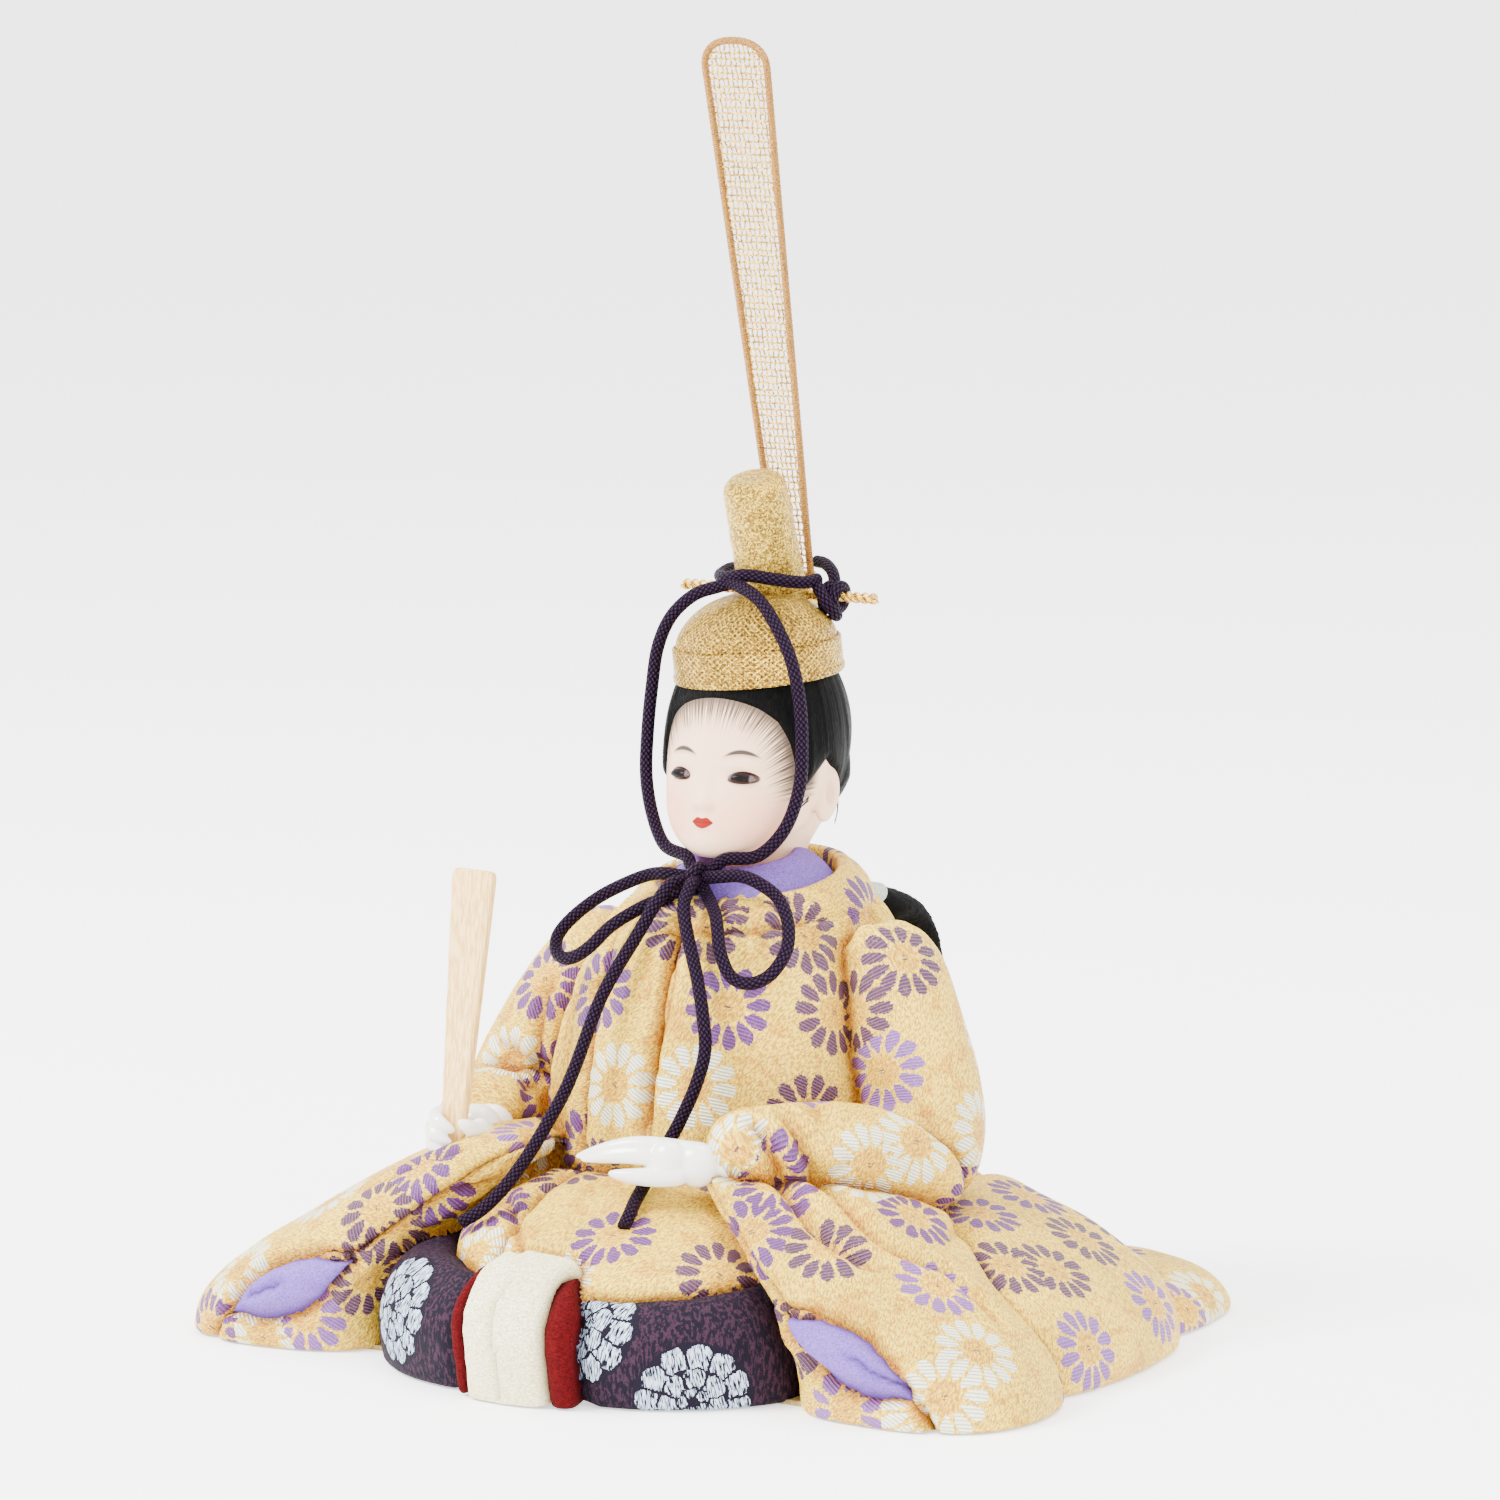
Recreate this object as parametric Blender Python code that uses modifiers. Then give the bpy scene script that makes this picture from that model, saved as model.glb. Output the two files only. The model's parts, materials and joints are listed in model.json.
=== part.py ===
"""Seated court doll of the grooved-core kind: a carved composite body dressed in brocade
panels whose edges are tucked into grooves, with a separate head on a neck peg, a gold crown
with its tall netted tail, a tied chin cord, two hands and a wooden sceptre.

Metres, +Z up. The doll faces -Y, its left hand is at +X, and it stands on Z = 0.
The origin is the middle of its footprint. Every place below is measured from the head's
axis on the floor, and at() moves it to the origin.
"""

import math

import bmesh
import bpy
from mathutils import Matrix, Vector
from mathutils.bvhtree import BVHTree

# Overall sizes
HEAD_AXIS_Y = 0.0114
ROBE_REACH = 0.100
ROBE_HEIGHT = 0.100
BASE_THICKNESS = 0.0010
CLEARANCE = 0.0003
OVERRUN = 0.004
BOARD_RADIUS = 0.4
MERGE_DISTANCE = 0.000002

# Tables of the robe's masses: shares of ROBE_HEIGHT, then of ROBE_REACH.
# An oval row is height, centre x, centre y, half width, front depth, back depth.
TORSO_SQUARENESS_SHARE = 0.9
TORSO_ROW_SHARES = (
    (-0.15, 0.0, -0.05, 0.44, 0.40, 0.38),
    (0.28, 0.0, -0.05, 0.44, 0.42, 0.39),
    (0.47, 0.0, -0.05, 0.42, 0.415, 0.385),
    (0.62, 0.0, -0.05, 0.385, 0.39, 0.37),
    (0.76, 0.0, -0.04, 0.345, 0.36, 0.34),
    (0.86, 0.0, -0.03, 0.285, 0.325, 0.29),
    (0.925, 0.0, -0.02, 0.20, 0.235, 0.22),
)
SKIRT_SQUARENESS_SHARE = 0.42
SKIRT_ROW_SHARES = (
    (-0.12, 0.0, -0.17, 0.95, 0.47, 0.57),
    (0.05, 0.0, -0.17, 0.96, 0.47, 0.58),
    (0.125, 0.0, -0.17, 0.92, 0.45, 0.57),
    (0.19, 0.0, -0.17, 0.84, 0.42, 0.53),
    (0.25, 0.0, -0.16, 0.74, 0.39, 0.47),
    (0.30, 0.0, -0.14, 0.61, 0.36, 0.42),
    (0.345, 0.0, -0.11, 0.46, 0.32, 0.36),
)
TRAIN_SQUARENESS_SHARE = 0.42
TRAIN_ROW_SHARES = (
    (-0.12, 0.0, 0.30, 0.85, 0.30, 0.47),
    (0.03, 0.0, 0.30, 0.86, 0.30, 0.475),
    (0.08, 0.0, 0.29, 0.80, 0.28, 0.43),
    (0.12, 0.0, 0.28, 0.68, 0.24, 0.33),
)
LAP_SQUARENESS_SHARE = 0.8
LAP_ROW_SHARES = (
    (0.10, 0.03, -0.40, 0.42, 0.46, 0.20),
    (0.17, 0.03, -0.40, 0.455, 0.525, 0.20),
    (0.23, 0.03, -0.40, 0.44, 0.495, 0.20),
    (0.29, 0.03, -0.40, 0.39, 0.39, 0.20),
    (0.35, 0.03, -0.40, 0.33, 0.24, 0.20),
    (0.38, 0.03, -0.40, 0.25, 0.14, 0.16),
)
HAKAMA_SQUARENESS_SHARE = 0.85
HAKAMA_ROW_SHARES = (
    (-0.12, 0.0, -0.43, 0.53, 0.48, 0.20),
    (0.05, 0.0, -0.43, 0.545, 0.525, 0.20),
    (0.13, 0.0, -0.43, 0.545, 0.545, 0.20),
    (0.20, 0.0, -0.43, 0.52, 0.50, 0.20),
    (0.27, 0.0, -0.43, 0.47, 0.40, 0.18),
)
BAND_SQUARENESS_SHARE = 0.6
BAND_ROW_SHARES = (
    (-0.12, 0.005, -0.70, 0.145, 0.25, 0.30),
    (0.06, 0.005, -0.70, 0.147, 0.285, 0.30),
    (0.15, 0.005, -0.70, 0.147, 0.300, 0.30),
    (0.22, 0.005, -0.70, 0.145, 0.275, 0.30),
    (0.285, 0.005, -0.70, 0.135, 0.200, 0.30),
)

# A sleeve's plan at each height, from its inner front corner round by the outside.
SLEEVE_PLAN_SHARES = (
    (-0.12, ((0.51, -0.74), (0.69, -0.77), (0.88, -0.77), (0.99, -0.64), (0.97, -0.38),
             (0.78, -0.22), (0.54, -0.28), (0.47, -0.50))),
    (0.04, ((0.51, -0.74), (0.69, -0.78), (0.88, -0.78), (0.995, -0.65), (0.975, -0.38),
            (0.78, -0.22), (0.54, -0.28), (0.47, -0.50))),
    (0.10, ((0.50, -0.745), (0.67, -0.78), (0.84, -0.78), (0.96, -0.64), (0.94, -0.38),
            (0.77, -0.21), (0.54, -0.27), (0.46, -0.50))),
    (0.19, ((0.46, -0.74), (0.60, -0.77), (0.73, -0.76), (0.84, -0.61), (0.83, -0.36),
            (0.70, -0.20), (0.50, -0.26), (0.41, -0.48))),
    (0.29, ((0.37, -0.71), (0.48, -0.735), (0.58, -0.71), (0.68, -0.55), (0.68, -0.33),
            (0.60, -0.18), (0.44, -0.24), (0.32, -0.46))),
    (0.39, ((0.24, -0.64), (0.32, -0.665), (0.40, -0.635), (0.51, -0.49), (0.54, -0.31),
            (0.49, -0.17), (0.36, -0.22), (0.21, -0.42))),
    (0.455, ((0.17, -0.58), (0.23, -0.60), (0.29, -0.575), (0.38, -0.46), (0.44, -0.31),
             (0.41, -0.20), (0.31, -0.22), (0.18, -0.40))),
)

# The arms follow these paths: x, y, z as shares of the reach and height, and a radius share.
ARM_RADIUS = 0.0152
LEFT_ARM_SHARES = (
    (0.24, -0.01, 0.825, 0.80), (0.305, -0.03, 0.75, 0.97), (0.375, -0.07, 0.61, 1.0),
    (0.44, -0.10, 0.47, 1.02), (0.475, -0.17, 0.385, 1.0), (0.435, -0.29, 0.41, 0.90),
    (0.365, -0.42, 0.445, 0.76), (0.305, -0.505, 0.455, 0.68), (0.255, -0.555, 0.46, 0.58),
)
RIGHT_ARM_SHARES = (
    (-0.24, -0.04, 0.81, 0.72), (-0.325, -0.07, 0.72, 0.95), (-0.395, -0.11, 0.60, 1.0),
    (-0.455, -0.15, 0.47, 0.98), (-0.475, -0.21, 0.40, 0.92), (-0.455, -0.31, 0.42, 0.80),
    (-0.435, -0.38, 0.435, 0.68), (-0.425, -0.42, 0.44, 0.56),
)

# Seams between the panels of one mass: shares of reach and height.
SEAM_WIDTH = 0.0003
WALL_FRONT_SHARE = -1.2
WALL_SIDE_SHARE = 1.0
WALL_FOOT_SHARE = -0.2
WALL_HEAD_SHARE = 0.6
WALL_HEIGHT_SHARE = 2.0
CHEST_SEAM_SHARES = (
    ((0.0, 1.10), (0.0, -0.10)),
    ((-0.165, 1.10), (-0.18, -0.10)),
    ((-0.265, 1.10), (-0.25, -0.10)),
)
CHEST_BACK_SEAM_SHARE = 0.04
LAP_SEAM_SHARES = ((-0.16, 0.50), (-0.15, 0.30), (-0.07, 0.16), (-0.06, 0.05))
BAND_SEAM_SHARES = (-0.110, 0.085)
SLEEVE_STRIP_SHARES = ((0.10, 0.56), (0.24, 0.42), (0.36, 0.32), (0.50, 0.215), (0.66, 0.14),
                       (0.80, 0.075), (0.92, -0.06))
SKIRT_SIDE_SHARE = 0.42
ELBOW_SEAM_SHARES = ((-0.42, 0.70), (-0.27, 0.545), (-0.14, 0.36), (-0.03, 0.10))

# A point near each panel, by which it is picked out of its mass
PANEL_SEED_SHARES = {
    "chest_left": (0.20, -0.42, 0.60),
    "chest_right_inner": (-0.09, -0.43, 0.60),
    "chest_right_middle": (-0.215, -0.41, 0.60),
    "chest_right_outer": (-0.33, -0.32, 0.60),
    "back_panel": (0.0, 0.33, 0.60),
    "upper_arm_left": (0.45, -0.05, 0.65),
    "upper_arm_right": (-0.45, -0.05, 0.65),
    "forearm_left": (0.45, -0.42, 0.46),
    "forearm_right": (-0.45, -0.42, 0.46),
    "sleeve_front_left": (0.40, -0.75, 0.10),
    "sleeve_front_right": (-0.40, -0.75, 0.10),
    "sleeve_outer_left": (0.80, -0.45, 0.20),
    "sleeve_outer_right": (-0.80, -0.45, 0.20),
    "lap_left": (0.25, -0.70, 0.34),
    "lap_right": (-0.30, -0.60, 0.34),
    "white_band": (0.0, -1.0, 0.12),
    "red_band_right": (-0.14, -0.90, 0.10),
    "red_band_left": (0.14, -0.90, 0.10),
    "hakama_right": (-0.40, -0.80, 0.10),
    "hakama_left": (0.40, -0.80, 0.10),
    "skirt_left": (0.90, 0.10, 0.12),
    "skirt_right": (-0.90, 0.10, 0.12),
    "skirt_back": (0.0, 0.40, 0.12),
    "train": (0.0, 0.75, 0.05),
}

# The lining that shows in a sleeve's opening, as shares of the reach and height.
LINING_CENTRE_SHARES = (0.655, -0.745, 0.135)
LINING_TURN_DEGREES = 22.0
LINING_HALF_LENGTH = 0.0165
LINING_HALF_HEIGHT = 0.0052
LINING_DEPTH = 0.0085

# Collars round the neck
NECK_RADIUS = 0.0070
NECK_GAP = 0.0006
NECK_FOOT_SHARE = 1.12
PEG_RADIUS = 0.0035
PEG_DEPTH = 0.0200
PEG_RISE = 0.0080
COLLAR_FOOT_SHARE = 0.86
INNER_COLLAR_RADIUS = 0.0190
INNER_COLLAR_SHARES = ((1.0, 0.920), (0.80, 0.962), (0.66, 0.982), (0.54, 0.980), (0.48, 0.950))
OUTER_COLLAR_RADIUS = 0.0268
COLLAR_SQUASH_SHARE = 0.92
OUTER_COLLAR_SHARES = ((1.0, 0.865), (1.0, 0.890), (0.94, 0.915), (0.83, 0.940), (0.74, 0.945))
COLLAR_SHIFT_Y = -0.0035
COLLAR_TILT_DEGREES = 9.0

# The black band that runs down the back, in shares of reach and height
BACK_BAND_HALF_WIDTH = 0.0165
BACK_BAND_ROUTE_SHARES = ((0.22, 0.900), (0.29, 0.895), (0.335, 0.83), (0.335, 0.74),
                          (0.345, 0.60), (0.355, 0.46), (0.365, 0.37))
BACK_BAND_HALF_THICKNESS = 0.0042
PLATE_HALF_WIDTH = 0.0045
PLATE_HALF_HEIGHT = 0.0030
PLATE_HALF_DEPTH = 0.0035
PLATE_CENTRE_SHARES = (0.075, 0.185, 0.935)

# Head
HEAD_HALF_WIDTH = 0.0186
HEAD_HEIGHT = 0.0480
HEAD_FRONT = 0.0226
HEAD_BACK = 0.0190
CHIN_DROP = 0.0010
CHIN_HEIGHT = ROBE_HEIGHT - CHIN_DROP
HEAD_SQUARENESS_SHARE = 0.95
NECK_RISE_SHARE = 0.30
# Height share above the chin, half width share, front share, back share (negative: ahead).
HEAD_ROW_SHARES = (
    (0.0, 0.26, 0.93, -0.45),
    (0.05, 0.55, 1.03, 0.10),
    (0.14, 0.80, 1.04, 0.50),
    (0.28, 0.97, 0.99, 0.80),
    (0.44, 1.03, 0.93, 0.98),
    (0.60, 0.98, 0.85, 0.98),
    (0.74, 0.86, 0.72, 0.86),
    (0.88, 0.64, 0.53, 0.63),
    (0.98, 0.33, 0.27, 0.33),
)
NOSE_HEIGHT = 0.0125
NOSE_INSET = 0.0006
NOSE_Y = NOSE_INSET - HEAD_FRONT
NOSE_HALF_SIZES = (0.0015, 0.0017, 0.0022)
EYE_SPACING = 0.0146
EYE_HEIGHT = 0.0170
EYE_INSET = 0.0034
EYE_Y = EYE_INSET - HEAD_FRONT
EYE_HALF_WIDTH = 0.0023
EYE_HALF_DEPTH = 0.0020
EYE_HALF_HEIGHT = 0.0011
EAR_HEIGHT = 0.0125
EAR_INSET = 0.0008
EAR_X = HEAD_HALF_WIDTH - EAR_INSET
EAR_HALF_HEIGHT = 0.0046
EAR_HALF_WIDTH = 0.0017
EAR_HALF_DEPTH = 0.0030
EAR_Y = 0.0030

# Hair, as a side outline: y share of the head's back depth, z share of the head's height
HAIR_THICKNESS = 0.0014
HAIR_TOP_SHARE = 1.2
HAIR_REACH_SHARE = 2.0
HAIRLINE_SHARES = (
    (-1.40, 0.79), (-0.78, 0.71), (-0.46, 0.60), (-0.24, 0.46), (-0.13, 0.29),
    (-0.05, 0.29), (0.00, 0.44), (0.34, 0.44), (0.42, 0.30), (0.56, 0.18), (1.40, 0.14),
)

# Crown
CROWN_TILT_DEGREES = 5.0
CROWN_ROLL_DEGREES = -3.0
CROWN_SEAT_SHARE = 0.75
CROWN_HEIGHT = CHIN_HEIGHT + HEAD_HEIGHT * CROWN_SEAT_SHARE
BRIM_RADIUS = 0.0175
BRIM_HEIGHT = 0.0072
BRIM_ROUND = 0.0003
DOME_HEIGHT = 0.0175
CAP_RADIUS_SHARE = 0.955
DOME_PROFILE_SHARES = ((0.0, 1.0), (0.23, 1.0), (0.25, 0.955), (0.44, 0.955), (0.60, 0.86),
                       (0.78, 0.64), (0.91, 0.40), (1.0, 0.0))
KOJI_RADIUS = 0.0071
KOJI_TOP_RADIUS = 0.0066
KOJI_LENGTH = 0.0275
KOJI_ROUND = 0.0030
KOJI_Y = 0.0060
KOJI_RISE = 0.0150
KOJI_HEIGHT = CROWN_HEIGHT + KOJI_RISE
KOJI_LEAN_DEGREES = 18.5
KOJI_SINK = 0.0045
PIN_LENGTH = 0.0465
PIN_RADIUS = 0.00115
PIN_SLOPE = 0.0006
PIN_Y = 0.0078
PIN_RISE = 0.0165
PIN_HEIGHT = CROWN_HEIGHT + PIN_RISE
SOCKET_HALF_WIDTH = 0.0029
SOCKET_HALF_DEPTH = 0.0030
SOCKET_HEIGHT = 0.0072
SOCKET_SHIFT = 0.0008

# The crown's tall tail, a netted loop of wrapped wire
EI_LENGTH = 0.1140
EI_TOP_HALF_WIDTH = 0.0083
EI_BASE_HALF_WIDTH = 0.0046
EI_LEAN_DEGREES = 12.4
EI_RISE = 0.0195
EI_BASE_HEIGHT = CROWN_HEIGHT + EI_RISE
EI_Y = 0.0140
EI_ARCH = 0.0065
EI_FOOT_HEIGHT = 0.0
EI_RIM_RADIUS = 0.00075
EI_STEM_LENGTH = 0.0052
EI_STEM_HALF_WIDTH = 0.0012
EI_STEM_CLEARANCE = 0.0002
EI_NET_THICKNESS = 0.0005
EI_NET_BORDER = 0.0004
EI_NET_COLUMNS = 4
EI_NET_ROWS = 8
EI_NET_STRAND = 0.0006

# Hands and sceptre
# A hand's rows are x, y, z as shares of reach and height, then thickness and height shares.
HAND_SIZE = 0.0100
LEFT_HAND_SHARES = (
    (0.290, -0.530, 0.462, 0.26, 0.34), (0.240, -0.585, 0.458, 0.28, 0.40),
    (0.190, -0.612, 0.455, 0.32, 0.50), (0.135, -0.628, 0.452, 0.30, 0.52),
    (0.080, -0.637, 0.450, 0.25, 0.46), (0.020, -0.642, 0.448, 0.18, 0.34),
    (-0.030, -0.645, 0.446, 0.10, 0.18),
)
THUMB_SHARES = (
    (0.175, -0.640, 0.435, 0.16, 0.18), (0.115, -0.668, 0.420, 0.16, 0.18),
    (0.055, -0.680, 0.415, 0.10, 0.11),
)
FIST_SHARES = (
    (-0.432, -0.385, 0.438, 0.42, 0.42), (-0.425, -0.440, 0.437, 0.46, 0.48),
    (-0.412, -0.490, 0.435, 0.66, 0.70), (-0.405, -0.545, 0.434, 0.70, 0.74),
    (-0.402, -0.585, 0.434, 0.50, 0.56),
)
SHAKU_FOOT_SHARES = (-0.405, -0.550, 0.330)
SHAKU_RISE = 0.0645
SHAKU_LEAN_SIDE = 0.0019
SHAKU_LEAN_BACK = 0.0072
SHAKU_FOOT_WIDTH = 0.0042
SHAKU_TOP_WIDTH = 0.0100
SHAKU_THICKNESS = 0.0023
SHAKU_TOP_SHARE = 0.04
SHAKU_END_SHARE = 0.80

# Cords. Routes are the real cord's own points, chosen by hand.
CORD_RADIUS = 0.00135
CORD_STEP = 0.0070
LOOP_STEP = 0.0056
CHIN_CORD_RIGHT_ROUTE = (
    (-0.0062, -0.0052, 0.1525), (-0.0112, -0.0075, 0.1515), (-0.0160, -0.0085, 0.1470),
    (-0.0190, -0.0090, 0.1405), (-0.0200, -0.0098, 0.1320), (-0.0204, -0.0108, 0.1230),
    (-0.0196, -0.0126, 0.1142), (-0.0165, -0.0152, 0.1066), (-0.0115, -0.0184, 0.1010),
)
CHIN_CORD_LEFT_ROUTE = (
    (-0.0005, -0.0072, 0.1535), (0.0056, -0.0100, 0.1520), (0.0112, -0.0125, 0.1475),
    (0.0160, -0.0140, 0.1405), (0.0180, -0.0138, 0.1318), (0.0184, -0.0136, 0.1227),
    (0.0181, -0.0142, 0.1141), (0.0158, -0.0160, 0.1060), (0.0110, -0.0184, 0.1005),
)
CROWN_CORD_ROUTE = (
    (-0.0098, 0.0095, 0.1555), (-0.0096, 0.0045, 0.1560), (-0.0088, -0.0010, 0.1552),
    (-0.0050, -0.0050, 0.1552), (0.0004, -0.0056, 0.1560), (0.0060, -0.0030, 0.1552),
    (0.0094, 0.0018, 0.1544), (0.0104, 0.0060, 0.1547),
)
BOW_LOOP_RIGHT_ROUTE = (
    (-0.0108, -0.0254, 0.0958), (-0.0157, -0.0266, 0.0938), (-0.0214, -0.0282, 0.0906),
    (-0.0259, -0.0309, 0.0865), (-0.0278, -0.0337, 0.0828), (-0.0262, -0.0363, 0.0798),
    (-0.0222, -0.0377, 0.0792), (-0.0174, -0.0381, 0.0819), (-0.0129, -0.0366, 0.0865),
    (-0.0090, -0.0320, 0.0898),
)
BOW_LOOP_LEFT_ROUTE = (
    (0.0110, -0.0256, 0.0972), (0.0158, -0.0262, 0.0962), (0.0208, -0.0268, 0.0935),
    (0.0246, -0.0293, 0.0892), (0.0261, -0.0322, 0.0843), (0.0247, -0.0358, 0.0797),
    (0.0211, -0.0380, 0.0777), (0.0170, -0.0388, 0.0789), (0.0141, -0.0381, 0.0833),
    (0.0117, -0.0354, 0.0877), (0.0092, -0.0322, 0.0900),
)
TAIL_RIGHT_ROUTE = (
    (-0.0034, -0.0344, 0.0918), (-0.0051, -0.0368, 0.0874), (-0.0068, -0.0385, 0.0835),
    (-0.0083, -0.0407, 0.0797), (-0.0105, -0.0438, 0.0735), (-0.0119, -0.0463, 0.0674),
    (-0.0135, -0.0483, 0.0607), (-0.0148, -0.0511, 0.0546), (-0.0159, -0.0553, 0.0492),
    (-0.0174, -0.0598, 0.0434), (-0.0190, -0.0661, 0.0375), (-0.0221, -0.0698, 0.0329),
    (-0.0262, -0.0722, 0.0298),
)
TAIL_LEFT_ROUTE = (
    (0.0032, -0.0346, 0.0918), (0.0056, -0.0376, 0.0878), (0.0080, -0.0395, 0.0834),
    (0.0106, -0.0413, 0.0781), (0.0129, -0.0430, 0.0715), (0.0142, -0.0442, 0.0644),
    (0.0130, -0.0458, 0.0574), (0.0105, -0.0476, 0.0504), (0.0088, -0.0505, 0.0451),
    (0.0087, -0.0554, 0.0409), (0.0098, -0.0605, 0.0388), (0.0108, -0.0652, 0.0366),
    (0.0118, -0.0690, 0.0346), (0.0122, -0.0716, 0.0328),
)
KNOT_RADIUS = 0.0038
KNOT_CENTRE = (0.0, -0.0240, 0.0957)
KNOT_LEAD = 0.0030
KNOT_PORT_DIRECTIONS = {
    "chin_right": (-0.70, 0.45, 0.55), "chin_left": (0.70, 0.45, 0.55),
    "loop_right_start": (-0.96, -0.25, 0.10), "loop_left_start": (0.96, -0.25, 0.15),
    "loop_right_end": (-0.70, -0.50, -0.51), "loop_left_end": (0.70, -0.50, -0.51),
    "tail_right": (-0.33, -0.94, -0.08), "tail_left": (0.33, -0.94, -0.08),
}
PIN_KNOT_X = 0.0132
PIN_KNOT_DROP = 0.0005
PIN_KNOT_CENTRE = (PIN_KNOT_X, PIN_Y, PIN_HEIGHT - PIN_KNOT_DROP)
PIN_KNOT_HALF_WIDTH = 0.0021
PIN_KNOT_RADIUS = 0.0033

# Hidden core
CORE_ROW_SHARES = (
    (0.015, 0.0, -0.14, 0.62, 0.34, 0.30),
    (0.20, 0.0, -0.12, 0.52, 0.28, 0.28),
    (0.30, 0.0, -0.08, 0.34, 0.28, 0.30),
    (0.60, 0.0, -0.05, 0.28, 0.29, 0.28),
    (0.80, 0.0, -0.03, 0.21, 0.25, 0.22),
    (0.875, 0.0, -0.02, 0.13, 0.15, 0.13),
)
CORE_SQUARENESS_SHARE = 0.8
CORE_CLEARANCE = 0.0006
BASE_OUTLINE_SHARES = ((0.0, -0.90), (0.26, -0.84), (0.46, -0.71), (0.84, -0.72), (0.90, -0.60),
                       (0.84, -0.10), (0.80, 0.28), (0.70, 0.34), (0.70, 0.58), (0.58, 0.66),
                       (0.0, 0.69))

# Detail of the rounded forms
OVAL_SIDES = 12
BALL_SEGMENTS = 8
BALL_RINGS = 6
FINE_STEPS = 12
CORD_BEVEL_RESOLUTION = 2
EI_ARCH_STEPS = 6
KOJI_ROUND_STEPS = 4
PIN_SIDES = 10
TIGHT_SIDES = 12
CROWN_SIDES = 18
HAND_SIDES = 6
HEAD_SIDES = 10
BACK_BAND_SIDES = 8
COLLAR_SIDES = 14
LINING_SIDES = 12
NECK_SIDES = 16
PEG_SIDES = 16
CORE_SIDES = 12
ARM_SIDES = 9
SOFT_LEVELS = 1
SHARP_DEGREES = 40.0
RIGHT_ANGLE_DEGREES = 90.0

MATERIALS = {
    "brocade": ((0.86, 0.70, 0.40), 0.55, 0.0),
    "lavender_crepe": ((0.50, 0.42, 0.78), 0.7, 0.0),
    "hakama_brocade": ((0.09, 0.06, 0.12), 0.65, 0.0),
    "red_twill": ((0.42, 0.02, 0.02), 0.7, 0.0),
    "cream_crepe": ((0.88, 0.83, 0.70), 0.75, 0.0),
    "black_crepe": ((0.012, 0.012, 0.014), 0.8, 0.0),
    "silver_brocade": ((0.80, 0.82, 0.80), 0.4, 0.2),
    "composite": ((0.62, 0.50, 0.36), 0.9, 0.0),
    "paper": ((0.80, 0.74, 0.62), 0.9, 0.0),
    "porcelain_face": ((0.90, 0.80, 0.72), 0.5, 0.0),
    "white_gloss": ((0.92, 0.92, 0.90), 0.2, 0.0),
    "glass_eye": ((0.03, 0.02, 0.02), 0.08, 0.0),
    "silk_hair": ((0.010, 0.010, 0.011), 0.45, 0.0),
    "gold_leaf": ((0.80, 0.58, 0.24), 0.35, 0.9),
    "gold_wire": ((0.55, 0.36, 0.14), 0.4, 0.6),
    "gold_net": ((0.66, 0.47, 0.22), 0.5, 0.4),
    "aubergine_braid": ((0.035, 0.018, 0.055), 0.75, 0.0),
    "pale_wood": ((0.80, 0.64, 0.44), 0.6, 0.0),
}


def at(x, y, z):
    """A place measured from the head's axis on the floor, in the part's own frame."""
    return Vector((x, y + HEAD_AXIS_Y, z))


def robe_place(x_share, y_share, z_share):
    return at(x_share * ROBE_REACH, y_share * ROBE_REACH, z_share * ROBE_HEIGHT)


def clear_scene():
    for item in list(bpy.data.objects):
        bpy.data.objects.remove(item, do_unlink=True)


def new_collection(name):
    collection = bpy.data.collections.new(name)
    bpy.context.scene.collection.children.link(collection)
    return collection


def material(name):
    """The material of this name, made once from the table of colours."""
    if name in bpy.data.materials:
        return bpy.data.materials[name]
    colour, roughness, metallic = MATERIALS[name]
    made = bpy.data.materials.new(name)
    made.use_nodes = True
    shader = made.node_tree.nodes["Principled BSDF"]
    shader.inputs["Base Color"].default_value = (*colour, 1.0)
    shader.inputs["Roughness"].default_value = roughness
    shader.inputs["Metallic"].default_value = metallic
    return made


def place_in(collection, name, mesh):
    made = bpy.data.objects.new(name, mesh)
    collection.objects.link(made)
    return made


def as_cutter(item):
    item.hide_render = True
    item.display_type = "WIRE"
    return item


def evaluated_mesh(item):
    bpy.context.view_layer.update()
    graph = bpy.context.evaluated_depsgraph_get()
    return bpy.data.meshes.new_from_object(item.evaluated_get(graph))


def settle(item):
    """Replace an object's mesh and modifiers by its evaluated mesh."""
    mesh = evaluated_mesh(item)
    item.modifiers.clear()
    item.data = mesh
    return item


def mesh_of(build, name):
    """A mesh from a function that fills a bmesh, with its faces turned outward."""
    work = bmesh.new()
    build(work)
    bmesh.ops.recalc_face_normals(work, faces=work.faces[:])
    mesh = bpy.data.meshes.new(name)
    work.to_mesh(mesh)
    work.free()
    return mesh


def loft_mesh(name, rings, in_triangles=False):
    """A closed body through rings of equally many points."""

    def build(work):
        levels = [[work.verts.new(point) for point in ring] for ring in rings]
        count = len(levels[0])
        for lower, upper in zip(levels, levels[1:]):
            for i in range(count):
                j = (i + 1) % count
                work.faces.new((lower[i], lower[j], upper[j], upper[i]))
        work.faces.new(levels[0][::-1])
        work.faces.new(levels[-1])
        if in_triangles:
            bmesh.ops.triangulate(work, faces=work.faces[:], quad_method="FIXED")

    return mesh_of(build, name)


def oval(centre, half_width, front, back, squareness, sides):
    """A level ring whose front and back differ in depth. Its squareness rounds its corners."""
    points = []
    for i in range(sides):
        angle = math.tau * i / sides
        c, s = math.cos(angle), math.sin(angle)
        across = math.copysign(abs(c) ** squareness, c) * half_width
        along = math.copysign(abs(s) ** squareness, s) * (back if s > 0 else front)
        points.append(centre + Vector((across, along, 0.0)))
    return points


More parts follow.
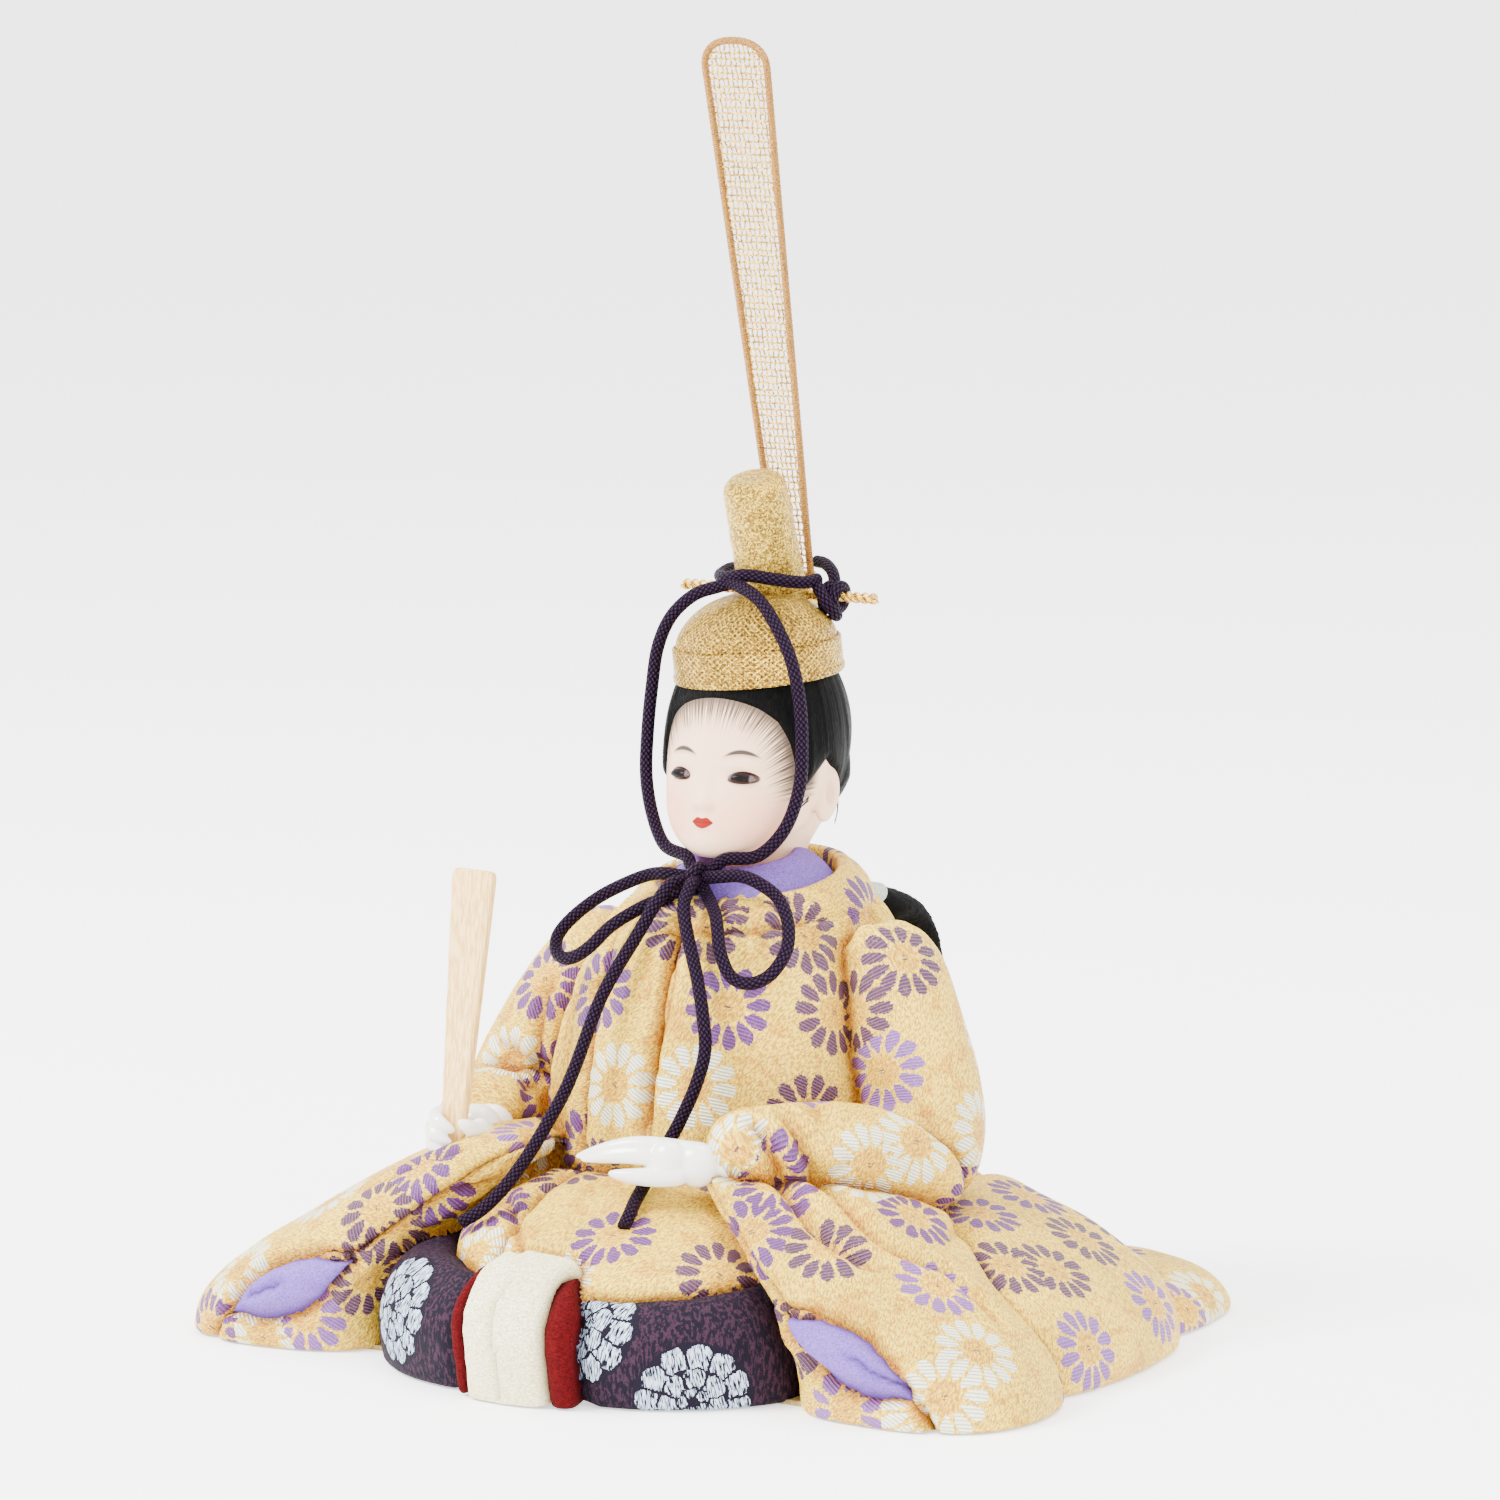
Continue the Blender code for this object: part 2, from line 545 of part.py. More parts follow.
def oval_rings(rows, squareness, sides=OVAL_SIDES):
    """Rings from a table of robe shares."""
    rings = []
    for height, x, y, half_width, front, back in rows:
        centre = robe_place(x, y, height)
        sizes = [share * ROBE_REACH for share in (half_width, front, back)]
        rings.append(oval(centre, *sizes, squareness, sides))
    return rings


def tube_rings(points, radii, sides, upright, flat=None):
    """Rings square to a path. One radius lies towards upright, and flat gives the other."""
    rings = []
    for i, point in enumerate(points):
        ahead = points[min(i + 1, len(points) - 1)] - points[max(i - 1, 0)]
        ahead.normalize()
        side = ahead.cross(upright).normalized()
        over = side.cross(ahead)
        wide = radii[i] if flat is None else flat[i]
        turns = [math.tau * k / sides for k in range(sides)]
        rings.append([
            point + side * math.cos(turn) * wide + over * math.sin(turn) * radii[i] for turn in turns
        ])
    return rings


def soften(item, levels=SOFT_LEVELS):
    """Round a coarse cage. The triangles are the same in a form and in the gap round it."""
    smooth = item.modifiers.new("Soft form", "SUBSURF")
    smooth.levels = levels
    smooth.render_levels = levels
    split = item.modifiers.new("Triangles", "TRIANGULATE")
    split.quad_method = "FIXED"


def grow(item, distance):
    """Move the surface outward by a distance."""
    puff = item.modifiers.new("Grow", "DISPLACE")
    puff.strength = distance
    puff.mid_level = 0.0


def cut(item, cutter, operation="DIFFERENCE", solver="EXACT"):
    tool = item.modifiers.new("Cut", "BOOLEAN")
    tool.operation = operation
    tool.object = cutter
    tool.solver = solver


def curve_points(route, step):
    """Evenly spaced points on a smooth curve through a route's own points."""
    ends = [route[0] * 2 - route[1], *route, route[-1] * 2 - route[-2]]
    dense = []
    fine = range(FINE_STEPS)
    for a, b, c, d in zip(ends, ends[1:], ends[2:], ends[3:]):
        for k in fine:
            t = k / FINE_STEPS
            dense.append(
                (b * 2 + (c - a) * t + (a * 2 - b * 5 + c * 4 - d) * t**2
                 + (b * 3 - a - c * 3 + d) * t**3) / 2
            )
    dense.append(route[-1])
    lengths = [0.0]
    for p, q in zip(dense, dense[1:]):
        lengths.append(lengths[-1] + (q - p).length)
    count = max(2, round(lengths[-1] / step))
    points, k = [], 0
    for i in range(count + 1):
        target = lengths[-1] * i / count
        while k < len(lengths) - 2 and lengths[k + 1] < target:
            k += 1
        span = lengths[k + 1] - lengths[k]
        points.append(dense[k].lerp(dense[k + 1], (target - lengths[k]) / span if span else 0.0))
    return points


class Doll:
    """Holds the two collections and makes the pieces in order."""

    def __init__(self):
        self.parts = new_collection("court_doll")
        self.tools = new_collection("cutters")

    # Making and cutting
    def piece(self, name, mesh, look):
        made = place_in(self.parts, name, mesh)
        made.data.materials.clear()
        made.data.materials.append(material(look))
        return made

    def cutter(self, name, mesh):
        return as_cutter(place_in(self.tools, name, mesh))

    def soft_cutter(self, name, rings, distance=CLEARANCE, levels=SOFT_LEVELS):
        """A neighbour's soft form, grown by the clearance that cloth keeps to it."""
        tool = self.cutter(name, loft_mesh(name, rings))
        soften(tool, levels)
        if distance:
            grow(tool, distance)
        return settle(tool)

    def box(self, name, low, high):
        """A cutter box between two corners."""

        def build(work):
            bmesh.ops.create_cube(work, size=1.0)
            for vertex in work.verts:
                for axis in range(3):
                    vertex.co[axis] = high[axis] if vertex.co[axis] > 0 else low[axis]

        return self.cutter(name, mesh_of(build, name))

    def curtain(self, name, points, drop, thickness=SEAM_WIDTH):
        """A thin wall: a line of points drawn out along drop, for parting two panels."""

        def build(work):
            near = [work.verts.new(point) for point in points]
            far = [work.verts.new(point + drop) for point in points]
            for i in range(len(points) - 1):
                work.faces.new((near[i], near[i + 1], far[i + 1], far[i]))

        wall = self.cutter(name, mesh_of(build, name))
        skin = wall.modifiers.new("Wall", "SOLIDIFY")
        skin.thickness = thickness
        skin.offset = 0.0
        return settle(wall)

    def part_out(self, source, look, names):
        """Split an object into its loose bodies, each named by the seed point that is nearest."""
        mesh = settle(source).data
        work = bmesh.new()
        work.from_mesh(mesh)
        bodies = loose_bodies(work)
        finder = BVHTree.FromBMesh(work)
        for name in names:
            face = finder.find_nearest(robe_place(*PANEL_SEED_SHARES[name]))[2]
            body = next(faces for faces in bodies if face in {f.index for f in faces})
            self.piece(name, mesh_from_faces(work, body, name), look)
        work.free()
        bpy.data.objects.remove(source, do_unlink=True)

    def keep_largest(self, item):
        """Drop crumbs that a cut left beside the piece itself."""
        settle(item)
        work = bmesh.new()
        work.from_mesh(item.data)
        bodies = loose_bodies(work)
        if len(bodies) > 1:
            best = max(bodies, key=volume_of)
            mesh = mesh_from_faces(work, best, item.name)
            mesh.materials.append(item.data.materials[0])
            item.data = mesh
        work.free()
        return item


def loose_bodies(work):
    """The separate bodies of a bmesh, each as a list of its faces."""
    work.faces.ensure_lookup_table()
    seen, bodies = set(), []
    for face in work.faces:
        if face.index in seen:
            continue
        stack, faces = [face], []
        seen.add(face.index)
        while stack:
            here = stack.pop()
            faces.append(here)
            for edge in here.edges:
                for other in edge.link_faces:
                    if other.index not in seen:
                        seen.add(other.index)
                        stack.append(other)
        bodies.append(faces)
    return bodies


def volume_of(faces):
    total = 0.0
    for face in faces:
        a = face.verts[0].co
        for b, c in zip(face.verts[1:], face.verts[2:]):
            total += a.dot(b.co.cross(c.co))
    return abs(total)


def mesh_from_faces(work, faces, name):
    """A mesh of some faces of a bmesh."""
    kept = {face.index for face in faces}
    made = work.copy()
    others = [face for face in made.faces if face.index not in kept]
    bmesh.ops.delete(made, geom=others, context="FACES")
    mesh = bpy.data.meshes.new(name)
    made.to_mesh(mesh)
    made.free()
    return mesh


def sleeve_rings(side):
    """side is 1 for the doll's left sleeve and -1 for its right."""
    rings = []
    for height, plan in SLEEVE_PLAN_SHARES:
        rings.append([robe_place(x * side, y, height) for x, y in plan])
    return rings


def arm_rings(shares):
    points = [robe_place(x, y, z) for x, y, z, _ in shares]
    radii = [radius * ARM_RADIUS for *_, radius in shares]
    return tube_rings(points, radii, ARM_SIDES, Vector((1.0, 0.0, 0.0)))


def head_rings():
    rings = []
    for height, width, front, back in HEAD_ROW_SHARES:
        centre = at(0.0, 0.0, CHIN_HEIGHT + height * HEAD_HEIGHT)
        middle = (back * HEAD_BACK - front * HEAD_FRONT) / 2
        depth = (back * HEAD_BACK + front * HEAD_FRONT) / 2
        centre.y += middle
        rings.append(oval(centre, width * HEAD_HALF_WIDTH, depth, depth, HEAD_SQUARENESS_SHARE,
                          HEAD_SIDES))
    return rings


def ball(doll, name, centre, half_sizes, look=None):
    """A rounded ball of three half sizes, as a cutter or, with a material, as a piece."""

    def build(work):
        bmesh.ops.create_uvsphere(work, u_segments=BALL_SEGMENTS, v_segments=BALL_RINGS, radius=1.0)
        for vertex in work.verts:
            vertex.co = centre + Vector([c * h for c, h in zip(vertex.co, half_sizes)])

    mesh = mesh_of(build, name)
    if look:
        return doll.piece(name, mesh, look)
    return doll.cutter(name, mesh)


def rod_mesh(name, foot, top, radius, sides, top_radius=None):
    """A round rod between two points."""
    end_radius = radius if top_radius is None else top_radius

    def build(work):
        length = (top - foot).length
        bmesh.ops.create_cone(work, cap_ends=True, segments=sides, radius1=radius,
                              radius2=end_radius, depth=length)
        turn = Vector((0.0, 0.0, 1.0)).rotation_difference(top - foot).to_matrix().to_4x4()
        bmesh.ops.transform(work, matrix=Matrix.Translation((foot + top) / 2) @ turn,
                            verts=work.verts[:])

    return mesh_of(build, name)


def turned_mesh(doll, name, profile, steps, closed=False):
    """A turned body from (radius, height) points down its outer side."""

    def build(work):
        points = [work.verts.new((radius, 0.0, height)) for radius, height in profile]
        pairs = list(zip(points, points[1:]))
        if closed:
            pairs.append((points[-1], points[0]))
        for a, b in pairs:
            work.edges.new((a, b))

    mesh = bpy.data.meshes.new(name)
    work = bmesh.new()
    build(work)
    work.to_mesh(mesh)
    work.free()
    lathe = place_in(doll.tools, name + "_profile", mesh)
    screw = lathe.modifiers.new("Turn", "SCREW")
    screw.steps = steps
    screw.render_steps = steps
    screw.use_merge_vertices = True
    screw.merge_threshold = MERGE_DISTANCE
    made = evaluated_mesh(lathe)
    bpy.data.objects.remove(lathe, do_unlink=True)
    return outward(made)


def outward(mesh):
    """Turn a closed mesh's faces to point out."""
    work = bmesh.new()
    work.from_mesh(mesh)
    bmesh.ops.recalc_face_normals(work, faces=work.faces[:])
    work.to_mesh(mesh)
    work.free()
    return mesh


def moved(mesh, matrix):
    mesh.transform(matrix)
    return mesh


def make_core(doll, floor):
    """The carved core that carries every panel, with the hole that takes the neck peg."""
    rings = oval_rings(CORE_ROW_SHARES, CORE_SQUARENESS_SHARE, CORE_SIDES)
    core = doll.piece("body_core", loft_mesh("body_core", rings, True), "composite")
    cut(core, floor)
    hole = doll.cutter("neck_hole", peg_mesh("neck_hole", CLEARANCE, OVERRUN))
    cut(core, hole)
    settle(core)
    gap = doll.cutter("core_gap", loft_mesh("core_gap", rings, True))
    grow(gap, CORE_CLEARANCE)
    return settle(gap)


def core_top():
    return CORE_ROW_SHARES[-1][0] * ROBE_HEIGHT


def peg_mesh(name, clearance, overrun=0.0):
    foot = at(0.0, 0.0, core_top() - PEG_DEPTH - clearance)
    top = at(0.0, 0.0, core_top() + PEG_RISE + overrun)
    return rod_mesh(name, foot, top, PEG_RADIUS + clearance, PEG_SIDES)


def robe_forms():
    return {
        "torso": oval_rings(TORSO_ROW_SHARES, TORSO_SQUARENESS_SHARE),
        "arm_left": arm_rings(LEFT_ARM_SHARES),
        "arm_right": arm_rings(RIGHT_ARM_SHARES),
        "sleeve_left": sleeve_rings(1),
        "sleeve_right": sleeve_rings(-1),
        "band": oval_rings(BAND_ROW_SHARES, BAND_SQUARENESS_SHARE),
        "lap": oval_rings(LAP_ROW_SHARES, LAP_SQUARENESS_SHARE),
        "hakama": oval_rings(HAKAMA_ROW_SHARES, HAKAMA_SQUARENESS_SHARE),
        "skirt": oval_rings(SKIRT_ROW_SHARES, SKIRT_SQUARENESS_SHARE),
        "train": oval_rings(TRAIN_ROW_SHARES, TRAIN_SQUARENESS_SHARE),
    }


def hand_rings(shares):
    points = [robe_place(x, y, z) for x, y, z, _, _ in shares]
    heights = [height * HAND_SIZE for *_, height in shares]
    widths = [width * HAND_SIZE for *_, width, _ in shares]
    return tube_rings(points, heights, HAND_SIDES, Vector((0.0, 0.0, 1.0)), widths)


def shaku_mesh(name, clearance):
    """The sceptre: a flat board, wider at its rounded top."""
    foot = robe_place(*SHAKU_FOOT_SHARES)
    top = foot + Vector((SHAKU_LEAN_SIDE, SHAKU_LEAN_BACK, SHAKU_RISE))
    ahead = (top - foot).normalized()
    side = Vector((1.0, 0.0, 0.0))
    side = (side - ahead * side.dot(ahead)).normalized()
    face = ahead.cross(side)
    rings = []
    steps = ((0.0, -clearance, 1.0), (1.0 - SHAKU_TOP_SHARE, 0.0, 1.0), (1.0, clearance, SHAKU_END_SHARE))
    for share, extra, narrow in steps:
        width = SHAKU_FOOT_WIDTH + (SHAKU_TOP_WIDTH - SHAKU_FOOT_WIDTH) * share
        half = width / 2 * narrow + clearance
        thick = SHAKU_THICKNESS / 2 + clearance
        middle = foot.lerp(top, share) + ahead * extra
        rings.append([middle + side * half * a + face * thick * b
                      for a, b in ((-1, -1), (1, -1), (1, 1), (-1, 1))])
    return loft_mesh(name, rings)


def collar_mesh(doll, name, radius, shares):
    """A standing band round the neck, higher at the back than at the front."""
    outer = [(radius * r, ROBE_HEIGHT * z) for r, z in shares]
    foot = ROBE_HEIGHT * COLLAR_FOOT_SHARE
    profile = outer[::-1] + [(outer[0][0], foot), (outer[-1][0], foot)]
    mesh = turned_mesh(doll, name, profile, COLLAR_SIDES, closed=True)
    pivot = Matrix.Translation((0.0, 0.0, foot))
    tilt = Matrix.Rotation(math.radians(COLLAR_TILT_DEGREES), 4, "X")
    squash = Matrix.Diagonal((COLLAR_SQUASH_SHARE, 1.0, 1.0, 1.0))
    shift = Matrix.Translation(at(0.0, COLLAR_SHIFT_Y, 0.0))
    return moved(mesh, shift @ pivot @ tilt @ squash @ pivot.inverted())


def lining_mesh(name, side, clearance):
    """The lens of lining cloth in a sleeve's mouth."""
    x, y, z = LINING_CENTRE_SHARES
    centre = robe_place(x * side, y, z)
    turn = Matrix.Rotation(math.radians(LINING_TURN_DEGREES * side), 4, "Y")

    def build(work):
        bmesh.ops.create_uvsphere(work, u_segments=LINING_SIDES, v_segments=BALL_RINGS, radius=1.0)
        sizes = (LINING_HALF_LENGTH, LINING_DEPTH, LINING_HALF_HEIGHT)
        for vertex in work.verts:
            vertex.co = Vector([c * (h + clearance) for c, h in zip(vertex.co, sizes)])
        bmesh.ops.transform(work, matrix=Matrix.Translation(centre) @ turn, verts=work.verts[:])

    return mesh_of(build, name)


def robe_wall(doll, name, shares, plane):
    """A seam wall. plane says which way it is drawn out: Y through the front, X across."""
    if plane == "front":
        points = [robe_place(x, WALL_FRONT_SHARE, z) for x, z in shares]
        drop = Vector((0.0, ROBE_REACH * (CHEST_BACK_SEAM_SHARE - WALL_FRONT_SHARE), 0.0))
    elif plane == "side":
        points = [robe_place(-WALL_SIDE_SHARE, y, z) for y, z in shares]
        drop = Vector((ROBE_REACH * WALL_SIDE_SHARE * 2, 0.0, 0.0))
    else:
        points = [robe_place(x, y, WALL_FOOT_SHARE) for x, y in shares]
        drop = Vector((0.0, 0.0, ROBE_HEIGHT * WALL_HEIGHT_SHARE))
    return doll.curtain(name, points, drop)


def make_robe(doll, floor, core_gap):
    """The robe's masses. Each is cut by those before it and parted into its panels."""
    forms = robe_forms()
    gaps = {name: doll.soft_cutter(name + "_gap", rings) for name, rings in forms.items()}
    hands = {
        "left": [doll.soft_cutter("hand_left_gap", hand_rings(LEFT_HAND_SHARES))],
        "right": [
            doll.soft_cutter("fist_gap", hand_rings(FIST_SHARES)),
            doll.cutter("shaku_gap", shaku_mesh("shaku_gap", CLEARANCE)),
        ],
    }
    neck_room = doll.cutter("neck_room", rod_mesh(
        "neck_room", at(0.0, 0.0, core_top() - OVERRUN), at(0.0, 0.0, ROBE_HEIGHT + OVERRUN),
        NECK_RADIUS * NECK_FOOT_SHARE + NECK_GAP, PEG_SIDES))
    gaps["neck_room"] = neck_room
    chest_walls = [robe_wall(doll, f"chest_wall_{i}", shares, "front")
                   for i, shares in enumerate(CHEST_SEAM_SHARES)]
    back_line = [(x, CHEST_BACK_SEAM_SHARE) for x in (-WALL_SIDE_SHARE, WALL_SIDE_SHARE)]
    chest_walls.append(robe_wall(doll, "back_wall", back_line, "plan"))
    lap_wall = robe_wall(doll, "lap_wall", LAP_SEAM_SHARES, "front")
    upright = (WALL_FOOT_SHARE, WALL_HEAD_SHARE)
    band_walls = [robe_wall(doll, f"band_wall_{i}", [(x, z) for z in upright], "front")
                  for i, x in enumerate(BAND_SEAM_SHARES)]
    hakama_wall = robe_wall(doll, "hakama_wall", [(0.0, z) for z in upright], "front")
    elbow_wall = robe_wall(doll, "elbow_wall", ELBOW_SEAM_SHARES, "side")
    level = (-WALL_SIDE_SHARE, WALL_SIDE_SHARE)
    skirt_walls = [robe_wall(doll, f"skirt_wall_{i}", [(x, y) for y in level], "plan")
                   for i, x in enumerate((-SKIRT_SIDE_SHARE, SKIRT_SIDE_SHARE))]

    def mass(name, *cutters, walls=()):
        """A mass cut by its neighbours. The exact solver loses bodies in so long a chain."""
        rough = place_in(doll.parts, name + "_mass", loft_mesh(name, forms[name]))
        soften(rough)
        for cutter in (floor, core_gap, *cutters, *walls):
            cut(rough, cutter, solver="MANIFOLD")
        return rough

    torso = mass("torso", neck_room, walls=chest_walls)
    doll.part_out(torso, "brocade", ("chest_left", "chest_right_inner", "chest_right_middle",
                                     "chest_right_outer", "back_panel"))
    for side, sign in (("left", 1), ("right", -1)):
        arm = mass(f"arm_{side}", gaps["torso"], *hands[side], walls=[elbow_wall])
        doll.part_out(arm, "brocade", (f"upper_arm_{side}", f"forearm_{side}"))
        doll.piece(f"sleeve_lining_{side}", lining_mesh("lining", sign, 0.0), "lavender_crepe")
        lining_gap = doll.cutter(f"lining_gap_{side}", lining_mesh("lining_gap", sign, CLEARANCE))
        wall_shares = [(x * sign, z) for x, z in SLEEVE_STRIP_SHARES]
        strip_wall = robe_wall(doll, f"strip_wall_{side}", wall_shares, "front")
        sleeve = mass(f"sleeve_{side}", gaps["torso"], gaps[f"arm_{side}"], *hands[side],
                      lining_gap, walls=[strip_wall])
        doll.part_out(sleeve, "brocade", (f"sleeve_front_{side}", f"sleeve_outer_{side}"))
    sleeves = (gaps["sleeve_left"], gaps["sleeve_right"])
    arms = (gaps["arm_left"], gaps["arm_right"])
    lap = mass("lap", gaps["torso"], *arms, *sleeves, walls=[lap_wall])
    doll.part_out(lap, "brocade", ("lap_left", "lap_right"))
    band = mass("band", gaps["torso"], gaps["lap"], walls=band_walls)
    doll.part_out(band, "cream_crepe", ("white_band", "red_band_right", "red_band_left"))
    for name in ("red_band_right", "red_band_left"):
        doll.parts.objects[name].data.materials[0] = material("red_twill")
    hakama = mass("hakama", gaps["torso"], gaps["lap"], gaps["band"], *sleeves,
                  walls=[hakama_wall])
    doll.part_out(hakama, "hakama_brocade", ("hakama_right", "hakama_left"))
    around = (gaps["torso"], *arms, *sleeves, gaps["lap"], gaps["hakama"])
    skirt = mass("skirt", *around, walls=skirt_walls)
    doll.part_out(skirt, "brocade", ("skirt_left", "skirt_right", "skirt_back"))
    doll.part_out(mass("train", gaps["torso"], gaps["skirt"]), "brocade", ("train",))
    make_collars(doll, gaps["torso"], gaps)
    make_back_band(doll, gaps)


def make_collars(doll, torso_gap, gaps):
    inner_gap = doll.cutter("inner_collar_gap", collar_mesh(
        doll, "inner_collar_gap", INNER_COLLAR_RADIUS, INNER_COLLAR_SHARES))
    grow(inner_gap, CLEARANCE)
    settle(inner_gap)
    inner = doll.piece("inner_collar", collar_mesh(
        doll, "inner_collar", INNER_COLLAR_RADIUS, INNER_COLLAR_SHARES), "lavender_crepe")
    knot_gap = ball(doll, "knot_gap", at(*KNOT_CENTRE), (KNOT_RADIUS + CLEARANCE,) * 3)
    for tool in (torso_gap, gaps["neck_room"], knot_gap):
        cut(inner, tool)
    doll.keep_largest(inner)
    outer = doll.piece("outer_collar", collar_mesh(
        doll, "outer_collar", OUTER_COLLAR_RADIUS, OUTER_COLLAR_SHARES), "brocade")
    cut(outer, torso_gap)
    cut(outer, gaps["arm_left"])
    cut(outer, gaps["arm_right"])
    cut(outer, inner_gap)
    cut(outer, knot_gap)
    doll.keep_largest(outer)
    outer_gap = doll.cutter("outer_collar_gap", collar_mesh(
        doll, "outer_collar_gap", OUTER_COLLAR_RADIUS, OUTER_COLLAR_SHARES))
    grow(outer_gap, CLEARANCE)
    gaps["outer_collar"] = settle(outer_gap)
    gaps["inner_collar"] = inner_gap


def make_back_band(doll, gaps):
    """The black band on the back, and the small silver plate where it leaves the collar."""
    points = [robe_place(0.0, y, z) for y, z in BACK_BAND_ROUTE_SHARES]
    widths = [BACK_BAND_HALF_WIDTH] * len(points)
    depths = [BACK_BAND_HALF_THICKNESS] * len(points)
    rings = tube_rings(points, widths, BACK_BAND_SIDES, Vector((1.0, 0.0, 0.0)), depths)
    band = doll.piece("back_band", loft_mesh("back_band", rings), "black_crepe")
    soften(band)
    for name in ("torso", "skirt", "train", "outer_collar", "inner_collar"):
        cut(band, gaps[name])
    doll.keep_largest(band)
    band_gap = doll.soft_cutter("back_band_gap", rings)
    centre = robe_place(*PLATE_CENTRE_SHARES)
    half = Vector((PLATE_HALF_WIDTH, PLATE_HALF_DEPTH, PLATE_HALF_HEIGHT))
    plate_box = doll.box("plate_box", centre - half, centre + half)
    plate = doll.piece("belt_plate", plate_box.data.copy(), "silver_brocade")
    bpy.data.objects.remove(plate_box, do_unlink=True)
    for tool in (gaps["torso"], gaps["outer_collar"], gaps["inner_collar"], band_gap):
        cut(plate, tool)
    doll.keep_largest(plate)


def make_base(doll):
    """The paper that closes the underside, cut to the robe's footprint."""
    outline = [(x, y) for x, y in BASE_OUTLINE_SHARES]
    outline += [(-x, y) for x, y in BASE_OUTLINE_SHARES[::-1] if x]
    points = [[(x * ROBE_REACH, y * ROBE_REACH) for x, y in outline]]
    base = flat_outline(doll, "base_cover", points, BASE_THICKNESS, "paper")
    move = Matrix.Translation(at(0.0, 0.0, BASE_THICKNESS / 2))
    base.data.transform(move)


def flat_outline(doll, name, outlines, thickness, look):
    """A flat piece from closed outlines: the first is its edge and the others are holes."""
    curve = bpy.data.curves.new(name + "_outline", "CURVE")
    curve.dimensions = "2D"
    curve.fill_mode = "BOTH"
    curve.extrude = thickness / 2
    for outline in outlines:
        spline = curve.splines.new("POLY")
        spline.points.add(len(outline) - 1)
        for point, (x, y) in zip(spline.points, outline):
            point.co = (x, y, 0.0, 1.0)
        spline.use_cyclic_u = True
    drawn = place_in(doll.tools, name + "_outline", curve)
    mesh = evaluated_mesh(drawn)
    bpy.data.objects.remove(drawn, do_unlink=True)
    work = bmesh.new()
    work.from_mesh(mesh)
    bmesh.ops.remove_doubles(work, verts=work.verts[:], dist=MERGE_DISTANCE)
    bmesh.ops.recalc_face_normals(work, faces=work.faces[:])
    work.to_mesh(mesh)
    work.free()
    return doll.piece(name, mesh, look)


def make_hands(doll):
    """The open left hand with its thumb, and the right fist bored for the sceptre."""
    left = doll.piece("hand_left", loft_mesh("hand_left", hand_rings(LEFT_HAND_SHARES)), "white_gloss")
    soften(left)
    thumb = doll.cutter("thumb", loft_mesh("thumb", hand_rings(THUMB_SHARES)))
    soften(thumb)
    settle(thumb)
    cut(left, thumb, "UNION")
    doll.keep_largest(left)
    fist = doll.piece("hand_right", loft_mesh("hand_right", hand_rings(FIST_SHARES)), "white_gloss")
    soften(fist)
    slot = doll.cutter("shaku_slot", shaku_mesh("shaku_slot", CLEARANCE))
    cut(fist, slot)
    doll.keep_largest(fist)
    doll.piece("shaku", shaku_mesh("shaku", 0.0), "pale_wood")


def crown_place():
    turn = Matrix.Rotation(math.radians(CROWN_TILT_DEGREES), 4, "X")
    roll = Matrix.Rotation(math.radians(CROWN_ROLL_DEGREES), 4, "Y")
    return Matrix.Translation(at(0.0, 0.0, CROWN_HEIGHT)) @ roll @ turn


def cap_profile():
    radius = BRIM_RADIUS * DOME_PROFILE_SHARES[1][1]
    inner = radius * CAP_RADIUS_SHARE
    profile = []
    for height, share in DOME_PROFILE_SHARES[::-1]:
        profile.append((min(share, CAP_RADIUS_SHARE) * radius, height * DOME_HEIGHT))
    profile[-1] = (inner, 0.0)
    profile.append((0.0, 0.0))
    return profile


